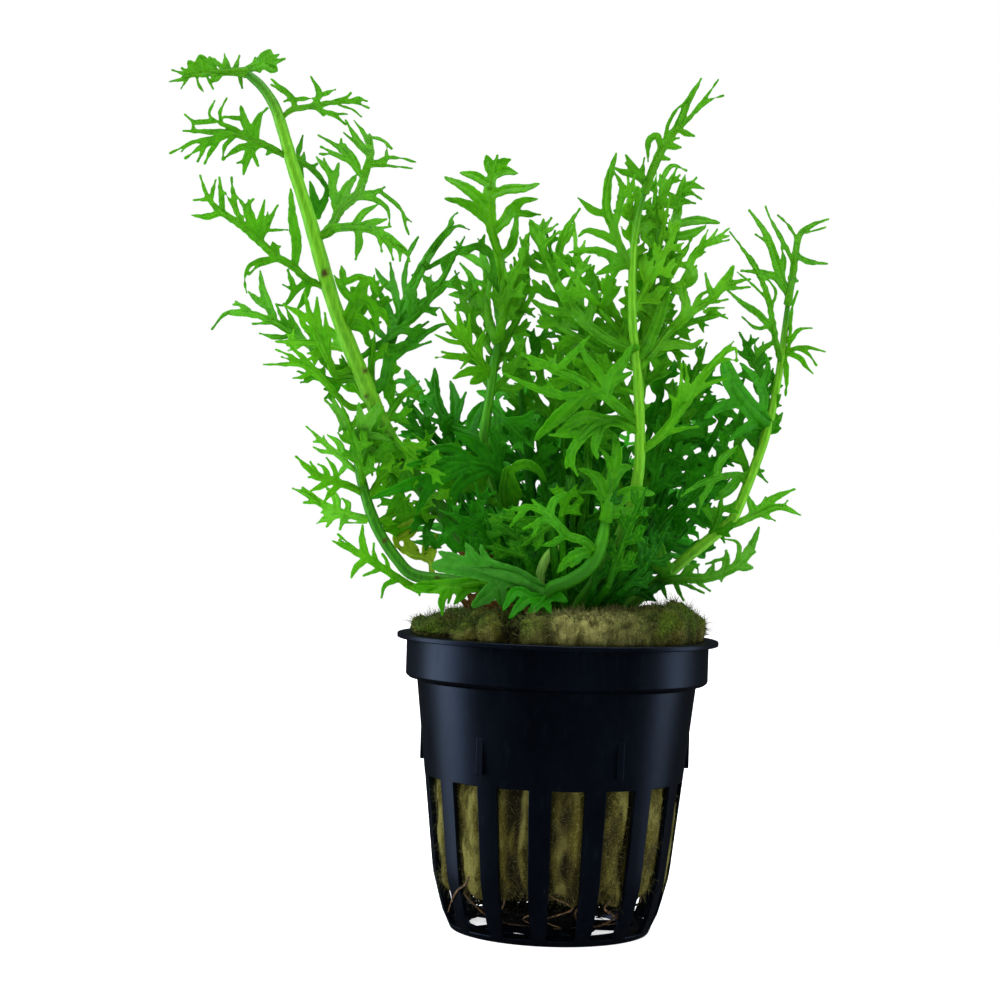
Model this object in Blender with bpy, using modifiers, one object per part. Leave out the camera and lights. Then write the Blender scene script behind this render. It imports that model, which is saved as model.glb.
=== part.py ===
"""Water sprite growing from a rock-wool plug in a small black net pot.

Metres, +Z up, front towards -Y. The origin is the centre of the underside of the pot's floor.
Stems and leaves are drawn as they are seen from the front, in millimetres on the plane through
the pot's axis, and each drawing is then set at its own depth along the line of sight.
"""
import math
from collections import namedtuple

import bmesh
import bpy
from mathutils import Matrix, Vector
from mathutils.bvhtree import BVHTree
from mathutils.geometry import delaunay_2d_cdt, intersect_point_tri_2d

MM = 0.001
GAP = 0.35

# Where the drawing was taken from: level, this far in front of the pot's axis
VIEW_DISTANCE = 380.0
VIEW_X = -10.6
VIEW_HEIGHT = 73.0

# Net pot, in millimetres
POT_HEIGHT = 50.0
LIP_RADIUS = 27.5
LIP_THICKNESS = 0.8
COLLAR_RADIUS = 25.85
COLLAR_FOOT = 43.0
MOUTH_RADIUS = 24.9
WALL_THICKNESS = 0.9
WALL_OUTSIDE = ((23.9, 42.2), (22.1, 26.1), (20.3, 9.9), (18.6, 3.4))
FLOOR_RADIUS = 17.0
FLOOR_THICKNESS = 1.2
POT_SEGMENTS = 30
SLOT_COUNT = 15
SLOT_TURN = math.radians(-85.0)
SLOT_TOP = 26.1
SLOT_FOOT = 1.0
SLOT_WIDTH_TOP = 5.4
SLOT_WIDTH_FOOT = 4.7
FLOOR_GAP_COUNT = 5
FLOOR_GAP_INNER = 8.0
FLOOR_GAP_OUTER = 14.4
FLOOR_SPOKE = 2.4
RIB_COUNT = 6
RIB_TURN = math.radians(-63.5)
RIB_SIZE = (1.0, 1.4, 6.0)
RIB_FOOT = 28.2

# Rock-wool plug
WOOL_FOOT = 7.0
WOOL_TOP = 54.4
WOOL_RADIUS = 24.5
WOOL_SEGMENTS = 40
WOOL_GAP = 0.5
WOOL_CREASES = ((-94, 1.5), (-101, 0.8), (-112, 0.9), (-84, 0.8), (-71, 0.7), (-52, 0.8), (-125, 1.0),
                (-30, 0.9), (5, 1.0), (38, 0.7), (71, 1.2), (104, 0.8), (140, 1.0), (172, 0.7),
                (-152, 0.9))
CREASE_WIDTH = math.radians(2.8)

LEAF_THICKNESS = 0.6
THINNEST_SOLID_LOBE = 0.95
CUP = 0.012
LONGEST_TRIM = 3.5
# Widths and corner tolerances to try in turn until a leaf's outline is sound
OUTLINE_TRIALS = ((1.0, 0.14), (1.05, 0.14), (1.0, 0.06), (1.06, 0.04), (1.12, 0.03), (0.96, 0.02),
                  (1.2, 0.01))
BOWS = [side * size for size in range(0, 18, 2) for side in (-1, 1)]

Stem = namedtuple("Stem", "name foot_radius tip_radius colour path")
# lean: how far the tip lies behind the foot; twist: how far the right side lies behind the left,
# per millimetre; limbs: each a width, then x, z of its points from its root to its tip. The first
# limb is the leaf's own stalk
Leaf = namedtuple("Leaf", "name stem tone lean twist limbs")
# A leaf at the back, drawn by rule: foot and stalk length in mm, turn about +Z and tilt from
# upright in degrees
BackLeaf = namedtuple("BackLeaf", "name foot length turn tilt")

STEMS = (
    Stem("stem_tall", 1.6, 0.95, "pale", (
        (-7, -1, 55.4), (-12, -1.5, 61), (-20, -3, 70), (-27, -5, 78.5), (-31, -6, 85), (-33.3, -7, 90),
        (-37.4, -8, 99), (-40.4, -9, 106.5), (-42.8, -9, 114), (-45, -9, 121), (-47.8, -9, 129),
        (-49.7, -8, 135), (-51.3, -7, 139.3), (-53.6, -6, 142.6), (-56.2, -5, 144.8))),
    Stem("stem_low_left", 1.05, 0.8, "deep", (
        (-7, -9, 55.2), (-12, -11, 57.9), (-19, -12, 59), (-25, -12, 59.7), (-28, -12, 62.4),
        (-30.8, -11.5, 66.3), (-32.6, -11, 70), (-33.8, -10, 73.5), (-34.9, -9, 77.5), (-35.4, -8, 81))),
    Stem("stem_centre", 1.0, 0.75, "fresh", (
        (-4, 3, 55.1), (-7.5, 3, 65), (-11.5, 2, 75), (-13.6, 1, 82), (-13.4, 0, 86.5),
        (-12.8, 0, 91.5), (-12.4, 0, 96), (-11.7, 0, 100.5))),
    Stem("stem_middle", 1.15, 0.5, "pale", (
        (3.5, -5, 55.1), (7, -7, 61), (10.5, -9, 68), (12.3, -10, 74), (13.1, -10, 80), (13, -10, 86),
        (12.6, -10, 92), (12.1, -10, 97.5), (11.3, -10, 103), (10.9, -10, 110), (10.9, -9.5, 116),
        (11.6, -9, 122), (12.6, -8.5, 126.4))),
    Stem("stem_right", 1.1, 0.55, "pale", (
        (12, 1, 55.5), (15.5, 1, 58.6), (19.2, 0.5, 61.8), (23, 0, 65.2), (26.5, 0, 68.2),
        (29, 0, 70.4), (30.4, 0, 73.2), (31.8, 0.5, 77), (33.2, 1, 81), (34.5, 2, 85), (35.4, 3, 89),
        (36.2, 4, 93.5), (36.8, 4, 98), (37.3, 4, 103), (37.7, 4, 108))),
    Stem("stem_front", 1.15, 0.95, "fresh", (
        (-3.2, -14, 54.9), (-1.4, -15.5, 58), (1.6, -16.5, 59.4), (4.5, -17, 61.4), (6.3, -17, 64),
        (7.2, -16.5, 67), (7.6, -16, 70))),
    Stem("stem_cut", 0.85, 0.75, "cut", (
        (-2.8, -9, 54.6), (-3.4, -9.5, 59), (-2.9, -10, 62), (-1.8, -10.5, 64), (-0.4, -11, 65.3))),
)

LEAVES = (
    Leaf("leaf_tall_tip", "stem_tall", "fresh", -5, 0.3, (
        (1.2, -56.6, 145, -60, 144.9, -64, 144.6, -67.3, 143.8), (0.9, -58.4, 145, -57.6, 147.8),
        (1.1, -59.4, 145, -60.2, 148.1), (0.7, -60.2, 145.2, -61.9, 147.1), (1.6, -61.9, 145, -62.7, 147.4),
        (2.6, -63.6, 144.8, -64.3, 147.5), (1.7, -65, 144.8, -66.3, 146.6),
        (0.9, -65.8, 144.4, -67.4, 145.4), (0.6, -66.2, 144.1, -69, 145), (0.5, -66.6, 143.6, -69.5, 143),
        (0.4, -66.4, 143.6, -67.4, 141.9), (0.5, -64.8, 144, -64.4, 142.6, -62.9, 140.5),
        (0.5, -63, 144, -61.9, 142), (1.5, -61, 144.6, -62.2, 143.2), (0.8, -57.6, 144.7, -56.9, 142.2),
        (1.5, -57, 145.2, -54.5, 146.1, -52, 146.8, -49.8, 147.5), (2.2, -54, 146.3, -52.4, 148.9),
        (1.2, -53, 146.8, -50.9, 148.2), (1.8, -53, 146.4, -51, 145.4), (0.9, -54.6, 146, -54, 145.1),
        (0.9, -54.9, 146.1, -54.9, 147.6))),
    Leaf("leaf_tall_upper_right", "stem_tall", "fresh", 11, 0.4, (
        (1.0, -49.9, 137.4, -48.4, 138.8, -45, 139.5, -41, 140.3, -36.8, 140.5),
        (1.0, -47.8, 139.1, -48.5, 141, -52, 144), (0.5, -49.4, 141.6, -52, 143),
        (0.6, -48.2, 140.7, -49.7, 140.2), (0.8, -47.9, 140.6, -44.7, 140.9),
        (1.0, -44.6, 139.7, -43.7, 141.7, -45.2, 144.6), (0.8, -43.6, 141.3, -40.9, 142.5),
        (0.6, -41, 140.5, -39, 141.3, -38.3, 142), (1.0, -38.6, 140.5, -37, 141, -35.5, 140.7),
        (0.4, -37.6, 140.5, -35.1, 139.5), (0.7, -44.5, 139.3, -42, 138.5, -38.7, 138.3),
        (0.7, -42.6, 138.7, -40.6, 137.8, -39, 136.5), (0.4, -40.2, 139.8, -38, 139.2, -36.4, 138),
        (0.5, -44, 139.2, -42.8, 138))),
    Leaf("leaf_tall_upper_left", "stem_tall", "fresh", -15, -0.3, (
        (1.2, -49.3, 131, -52, 132.3, -55, 133.5, -58.5, 134.5, -62.5, 134.6, -66.8, 134.6),
        (1.6, -54.4, 133.2, -54.5, 135.5, -53.6, 138.2), (0.3, -53.9, 137.6, -52.5, 139),
        (1.5, -55, 133.7, -56.3, 136.5, -57.1, 139.2), (0.8, -56.8, 137.1, -59.9, 137.2),
        (1.0, -55.6, 134, -58.5, 135.3, -62, 136.8), (0.6, -60.3, 136, -60.6, 138, -59.5, 140.5),
        (0.4, -61.4, 136.6, -62.5, 137.7, -61.6, 140), (0.9, -61.6, 136.4, -64.8, 136.2, -66.6, 137.4),
        (0.6, -65, 134.7, -65.3, 136.1), (1.0, -58.5, 134.2, -62.5, 133.2, -65.5, 132.6, -67, 131),
        (0.4, -65, 132.8, -69, 130.7), (0.9, -60, 133.6, -63.5, 132, -66.3, 129.9),
        (0.7, -63, 132.2, -64.2, 129.4), (0.8, -60.6, 133.2, -62, 131.3, -63, 129.1),
        (0.8, -58, 133.9, -59.6, 132.2, -59.9, 130), (1.2, -53.6, 132.6, -57, 132, -59.8, 130),
        (1.4, -53.8, 132.6, -55.5, 131, -56.3, 127.5), (0.6, -55.9, 129.8, -57.4, 129.4),
        (0.8, -54.8, 131.3, -53.8, 129), (0.9, -51.4, 132.1, -52.4, 131))),
    Leaf("leaf_tall_right", "stem_tall", "fresh", 17, 0.3, (
        (1.5, -43.2, 116.6, -40.8, 119.3, -39.4, 122, -36.6, 124.8, -35.5, 128, -34.5, 132, -34.9, 135.1),
        (1.3, -40.1, 121, -40.8, 125, -41.4, 127.8, -42.6, 130.6), (0.9, -41.7, 128.3, -43.9, 130.9),
        (1.3, -41, 125.8, -40, 129.9), (1.8, -39.8, 122.4, -38.6, 125.5, -36.9, 128),
        (1.0, -36.1, 128, -38.5, 131, -40, 132.6, -43.7, 134.6), (0.8, -39.8, 132, -39.7, 134.1),
        (1.1, -36.4, 128.4, -37.4, 130.8, -39.1, 133.1), (0.6, -37.7, 130.2, -40, 131.2, -43.2, 132.6),
        (0.7, -37, 129.8, -40.5, 131.3, -43.4, 131.4), (1.0, -35, 131.8, -36.9, 134, -39.1, 137.3),
        (0.8, -34.7, 132.6, -35.9, 135.2, -37.6, 137.3), (0.5, -35, 131.2, -37, 133.2, -39.3, 135.2),
        (0.5, -34.8, 134.6, -32.5, 134, -31, 132.6), (0.9, -34.9, 130, -32.2, 130.6, -31.8, 133.3),
        (0.6, -34.6, 129.9, -31.8, 131, -29.5, 131.1, -26.8, 130.5),
        (0.5, -34.9, 129.6, -31.5, 129.7, -27.3, 129.4), (1.3, -37, 124.3, -34, 124.9, -32, 126),
        (0.7, -33, 125.4, -30.1, 123.3, -28.2, 121, -27.2, 120.2),
        (0.5, -28.7, 121.5, -28.2, 119.5, -27.6, 118),
        (0.9, -36.8, 124.2, -33.5, 123.8, -31.3, 122, -31, 119.3))),
    Leaf("leaf_tall_crossing", "stem_tall", "deep", 10, -0.3, (
        (1.0, -47.4, 130.2, -44.7, 128.9, -42.4, 126.4, -40.9, 123.6), (0.9, -47.2, 130.5, -46.3, 134.5),
        (0.8, -46.2, 129.9, -46, 131.6), (0.7, -46.6, 129.4, -46, 127.2), (0.7, -44.8, 128.9, -43.6, 129.7),
        (1.5, -43.3, 120.6, -43.9, 123, -44.8, 126.6), (1.3, -43.4, 120.8, -42.2, 123.6, -41.9, 125.7))),
    Leaf("leaf_tall_right_low", "stem_tall", "fresh", -13, 0.4, (
        (1.5, -42.2, 117.4, -40, 118.8, -37, 119, -34, 118.7, -30.5, 117, -27.6, 114.4),
        (1.2, -37.2, 119.2, -35.5, 121.5, -33, 123.1), (1.3, -35.8, 119.3, -31.5, 120.6),
        (1.3, -36.6, 118.8, -36.1, 116.5, -36.6, 113.5), (0.9, -34.4, 118.7, -32.8, 117.5, -32.2, 115),
        (0.9, -32.7, 118.2, -31, 116, -30.2, 113.6), (1.0, -30.8, 117.1, -29.2, 115.5, -29, 113.4),
        (0.6, -33.8, 118.8, -30.7, 119.3), (0.4, -29.8, 116.4, -28, 115.3, -27.4, 113.4))),
    Leaf("leaf_tall_left", "stem_tall", "fresh", -17, 0.3, (
        (1.3, -41.9, 108.6, -45, 110, -47.6, 112.2, -50, 113.4, -53, 115.9, -56.5, 118.8, -60, 121, -62.2,
         123.3, -63.7, 127.1), (1.1, -60, 120.7, -62.5, 120, -64.9, 120.2), (0.6, -61.9, 123, -64.7, 122.8),
        (0.7, -61.8, 122.9, -61, 126.4), (1.0, -59.6, 120.9, -60, 124, -60.4, 126.9),
        (0.9, -55.6, 118.4, -57.5, 121.5, -59.3, 124.2), (0.8, -57.3, 121.5, -58, 124.6, -58.3, 126.9),
        (0.8, -55, 118.4, -56, 122, -58, 124.4), (0.5, -55.8, 122, -54.4, 123.3),
        (1.1, -53.5, 116.6, -54.5, 120, -55.3, 123.2), (1.1, -53.3, 117, -53.1, 119.8, -52.5, 123.2),
        (1.1, -52.8, 116.6, -51.6, 119.8, -50.2, 122.4), (0.7, -52.1, 118.2, -51.9, 121.1),
        (0.5, -52, 118, -48.5, 118.2), (1.6, -50.2, 113.5, -50.9, 116), (0.5, -50.8, 115.2, -49.6, 115.3),
        (0.8, -49.8, 113.2, -52.5, 113, -54.7, 111.8, -55.5, 109.5, -55.1, 107.2),
        (0.6, -50.2, 112.9, -53, 112, -54.8, 110.4),
        (1.7, -47, 111.9, -46.8, 116, -47.6, 120, -48.1, 125.2),
        (1.1, -43.4, 109.4, -45.2, 109, -46.9, 107.6, -48.4, 105.3, -49.8, 105.3),
        (1.0, -46.8, 107.8, -47.5, 109.6, -48.2, 111.3), (0.5, -46.8, 107.8, -49, 108.8),
        (1.1, -44.5, 108.6, -45.3, 106.4, -46.5, 104.2))),
    Leaf("leaf_tall_left_low", "stem_tall", "fresh", 13, 0.3, (
        (1.2, -35.5, 93.6, -39.8, 94.3, -43, 97.5, -47, 100.5, -50.5, 102.4, -54.5, 103.7, -58.5, 103.6,
         -60.9, 100.8), (1.5, -50, 102.4, -51.4, 105.3, -52.4, 108, -52.9, 111),
        (1.2, -51.5, 105, -53, 105.8, -54.8, 107.4), (0.6, -54.2, 103.7, -56, 104.9, -57.4, 105.1),
        (0.5, -54.5, 104.4, -56.9, 105.6), (0.4, -53.5, 103.2, -57.8, 103.4), (0.5, -51, 102.2, -54, 101.9),
        (0.9, -47.8, 99.9, -50, 99.8, -52.7, 100.3), (1.0, -46.5, 100.3, -48.8, 103, -50, 105.4),
        (1.0, -45, 99.3, -47, 102.3, -48.7, 105.6))),
    Leaf("leaf_tall_left_base", "stem_tall", "bright", -14, -0.3, (
        (1.1, -33.3, 89, -36.2, 88, -38.6, 89.6, -41.5, 92.5, -45, 95, -48.5, 95.1, -51.8, 95),
        (0.6, -45, 95.2, -47, 96.5, -49.8, 97.6), (0.4, -45.6, 95.5, -48.8, 96.4),
        (0.8, -43.6, 94, -45.3, 93, -46.7, 92.8), (1.0, -41.8, 92.9, -44.9, 96.2, -48.3, 99))),
    Leaf("leaf_tall_inner", "stem_tall", "bright", -12, 0.4, (
        (1.3, -36.2, 95, -39.3, 93.6, -40.6, 96, -42.8, 100.5, -44.2, 104, -45.2, 107.6),
        (1.4, -41.9, 98.8, -42.8, 103, -43, 106.8), (1.1, -43.8, 102.4, -46, 104, -48.9, 105.4),
        (1.2, -40.8, 96.6, -41, 100.3, -41.6, 104.2), (1.0, -42.8, 100.4, -45, 101.8, -46.6, 104.6))),
    Leaf("leaf_tall_frond", "stem_tall", "deep", 14, -0.3, (
        (1.7, -33.2, 90.2, -31.3, 92.4, -30.6, 96, -30, 100, -28.7, 104, -27.2, 108, -25.4, 112, -23,
         116.3, -20, 120.3), (1.2, -28.6, 103, -25.5, 106, -22, 108.5, -18.8, 111.8),
        (0.9, -29.4, 102, -27, 104.9, -23, 104.8), (1.2, -30.2, 99.4, -34, 102.5, -38.4, 104.5),
        (1.3, -29.5, 101.8, -31, 105.5, -33.4, 109.6), (1.3, -28.7, 104.2, -29.8, 108.5, -30.7, 113.1),
        (1.2, -29.7, 108, -32, 110.2, -33.2, 112.1), (0.9, -27.8, 106.6, -28.2, 110.5, -27.4, 115.2),
        (0.8, -27.6, 114.8, -26, 117.7),
        (1.3, -30.5, 95.8, -27.5, 98.6, -24, 101.4, -21.5, 102.7, -19.6, 103),
        (0.6, -27, 98.4, -23.3, 99.8), (0.5, -28.6, 97.6, -26.8, 100.8, -23.8, 103.2),
        (0.8, -22.7, 116.6, -19.6, 119.7, -17.3, 119.2), (0.6, -20.9, 118.5, -20.3, 121.2, -19.4, 122))),
    Leaf("leaf_tall_wide", "stem_tall", "glossy", -5, 0.4, (
        (2.4, -38.3, 101.5, -36.6, 105.4, -35.5, 108, -34.8, 110.4),
        (1.4, -36.3, 105.8, -38.6, 108.2, -40.2, 110.6), (1.2, -38.8, 109.2, -36, 110.5, -33.4, 109.9),
        (1.6, -35.8, 107, -33.8, 106, -32.3, 101.6), (1.3, -33.6, 105, -31.8, 104.6, -30.4, 102),
        (1.2, -38.6, 109.8, -39, 112.3), (1.4, -37.2, 103.8, -35.2, 103.2, -33, 101.2),
        (1.2, -35.2, 109, -34, 110, -32.6, 107.6))),
    Leaf("leaf_low_left_top", "stem_low_left", "pale", -8, 0.4, (
        (2.2, -35.3, 80.4, -34.8, 83, -33.6, 85.6, -31.7, 88.6), (1.5, -34.6, 83.6, -35, 86, -35.3, 88.9),
        (1.7, -35, 82, -37, 84.4, -38.6, 87, -39.9, 89.6), (0.8, -38.4, 86.8, -41.1, 89.2),
        (1.2, -34.8, 82.4, -32.4, 83.4, -29.6, 82.6), (1.0, -35, 81.4, -33, 81, -30.4, 79.4),
        (0.7, -37.9, 85.4, -38.8, 83.3))),
    Leaf("leaf_low_left_high", "stem_low_left", "bright", 12, -0.3, (
        (1.0, -34.9, 76.8, -37.6, 79, -39.8, 80.8, -41.8, 82.5, -44.2, 84.6), (0.6, -41, 81.8, -41.2, 83.2),
        (0.6, -41.6, 82.2, -42.9, 82), (0.8, -39.4, 80.4, -41.2, 80.4, -42.9, 81.1),
        (1.2, -37.4, 79.2, -38.7, 82, -40.6, 83.3), (0.9, -37, 78.4, -38, 77, -38.6, 76))),
    Leaf("leaf_low_left_upper", "stem_low_left", "bright", -12, 0.3, (
        (1.3, -33.7, 73.2, -37, 74.8, -40, 75.6, -42.6, 76.6, -45.8, 79.4), (0.7, -42, 76.5, -43.3, 78.6),
        (0.9, -40, 75.8, -40.9, 77.6, -42, 78.2), (0.9, -38.5, 75.4, -39.2, 77.6, -40.6, 79.4),
        (0.8, -41.2, 75.9, -43.5, 75.9), (1.1, -39.6, 75.3, -41.5, 74.4, -43.3, 73.4),
        (1.1, -38, 74.9, -39.8, 73.2, -40.9, 71.4))),
    Leaf("leaf_low_left_lower", "stem_low_left", "bright", 9, -0.3, (
        (1.3, -32.3, 69, -36.5, 69.7, -39, 70.5, -41.5, 71.6, -44, 73, -46.2, 73.9),
        (0.5, -41.8, 72, -43, 73.1, -44.5, 74.1), (0.8, -41.6, 71.8, -44.2, 71.5),
        (1.0, -36.8, 70, -36.6, 71.5, -37.7, 72.5), (1.3, -38.4, 70.6, -38.8, 72.6, -40.5, 74.3),
        (1.1, -39.5, 70.3, -41.2, 69.9), (1.3, -37.6, 69.8, -39.8, 69.2, -41.9, 68),
        (1.0, -36.4, 69.5, -37.4, 68.6, -37.9, 67.1), (0.8, -38.8, 69.6, -40.2, 67.5),
        (0.4, -33.4, 68.4, -36.9, 68.3))),
    Leaf("leaf_crown_left", "stem_low_left", "bright", -11, 0.3, (
        (1.3, -24, 57.2, -27.3, 58.9, -30, 60.5, -32.5, 62, -35.5, 63.5, -39.1, 65.1),
        (0.5, -34, 62.9, -36, 64.5, -38.2, 66.3), (0.3, -35, 63.5, -37.9, 65.3),
        (1.2, -33.2, 62.2, -34.8, 60.8, -35.7, 58.9), (0.7, -30.5, 60.6, -32.5, 59.8, -33.6, 59.3),
        (0.9, -27.4, 58.8, -29.8, 57.8, -30.4, 55.6), (1.2, -33, 62.4, -34, 65, -34, 68),
        (0.7, -31.3, 61.4, -32, 63.5, -32, 65), (0.7, -29.4, 60.3, -29.7, 62, -30.5, 63.2),
        (0.8, -25.6, 58, -24.3, 57.6, -23.9, 56.2))),
    Leaf("leaf_old_yellow", "stem_low_left", "old", 8, 0.2, (
        (1.0, -20.4, 58.6, -21.8, 60, -22.4, 62.3, -25.5, 63.2, -28, 64.8, -28.6, 67.5, -29.9, 70.7),
        (1.3, -23, 62.6, -23.3, 66), (1.2, -22.2, 62, -21.3, 66.8), (2.2, -24.8, 63.2, -26.6, 65.6),
        (1.5, -28.2, 65.8, -25.6, 67, -24.6, 69.2), (1.6, -28.6, 68, -26, 69.2, -25.4, 71))),
    Leaf("leaf_crown_low", "stem_low_left", "fresh", -7, 0.1, (
        (2.7, -8, 56.4, -10.4, 57.8, -14, 58.4, -19, 57.9, -25, 57.7), (1.6, -15.6, 58, -17.8, 55),
        (1.3, -19.3, 57.2, -20, 55.6, -19.9, 53), (0.9, -21, 57.6, -24.4, 56.8),
        (0.6, -18.4, 57, -18.9, 55))),
    Leaf("leaf_crown_pale", "stem_front", "blue", -8, -0.2, (
        (3.8, -2.2, 56.9, -4.6, 58, -7.5, 59.6, -12, 60.8, -17, 61.5, -21.9, 61.4),
        (2.0, -13.4, 61.4, -15, 63.2, -16.2, 65.4), (3.0, -9.4, 59.6, -11.4, 57.4, -14.8, 54.6),
        (2.2, -10.6, 58.6, -9.9, 56.8, -9.7, 54.8), (1.8, -16, 61.8, -18.4, 62.8, -20.9, 63.8),
        (1.5, -11.6, 61, -12.8, 63, -13.6, 65.1))),
    Leaf("leaf_dark_broad", "stem_centre", "deep", -13, 0.2, (
        (2.1, -10.4, 73, -10.6, 76, -12.2, 78.6, -16, 79.2, -21, 79.2, -26.6, 78.5),
        (2.0, -13, 78, -16.4, 76.4, -18.4, 74, -19.5, 70.3), (2.0, -16.6, 78.4, -21, 76.2, -23.4, 73.6, -24.8, 70.2),
        (2.1, -18, 78.8, -22, 76.6, -27, 74.9, -32.5, 72.6), (2.2, -12, 78, -14.2, 81.6, -18.8, 84.4),
        (1.5, -15.4, 79.6, -19.4, 81.6, -25, 80.9), (1.8, -11.2, 77.4, -11.2, 81.2, -13, 85.2))),
    Leaf("leaf_blunt_lobes", "stem_centre", "deep", 9, -0.3, (
        (1.8, -13.6, 83, -16.6, 84.4, -19.3, 85.4, -21.2, 88, -22.2, 91, -22.5, 95.2),
        (0.9, -22.2, 90.8, -24.1, 93.4), (1.1, -22, 91.2, -24.4, 89.8),
        (1.8, -18.9, 85.8, -18.8, 89.5, -19.7, 93.1), (1.1, -18.6, 86.4, -17.9, 89, -17, 91.3),
        (1.0, -19.8, 86, -24, 89.7, -28, 90.6, -31, 90), (2.1, -24.6, 89.9, -26, 92, -27.5, 94.8),
        (0.9, -26, 92.3, -28.5, 92.9, -31, 91.3), (0.8, -19.3, 85, -24, 86.8, -29, 85.8),
        (2.3, -16, 84.4, -15.4, 87.2, -13.9, 89.8))),
    Leaf("leaf_centre_tall", "stem_centre", "glossy", 7, 0.3, (
        (1.5, -11.5, 101.5, -11, 106, -11.2, 110, -12, 114.6, -13.3, 119, -14, 124, -13.8, 128, -12.8,
         132), (2.0, -13.6, 129, -14.7, 131.9), (1.4, -12.9, 130.6, -10.6, 131.4),
        (2.3, -13.4, 119, -14, 123, -13.9, 127, -13, 131.4),
        (1.6, -13.6, 128.6, -11.5, 129.5, -9.3, 129.1), (1.6, -14.2, 127, -16.5, 128.4, -19.1, 128.9),
        (1.9, -14, 122.6, -16.5, 125.2, -19, 126.8, -21.7, 128),
        (1.8, -13.9, 120.4, -16.5, 122.8, -19, 123.9, -21.6, 124.4),
        (1.7, -13.7, 125.2, -11, 126.3, -8, 126.6, -5.6, 127.4),
        (1.9, -13.2, 119, -11.4, 120.8, -9.8, 123.2, -8, 124.5, -5.8, 124.8),
        (1.2, -9.6, 122.4, -8, 122.2, -5.2, 122.1),
        (1.6, -11.8, 114.4, -10, 116.6, -9.4, 119.4, -9.3, 122),
        (1.7, -11, 103.2, -9.4, 106.5, -9.3, 110, -10, 113.4),
        (1.5, -10.2, 104.4, -7.6, 108.5, -7.2, 112, -7.6, 115))),
    Leaf("leaf_centre_left", "stem_centre", "bright", -9, 0.35, (
        (1.3, -12.6, 94.6, -15.6, 97.6, -18, 100.5, -20, 103, -21.7, 105.5),
        (1.1, -17.4, 99.8, -18.3, 103, -19.1, 105.9), (0.9, -16.3, 98.4, -16.8, 102, -16.8, 104.8),
        (0.8, -17.4, 99.6, -20, 100, -22.6, 101), (1.0, -15.8, 97.4, -19, 97.3, -22.3, 97.1),
        (0.6, -16.4, 97.4, -18, 95.4), (0.4, -17.4, 97.5, -21.3, 98.1),
        (1.6, -13.4, 95, -16.5, 94.9, -19.2, 93.6), (1.8, -13.4, 94.8, -16.3, 92.7),
        (1.2, -14.6, 96.6, -14.9, 99.5, -14, 102.2))),
    Leaf("leaf_centre_upper_left", "stem_centre", "fresh", 10, -0.3, (
        (1.6, -11.8, 100, -13.4, 103.4, -14.1, 107.5, -13.9, 111.5, -15.4, 116.6),
        (1.4, -13.9, 105.6, -16, 109, -17, 111.5, -18.7, 113.4), (1.8, -14, 105.4, -17, 108, -20.4, 107.9),
        (1.5, -13.4, 103.8, -16, 106.1, -19.3, 105.3), (1.0, -14, 109.6, -16.7, 110.8),
        (1.1, -16.2, 109, -19, 110.6), (1.2, -14.2, 112.6, -17, 114.6, -19.9, 115.2))),
    Leaf("leaf_top_comb", "stem_middle", "fresh", 15, -0.3, (
        (1.8, 10.4, 99.5, 6, 101.6, 1.6, 105.4, -1.4, 109.4, -3.6, 113.6, -5, 118, -4.6, 121.4),
        (2.2, -4.7, 117, -6.9, 121.1), (0.7, -4.8, 119.4, -3.3, 121.6), (0.7, -4.8, 118.6, -2.2, 120.6),
        (0.8, -4.4, 117, -1.8, 119.4), (1.3, -2.6, 111.8, -1.8, 116, -0.8, 119.6, 1.6, 123.4),
        (1.2, -1.4, 117, 0.6, 119.9), (1.4, -0.4, 108.4, 1.4, 112, 3.6, 115.4),
        (1.6, 1.8, 105.4, -3, 105.8, -6.6, 107.6), (1.6, 3.6, 104, 4.4, 108, 4.2, 112.4),
        (1.5, -2.8, 112.4, -6, 113.4, -8.2, 116.6))),
    Leaf("leaf_middle_left_top", "stem_middle", "fresh", -8, 0.35, (
        (1.5, 10.6, 113.4, 8.8, 116.8, 7.2, 120.6, 6.2, 123.4, 6.2, 127.6, 6.9, 130.6, 7.5, 133),
        (1.3, 6.6, 122.4, 3.8, 123.2, 1.2, 125.2), (1.4, 8.6, 117.3, 5.6, 119, 2.8, 119.6, 1.5, 118.6),
        (1.3, 7.6, 120.4, 8.4, 124, 8.6, 127.4, 7.2, 130),
        (1.4, 9.8, 114.2, 7, 115.7, 3.6, 116.3, 0, 115.8), (1.6, 10.2, 114, 7.5, 113.4, 4.8, 112.2),
        (0.7, 7.8, 113.6, 6.4, 115.2, 5, 115.4), (1.0, 8.2, 112.8, 7.2, 111, 7.1, 108.6),
        (1.1, 8.2, 125.6, 10, 126.6, 10.8, 129.4))),
    Leaf("leaf_middle_left", "stem_middle", "fresh", -12, -0.25, (
        (1.7, 12.5, 87, 9.8, 89, 7.3, 91, 4.6, 92.6, 1.8, 94.3, -1.8, 95.7, -5, 97, -7.6, 98.2),
        (1.4, 4.4, 91.8, 0, 91.2, -4, 92, -10.8, 94.7), (2.4, 3.4, 91.6, 0.4, 88.8, -2.2, 86.4, -4.9, 83.4),
        (2.0, 7.2, 91.4, 7.8, 94.6, 9.8, 97.2, 11.2, 100.2),
        (1.6, 7.4, 92.4, 5.4, 95.6, 3.4, 98, 2.4, 100.2), (1.4, 8, 93.6, 9.4, 94.6, 11.2, 95.5),
        (1.2, -2, 95.2, 0.6, 97.8, 3.8, 101.4), (0.9, -1, 91.4, -2.6, 92.8, -3.3, 94))),
    Leaf("leaf_middle_left_low", "stem_middle", "fresh", -10, 0.35, (
        (1.9, 12.6, 85.6, 9, 87.2, 6, 86.6, 3.6, 84.8, 1.6, 82, 0.5, 78.8),
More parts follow.
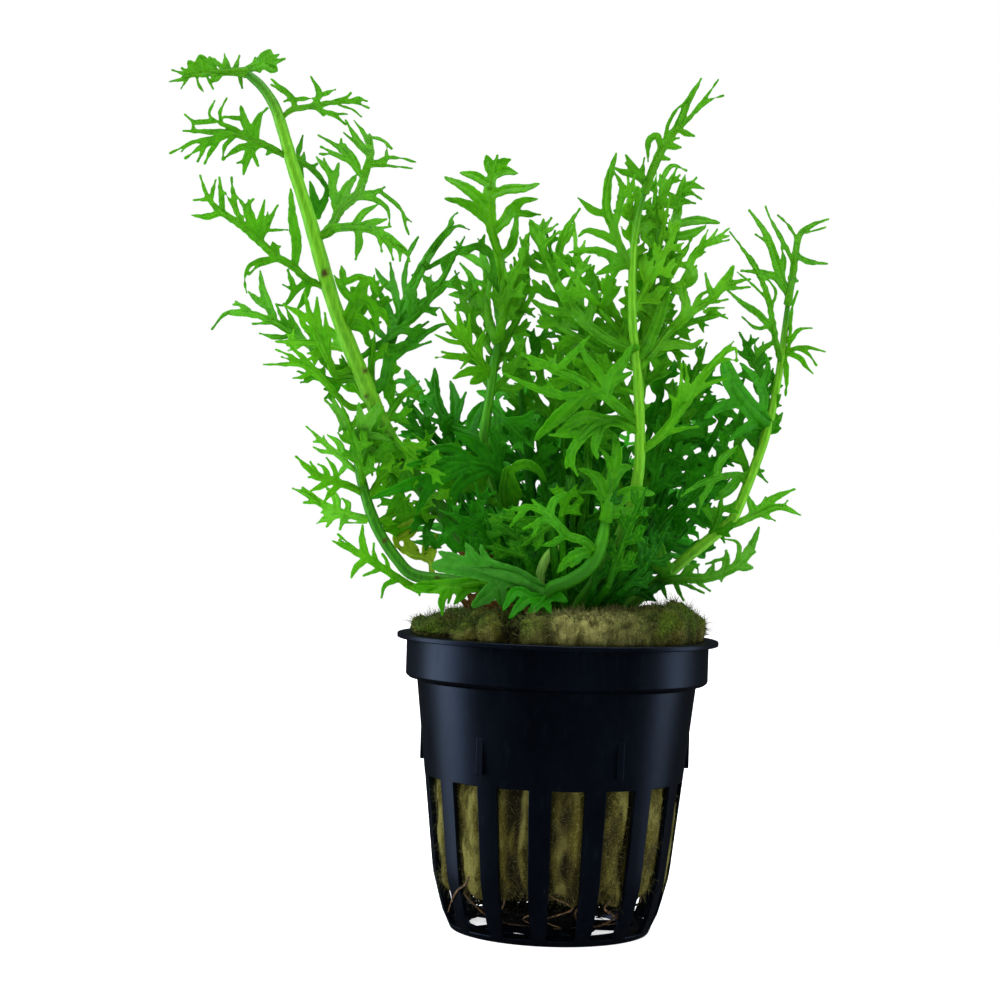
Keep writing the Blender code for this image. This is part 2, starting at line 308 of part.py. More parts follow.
        (2.2, 6.8, 87.4, 3.2, 87.6, -1.2, 84.8), (1.2, 4, 85, 0.8, 84.6, -2.5, 84.4),
        (1.0, 1.6, 82, 1.6, 79.6, 2.6, 77.6), (1.6, 6.4, 86.4, 5.4, 83, 5.9, 80.6))),
    Leaf("leaf_middle_top", "stem_middle", "fresh", -8, 0.3, (
        (1.4, 12.9, 127.4, 14, 130.8, 15.9, 135.2, 17.6, 137.4, 18.7, 139.9, 19.6, 142.3, 21.7, 146.3),
        (0.7, 18.4, 137.6, 20, 139.6, 22, 142.2, 24.6, 146.2), (0.6, 21, 140.6, 23.2, 142.6, 25.6, 143.5),
        (1.1, 18.4, 137.2, 20.8, 136.4), (0.6, 15.8, 135.4, 16.2, 138, 17.6, 140.8, 19.5, 142.4),
        (1.2, 15.2, 134, 14.4, 136.2, 13, 135.2, 13, 131.8), (1.3, 15.8, 134.6, 18.6, 134.4),
        (0.9, 15.2, 132.6, 16.7, 132.3), (0.7, 16.3, 135.6, 18.2, 136),
        (1.6, 13, 127.8, 11.4, 129.4, 10.2, 131, 9.2, 132.7), (0.8, 10.8, 130.2, 9.1, 131.4),
        (0.8, 12.1, 128.4, 12.1, 130.6, 12.4, 132.4), (1.2, 11.4, 129.2, 9, 129.8, 7, 130.6))),
    Leaf("leaf_middle_right_top", "stem_middle", "fresh", 13, -0.25, (
        (1.9, 12.9, 98.4, 15, 103, 16.4, 108, 16.6, 113, 17.4, 118, 18.2, 123, 18.8, 127, 19.4, 129.7),
        (0.9, 18.8, 127.2, 20.1, 127.8, 21.4, 129.3), (1.2, 18.6, 126.6, 20.5, 128, 22.8, 127.4),
        (0.8, 18.6, 126, 20.5, 126.6, 22.4, 125.6), (1.0, 18.2, 124.6, 19.6, 125.1, 21.3, 124.9),
        (1.5, 17.8, 121, 20.4, 121.8, 23, 122, 25.7, 121.6), (1.6, 17.8, 119, 20.6, 119.6, 23.2, 121),
        (1.1, 18.4, 125, 16.2, 126.9), (1.3, 16, 112, 14.8, 117, 15.2, 123, 15.2, 128.6),
        (1.2, 16.5, 114.6, 19.4, 116.2, 20.8, 118.6), (1.6, 17.4, 118, 15, 121, 13, 123.2),
        (0.9, 15, 128, 17, 131.2, 19.6, 130.5))),
    Leaf("leaf_middle_right_side", "stem_middle", "bright", 17, 0.25, (
        (1.4, 12.8, 96.4, 15.4, 100, 18, 103.4, 21, 106, 24, 108.2, 27, 111, 31.2, 112.2),
        (0.9, 24.8, 108.8, 24, 111, 23.4, 112.9), (1.8, 25, 109, 27, 111.8, 28.2, 114.4),
        (0.7, 26.8, 110.4, 31.2, 110.8), (0.5, 24.8, 107.9, 27.4, 108.6), (0.5, 24, 106.9, 26.8, 107.1),
        (0.9, 23.6, 106.4, 25.5, 106.1, 27.5, 105.3), (0.9, 21.2, 105.8, 22.6, 109, 24.6, 110.1),
        (1.8, 18.6, 103.6, 20.2, 106, 20.4, 109.2), (1.4, 20.1, 107, 19.6, 111, 21.9, 114.2),
        (1.3, 20, 110.6, 21.6, 112, 21.9, 113.4), (1.3, 20.2, 112.4, 21.4, 116, 24, 118.4, 27.3, 119.5),
        (0.8, 22.4, 117.2, 23.6, 120.4), (0.6, 24, 118.4, 25.2, 120.5), (0.5, 25, 119, 27.3, 120.8),
        (0.5, 23.8, 117.9, 27.3, 118.8), (1.2, 21, 115.8, 23.3, 116.6),
        (1.6, 15.6, 100, 19.2, 100.6, 21.6, 100.4, 23.4, 101.6))),
    Leaf("leaf_middle_right", "stem_middle", "bright", -10, 0.2, (
        (1.5, 13.6, 82.2, 16.5, 84.8, 19, 88, 21, 91, 22.6, 94, 25, 97.2, 28.6, 101.4),
        (1.1, 18.8, 87.8, 18.8, 90.6, 17.8, 92), (0.9, 19.2, 88.6, 19.8, 93, 19.8, 97.3),
        (0.9, 20.2, 90, 20.9, 94, 20.5, 97.2), (1.0, 21.8, 92, 24.4, 93.9, 27.6, 95),
        (0.9, 16.3, 84.7, 19.5, 86, 23, 86.6), (0.7, 24.8, 97, 27, 98.2, 29.4, 98.2),
        (0.6, 26.4, 98.8, 28.9, 100.2, 29.2, 98))),
    Leaf("leaf_right_top", "stem_right", "fresh", 9, 0.35, (
        (1.2, 37.8, 108.8, 38.4, 113, 38.8, 117, 39.4, 120, 41.4, 121.7, 44.2, 122.9),
        (1.0, 38.8, 116.6, 41, 115.5, 44.2, 115.2), (0.4, 40.6, 120.4, 43.8, 121.5),
        (0.5, 39, 119.2, 37.4, 121.6, 35.5, 123.3), (0.8, 38.3, 115.6, 36.4, 119, 34.3, 122.6, 33.4, 124.7),
        (1.4, 38, 110, 36.2, 113, 34.8, 117.3, 33.2, 120.6, 30.6, 124), (0.4, 34.2, 118.4, 31.8, 119.9),
        (1.0, 36.6, 112.8, 36.8, 115.4, 36.4, 117.8), (0.9, 38, 112.6, 39.3, 112.1),
        (1.3, 37.8, 109.4, 35.8, 112.4, 33, 113.4, 29.6, 113.6))),
    Leaf("leaf_right_inner", "stem_right", "fresh", -16, 0.3, (
        (1.0, 36.9, 97.4, 36, 101, 35.2, 105, 34.2, 109.4, 32.6, 113, 29.8, 117.2, 27.3, 120.3),
        (0.6, 33, 112.2, 31.9, 115, 31.1, 116.1), (0.4, 34, 109, 31.4, 111.4, 28.9, 113.3),
        (1.2, 35.6, 103, 32.8, 106.2, 30, 108, 27.3, 110.2), (0.6, 34.6, 104.2, 32.4, 103.8, 29.9, 105.7),
        (1.0, 35.4, 101.4, 33.2, 100, 32, 97.8), (0.5, 34.8, 107.2, 35.6, 110.2, 33.6, 112.8))),
    Leaf("leaf_right_outer", "stem_right", "bright", -8, -0.4, (
        (0.8, 37.2, 99.6, 39.2, 100.5, 41.4, 100.8, 44.4, 100.1),
        (0.7, 37.8, 100.3, 38.7, 102.4, 40, 103.9, 42, 104.1), (0.6, 39.6, 100.5, 41.5, 99.6, 42.9, 97.8),
        (1.0, 37.8, 99.8, 40, 98.9, 41.2, 97.4, 42.4, 96.3), (0.5, 38, 101.6, 40.1, 104),
        (0.9, 37.5, 99.4, 37.9, 95.2, 37.8, 92.4), (0.6, 38.2, 101.6, 38.4, 107, 39.3, 110.4))),
    Leaf("leaf_right_dark", "stem_right", "deep", -13, 0.25, (
        (3.2, 34.8, 87.2, 31, 91, 28.4, 94.6, 27.2, 98.4),
        (1.6, 34, 88.6, 34, 92.4, 32.4, 95.4, 29.8, 97.8), (1.8, 30.6, 91, 26.8, 90.2, 24, 88),
        (1.6, 34.6, 87.6, 31.4, 86.8, 28.4, 84.4), (1.2, 33.4, 93.4, 34.6, 96.6, 34.2, 99.4))),
    Leaf("leaf_right_cross", "stem_right", "fresh", -8, -0.2, (
        (1.1, 31.6, 76.4, 30.6, 78.4, 27.4, 78.2, 23.6, 76.8, 20.4, 74.6),
        (0.9, 30.8, 78.4, 33, 79.2, 35.2, 77.4), (1.7, 30.2, 78, 28.4, 75.8, 26.2, 74.1),
        (1.3, 26.6, 78, 26.8, 80.4, 29.8, 83.6), (1.1, 26.4, 78, 24.4, 75, 23.4, 71.6))),
    Leaf("leaf_right_low_out", "stem_right", "bright", 9, 0.3, (
        (1.3, 29.4, 69.9, 32.5, 71.4, 34.5, 72.3, 37.5, 73.3, 41, 72),
        (1.4, 32.8, 72, 36.4, 74.7, 39.8, 76.4), (1.3, 33, 71.9, 31.9, 75.1), (0.4, 34.8, 73.6, 34.9, 74.9),
        (0.4, 37.9, 73.3, 38.7, 74.4), (0.9, 34.2, 72, 36.7, 70.9))),
    Leaf("leaf_right_pale_low", "stem_right", "pale", -15, 0.2, (
        (1.6, 15.6, 58.8, 17.6, 60, 20.4, 60.4, 25.5, 60.8, 28.5, 61.9, 31, 63.5, 32.6, 66, 33.9, 69.6),
        (1.5, 30.4, 62.9, 33.1, 62.7), (1.0, 32.1, 65.3, 33.4, 65.4), (0.9, 31.6, 64.6, 32.5, 67.1),
        (0.8, 29.8, 62.8, 30.6, 65, 30.3, 67, 28, 67.5), (1.2, 28.1, 61.9, 28.6, 64, 28.4, 65.6),
        (0.9, 28, 62, 27.8, 60.2), (0.6, 28.2, 64.2, 25, 63.1), (1.3, 25.4, 61, 26.4, 62.9),
        (1.5, 21, 60.4, 22.2, 62.2, 23.8, 63), (0.8, 17.4, 59.8, 18.5, 56.9), (0.8, 19.6, 60, 21.4, 56.7),
        (0.6, 20.6, 59.9, 24.9, 58.1), (0.6, 23, 60.3, 25.9, 58.5),
        (2.2, 18, 60, 18.1, 62, 17.5, 64.2, 17.3, 66.3), (1.0, 17.6, 63.4, 16.2, 64.6),
        (1.2, 18, 62, 19.5, 62.9), (1.6, 17.8, 61.6, 15.4, 63, 13.8, 64.8))),
    Leaf("leaf_front_fan", "stem_front", "fresh", 6, 0.2, (
        (2.0, 7.7, 70.4, 8.2, 74, 8.8, 78, 9.2, 81.4, 8.8, 85),
        (1.0, 7.6, 71, 6.8, 73.8, 5.4, 74.8, 3.1, 74.7), (1.8, 7.8, 72.6, 6.7, 76, 5, 78, 2.7, 78.8),
        (1.1, 6.9, 76, 6.2, 78.2), (1.2, 8.6, 77, 7.8, 80.4, 6, 82.6), (1.7, 8.7, 76.8, 10, 78.8, 12, 79.6),
        (2.5, 8.2, 71.2, 10.2, 74, 12.8, 75.2, 15.8, 74.8), (1.5, 8.4, 70.8, 11, 71.8, 12.8, 72.3),
        (1.2, 11.6, 74.6, 13.2, 72.8, 14, 71.4))),
    Leaf("leaf_front_shoot", "stem_front", "fresh", -9, 0.2, (
        (1.5, 6.4, 64.4, 4, 66.4, 1.4, 67.2, -0.8, 69.2, -2.8, 71.2, -6.2, 72.2),
        (2.0, 6, 64.6, 3.4, 64.2, 1.4, 63, -0.3, 60.9), (1.1, 3.6, 63.8, 2, 61.9),
        (1.0, 4, 64.3, 2.6, 65.2), (1.2, 0.6, 67.2, -1.4, 65.8, -3.3, 65.4), (0.9, -3, 71.2, -5, 73.2),
        (1.3, -1.4, 69.8, -3.6, 69.6, -4.8, 67), (0.8, -3.4, 69.6, -6.4, 68.2),
        (1.0, -5.6, 72, -7.4, 70.2, -8.6, 68.6), (0.8, -6, 72, -9.4, 71.2),
        (1.4, -2, 70.4, -1.4, 73, 0.6, 74.6))),
    Leaf("leaf_inner_bright", "stem_centre", "fresh", -6, -0.2, (
        (1.9, -8.2, 66.8, -8.8, 70, -9.8, 73.6, -9.8, 76.4, -9.5, 78.8),
        (1.8, -9.6, 77.8, -6.8, 79.2, -4.4, 78.4, -2.9, 76.4), (2.8, -9.4, 77.4, -8.7, 75, -7.8, 71.6),
        (1.0, -8.4, 75, -6.4, 73.6))),
    Leaf("leaf_crown_front", "stem_front", "deep", -9, 0.1, (
        (1.6, -1.9, 57.5, -2.8, 56, -4.2, 54.6, -5, 53.3), (1.9, -2.8, 56.6, -5.6, 56, -8.4, 52.8),
        (1.8, -4.4, 56.4, -7.4, 57.4, -9.4, 54.2), (2.0, -2.4, 56.6, -0.4, 56.8, 1.4, 56),
        (1.3, -2.4, 56.2, -1.3, 53.9))),
)

BACK_LEAVES = (
    BackLeaf("leaf_back_left", (-6, 8, 55), 34, 116, 30),
    BackLeaf("leaf_back_middle", (0, 11, 55), 48, 92, 24),
    BackLeaf("leaf_back_right", (11, 8, 55), 45, 66, 34),
    BackLeaf("leaf_back_tall", (8, 18, 55), 44, 84, 44),
    BackLeaf("leaf_back_low_left", (-9, 12, 55), 30, 140, 66),
    BackLeaf("leaf_back_low_right", (12, 14, 55), 28, 66, 66),
    BackLeaf("leaf_back_low", (3, 16, 55), 30, 92, 66),
)

TONES = {
    "fresh": (0.05, 0.30, 0.02), "bright": (0.11, 0.42, 0.02), "deep": (0.01, 0.13, 0.01),
    "pale": (0.16, 0.40, 0.06), "blue": (0.10, 0.33, 0.09), "glossy": (0.05, 0.27, 0.01),
    "old": (0.30, 0.38, 0.03), "cut": (0.18, 0.33, 0.08),
}


def clear_scene():
    """Removes every object of the start-up scene."""
    for obj in list(bpy.data.objects):
        bpy.data.objects.remove(obj, do_unlink=True)


def new_collection(name):
    collection = bpy.data.collections.new(name)
    bpy.context.scene.collection.children.link(collection)
    return collection


def principled(name, colour, roughness):
    """One Principled material with a colour and a roughness."""
    material = bpy.data.materials.new(name)
    material.use_nodes = True
    shader = material.node_tree.nodes["Principled BSDF"]
    shader.inputs["Base Color"].default_value = (*colour, 1.0)
    shader.inputs["Roughness"].default_value = roughness
    shader.inputs["Metallic"].default_value = 0.0
    material.diffuse_color = (*colour, 1.0)
    return material


def add_object(name, data, collection, colour, roughness=0.5):
    obj = bpy.data.objects.new(name, data)
    collection.objects.link(obj)
    data.materials.append(principled(name, colour, roughness))
    return obj


def add_cutter(name, mesh, collection):
    """A tool body, kept out of renders and drawn as a wire."""
    obj = bpy.data.objects.new(name, mesh)
    collection.objects.link(obj)
    obj.hide_render = True
    obj.display_type = "WIRE"
    return obj


def applied(obj):
    """The object's evaluated mesh as a new mesh."""
    depsgraph = bpy.context.evaluated_depsgraph_get()
    return bpy.data.meshes.new_from_object(obj.evaluated_get(depsgraph))


def turned_mesh(name, profile, segments, collection):
    """A profile of (radius, height) in mm, outer side first, turned about +Z."""
    mesh = bpy.data.meshes.new(name)
    points = [(r * MM, 0.0, z * MM) for r, z in profile]
    edges = [(i, (i + 1) % len(points)) for i in range(len(points))]
    if profile[0][0] == 0.0 and profile[-1][0] == 0.0:
        edges.pop()
    mesh.from_pydata(points, edges, [])
    blank = bpy.data.objects.new(name + "_profile", mesh)
    collection.objects.link(blank)
    screw = blank.modifiers.new("turn", "SCREW")
    screw.steps = screw.render_steps = segments
    screw.use_merge_vertices = True
    screw.merge_threshold = 0.00005
    turned = applied(blank)
    turned.name = name
    bpy.data.objects.remove(blank, do_unlink=True)
    return turned


def block(size, foot_scale=1.0):
    """A box of the given size in mm, centred in x and y and standing on z = 0; its foot may narrow in y."""
    mesh = bpy.data.meshes.new("block")
    bm = bmesh.new()
    bmesh.ops.create_cube(bm, size=1.0)
    for vert in bm.verts:
        narrow = foot_scale if vert.co.z < 0.0 else 1.0
        corner = (vert.co.x * size[0], vert.co.y * size[1] * narrow, (vert.co.z + 0.5) * size[2])
        vert.co = Vector(corner) * MM
    bm.to_mesh(mesh)
    bm.free()
    return mesh


def ring_sector(inner, outer, half_spoke, span, height):
    """A block with round inner and outer sides that leaves half a spoke at each end, in mm."""
    bm = bmesh.new()
    corners = []
    for radius, order in ((inner, 1), (outer, -1)):
        end = span / 2 - half_spoke / radius
        corners += [(radius, order * end * k / 3) for k in range(-3, 4)]
    verts = [bm.verts.new(Vector((r * math.cos(a), r * math.sin(a), -height)) * MM) for r, a in corners]
    bottom = bm.faces.new(verts)
    top = bmesh.ops.extrude_face_region(bm, geom=[bottom])
    moved = [item for item in top["geom"] if isinstance(item, bmesh.types.BMVert)]
    bmesh.ops.translate(bm, verts=moved, vec=(0.0, 0.0, 3 * height * MM))
    bmesh.ops.recalc_face_normals(bm, faces=bm.faces)
    mesh = bpy.data.meshes.new("ring_sector")
    bm.to_mesh(mesh)
    bm.free()
    return mesh


def wall_radius(height):
    """The pot wall's outer radius at a height, between the points of its profile."""
    profile = sorted(WALL_OUTSIDE, key=lambda point: point[1])
    for (r0, z0), (r1, z1) in zip(profile, profile[1:]):
        if height <= z1:
            return r0 + (r1 - r0) * (height - z0) / (z1 - z0)
    return profile[-1][0]


def make_pot(parts, tools):
    """The net pot: one turned wall with a lip, cut by its slots and floor gaps, with small ribs."""
    outside = [(LIP_RADIUS, POT_HEIGHT), (LIP_RADIUS, POT_HEIGHT - LIP_THICKNESS),
               (COLLAR_RADIUS, POT_HEIGHT - LIP_THICKNESS), (COLLAR_RADIUS, COLLAR_FOOT), *WALL_OUTSIDE,
               (FLOOR_RADIUS, 0.0)]
    inside = [(0.0, 0.0), (0.0, FLOOR_THICKNESS), (FLOOR_RADIUS - 0.5, FLOOR_THICKNESS)]
    inside += [(r - WALL_THICKNESS, z) for r, z in reversed(WALL_OUTSIDE)]
    inside += [(MOUTH_RADIUS, COLLAR_FOOT + 0.8), (MOUTH_RADIUS, POT_HEIGHT)]
    pot = add_object("net_pot", turned_mesh("net_pot", outside + inside, POT_SEGMENTS, parts), parts,
                     (0.01, 0.011, 0.016), 0.35)
    cuts = bpy.data.collections.new("net_pot_openings")
    tools.children.link(cuts)
    slot = block((12.0, SLOT_WIDTH_TOP, SLOT_TOP - SLOT_FOOT), SLOT_WIDTH_FOOT / SLOT_WIDTH_TOP)
    for k in range(SLOT_COUNT):
        turn = Matrix.Rotation(SLOT_TURN + math.tau * k / SLOT_COUNT, 4, "Z")
        cutter = add_cutter(f"slot_{k + 1}", slot, cuts)
        cutter.matrix_world = turn @ Matrix.Translation(Vector((22.0, 0.0, SLOT_FOOT)) * MM)
    span = math.tau / FLOOR_GAP_COUNT
    gap = ring_sector(FLOOR_GAP_INNER, FLOOR_GAP_OUTER, FLOOR_SPOKE / 2, span, 1.0)
    for k in range(FLOOR_GAP_COUNT):
        cutter = add_cutter(f"floor_gap_{k + 1}", gap, cuts)
        cutter.matrix_world = Matrix.Rotation(span * k, 4, "Z")
    ribs = bpy.data.collections.new("net_pot_ribs")
    tools.children.link(ribs)
    rib = block(RIB_SIZE)
    for k in range(RIB_COUNT):
        turn = Matrix.Rotation(RIB_TURN + math.tau * k / RIB_COUNT, 4, "Z")
        place = Vector((wall_radius(RIB_FOOT) + 0.2, 0.0, RIB_FOOT)) * MM
        add_cutter(f"rib_{k + 1}", rib, ribs).matrix_world = turn @ Matrix.Translation(place)
    for name, operation, tool in (("ribs", "UNION", ribs), ("openings", "DIFFERENCE", cuts)):
        boolean = pot.modifiers.new(name, "BOOLEAN")
        boolean.operation = operation
        boolean.operand_type = "COLLECTION"
        boolean.collection = tool
        boolean.solver = "EXACT"


def make_wool(parts):
    """The plug: a turned body that fits the pot, with creases down its sides and a lumpy top."""
    inner = [(wall_radius(z) - WALL_THICKNESS - WOOL_GAP, z) for z in (42.2, 26.1, 9.9, WOOL_FOOT)]
    profile = [(0.0, WOOL_TOP), (12.0, WOOL_TOP), (22.6, WOOL_TOP - 0.6), (WOOL_RADIUS, WOOL_TOP - 2.4),
               (WOOL_RADIUS, 45.4), *inner, (0.0, WOOL_FOOT)]
    mesh = turned_mesh("rock_wool", profile, WOOL_SEGMENTS, parts)
    for vert in mesh.vertices:
        radius = math.hypot(vert.co.x, vert.co.y)
        turn = math.atan2(vert.co.y, vert.co.x)
        depth = 0.0
        for degrees, size in WOOL_CREASES:
            apart = (turn - math.radians(degrees) + math.pi) % math.tau - math.pi
            depth += size * math.exp(-(apart / CREASE_WIDTH) ** 2)
        rim = min(1.0, radius / (18.0 * MM))
        shrink = 1.0 - depth * rim * MM / max(radius, 18.0 * MM)
        vert.co.x *= shrink
        vert.co.y *= shrink
        if vert.co.z > (WOOL_TOP - 3.0) * MM:
            vert.co.z += 0.5 * MM * rim * (math.sin(3.0 * turn + 0.6) - 1.0)
    add_object("rock_wool", mesh, parts, (0.17, 0.16, 0.05), 0.95)


def seen(x, y, z):
    """A point drawn at x, z and set at depth y, in mm, moved along the line of sight, in metres."""
    scale = (VIEW_DISTANCE + y) / VIEW_DISTANCE
    return Vector((VIEW_X + (x - VIEW_X) * scale, y, VIEW_HEIGHT + (z - VIEW_HEIGHT) * scale)) * MM


def smooth_path(points, spacing):
    """Points about a spacing apart on a Catmull-Rom curve through the given points."""
    points = [Vector(point) for point in points]
    ends = [2 * points[0] - points[1], *points, 2 * points[-1] - points[-2]]
    path = []
    for p0, p1, p2, p3 in zip(ends, ends[1:], ends[2:], ends[3:]):
        steps = max(1, round((p2 - p1).length / spacing))
        for k in range(steps):
            t = k / steps
            path.append(0.5 * (2 * p1 + (p2 - p0) * t + (2 * p0 - 5 * p1 + 4 * p2 - p3) * t * t
                               + (3 * p1 - p0 - 3 * p2 + p3) * t ** 3))
    return path + [points[-1]]


def make_stem(stem, parts):
    """A tapered tube along the stem's path."""
    curve = bpy.data.curves.new(stem.name, "CURVE")
    curve.dimensions = "3D"
    curve.bevel_depth = MM
    curve.bevel_resolution = 1
    curve.use_fill_caps = True
    path = smooth_path(stem.path, 7.0)
    spline = curve.splines.new("POLY")
    spline.points.add(len(path) - 1)
    for k, (point, place) in enumerate(zip(spline.points, path)):
        share = k / (len(path) - 1)
        point.co = (*seen(*place), 1.0)
        point.radius = stem.foot_radius + (stem.tip_radius - stem.foot_radius) * share
    colour = {"deep": (0.02, 0.16, 0.01), "cut": (0.18, 0.33, 0.08)}.get(stem.colour, (0.12, 0.36, 0.05))
    return add_object(stem.name, curve, parts, colour, 0.45)


def limb_outline(limb, stalk):
    """The limb's outline: root, both sides, tip. Lobes swell past their middle, a stalk stays even."""
    width, flat = limb[0], limb[1:]
    points = [Vector(flat[i:i + 2]) for i in range(0, len(flat), 2)]
    if len(points) == 2 and width >= 1.4:
        points.insert(1, points[0].lerp(points[1], 0.55))
    count = len(points) - 1
    left, right = [], []
    for i, point in enumerate(points[:-1]):
        along = (points[min(i + 1, count)] - points[max(i - 1, 0)]).normalized()
        share = i / count
        rounded = 0.62 + 0.38 * math.sin(math.pi * min(1.0, share * 1.5))
        swell = (0.75 if i == 0 else 1.0) if stalk else rounded
        side = Vector((-along.y, along.x)) * width * 0.5 * swell
        left.append(point + side)
        right.append(point - side)
    return [*right, points[-1], *reversed(left)]


def union_outline(outlines):
    """The triangles that several overlapping outlines cover, and the points of their arrangement."""
    points, faces = [], []
    for outline in outlines:
        faces.append(list(range(len(points), len(points) + len(outline))))
        points += outline
    verts, _, tris, _, _, sources = delaunay_2d_cdt(points, [], faces, 1, 0.03, True)
    return verts, [tri for tri, source in zip(tris, sources) if source]


def rim_loops(tris):
    """The outline of a set of triangles as loops of point numbers."""
    once = {}
    for tri in tris:
        for a, b in zip(tri, tri[1:] + tri[:1]):
            if once.pop((b, a), None) is None:
                once[(a, b)] = True
    after = {}
    for a, b in once:
        after.setdefault(a, []).append(b)
    loops = []
    while after:
        start = next(iter(after))
        loop = [start]
        while True:
            a = loop[-1]
            b = after[a].pop()
            if not after[a]:
                del after[a]
            if b == start:
                break
            loop.append(b)
        loops.append(loop)
    return loops


def without_flat_points(loop, points, tolerance):
    """A loop without the points that lie nearly on the line between their neighbours."""
    kept = list(loop)
    for v in loop:
        i = kept.index(v)
        a, b, c = points[kept[i - 1]], points[v], points[kept[(i + 1) % len(kept)]]
        off = abs((b - a).x * (c - a).y - (b - a).y * (c - a).x) / max((c - a).length, 0.01)
        if off < tolerance and len(kept) > 4:
            kept.remove(v)
    return kept


def one_piece(tris):
    """Whether a set of triangles hangs together across shared sides, with no rim point used twice."""
    loops = rim_loops(tris)
    rim = [v for loop in loops for v in loop]
    sides = {}
    for k, tri in enumerate(tris):
        for a, b in zip(tri, tri[1:] + tri[:1]):
            sides.setdefault(frozenset((a, b)), []).append(k)
    reached, waiting = {0}, [0]
    while waiting:
        tri = tris[waiting.pop()]
        for a, b in zip(tri, tri[1:] + tri[:1]):
            fresh = [k for k in sides[frozenset((a, b))] if k not in reached]
            reached.update(fresh)
            waiting += fresh
    return len(reached) == len(tris) and len(set(rim)) == len(rim)


def joined_sheet(outlines, middle, tolerance):
    """One flat sheet over several outlines, with some points inside it: points in mm and triangles."""
    points, tris = union_outline(outlines)
    rim, edges = [], []
    for loop in rim_loops(tris):
        loop = without_flat_points(loop, points, tolerance)
        edges += [(len(rim) + k, len(rim) + (k + 1) % len(loop)) for k in range(len(loop))]
        rim += [points[v] for v in loop]
    verts, _, cells, _, _, _ = delaunay_2d_cdt(rim + middle, edges, [], 0, 0.01, True)

    def covered(cell):
        a, b, c = (verts[v] for v in cell)
        inner = 0.36 * a + 0.33 * b + 0.31 * c
        return any(intersect_point_tri_2d(inner, *(points[v] for v in tri)) for tri in tris)

    cells = [cell for cell in cells if covered(cell)]
    used = sorted({v for cell in cells for v in cell})
    number = {v: k for k, v in enumerate(used)}
    return [verts[v] for v in used], [[number[v] for v in cell] for cell in cells]


def flat_leaf(limbs):
    """One flat sheet from all limbs of a leaf, made a little wider where that joins it up, or None."""
    kept = [limb for limb in limbs if limb[0] >= THINNEST_SOLID_LOBE or limb is limbs[0]]
    flat = limbs[0][3:-2]
    middle = [Vector(flat[i:i + 2]) for i in range(0, len(flat), 2)]
    for swell, tolerance in OUTLINE_TRIALS:
        outlines = [limb_outline((limb[0] * swell, *limb[1:]), k == 0) for k, limb in enumerate(kept)]
        points, cells = joined_sheet(outlines, middle, tolerance)
        if one_piece(cells):
            return points, cells
    return None


def stem_station(stem, x, z):
    """Depth and radius of a stem where its drawing passes nearest to a drawn point."""
    path = smooth_path(stem.path, 1.0)
    nearest = min(range(len(path)), key=lambda k: math.hypot(path[k].x - x, path[k].z - z))
    share = nearest / (len(path) - 1)
    return path[nearest].y, stem.foot_radius + (stem.tip_radius - stem.foot_radius) * share


def clear_of_stem(limbs, stem, radius):
    """The limbs with the stalk's foot moved along it until it stands beside the stem, if it ever does."""
    width, flat = limbs[0][0], limbs[0][1:]
    stalk = smooth_path([(x, 0.0, z) for x, z in zip(flat[::2], flat[1::2])], 0.25)
    path = smooth_path(stem.path, 1.0)
    for foot in stalk:
        moved = (foot - stalk[0]).length
        if moved > LONGEST_TRIM:
            return None
        nearest = min(math.hypot(point.x - foot.x, point.z - foot.z) for point in path)
        if nearest >= radius + GAP + 0.3 * width:
            break
    points = [(foot.x, foot.z)]
    for x, z in zip(flat[2::2], flat[3::2]):
        if (Vector((x, 0, z)) - stalk[0]).length > moved + 0.5:
            points.append((x, z))
    return ((width, *(value for point in points for value in point)), *limbs[1:])


def bent_sheet(points, leaf, foot_depth, bow):
    """The leaf's flat points set in space: they lean along its stalk, twist across it and cup."""
    foot, tip = Vector(leaf.limbs[0][1:3]), Vector(leaf.limbs[0][-2:])
    chord = tip - foot
    placed = []
    for point in points:
        away = point - foot
        along = away.dot(chord) / chord.length_squared
        across = (away.x * chord.y - away.y * chord.x) / chord.length
        depth = foot_depth + (leaf.lean + bow) * along + leaf.twist * across + CUP * across * across
        placed.append(seen(point.x, depth, point.y))
    return placed


def solid_tree(obj):
    """A search tree over the faces of an object's evaluated mesh."""
    mesh = applied(obj)
    corners = [vert.co for vert in mesh.vertices]
    tree = BVHTree.FromPolygons(corners, [face.vertices for face in mesh.polygons])
    bpy.data.meshes.remove(mesh)
    return tree


def sheet_object(name, points, cells, parts, colour):
    """A thin closed leaf: the sheet with Solidify to both sides."""
    mesh = bpy.data.meshes.new(name)
    mesh.from_pydata(points, [], cells)
    leaf = add_object(name, mesh, parts, colour, 0.4)
    leaf.modifiers.new("thickness", "SOLIDIFY").offset = 0.0
    return leaf


def settle(name, build, choices, placed):
    """Builds the piece for each choice in turn and keeps the first that stands clear of all placed ones."""
    for choice in choices:
        piece = build(*choice)
        piece.modifiers["thickness"].thickness = (LEAF_THICKNESS + 2 * GAP) * MM
        tree = solid_tree(piece)
        if not any(tree.overlap(other) for other in placed):
            piece.modifiers["thickness"].thickness = LEAF_THICKNESS * MM
            placed.append(solid_tree(piece))
            return choice
        bpy.data.meshes.remove(piece.data)
    raise ValueError(f"{name} has no free place")


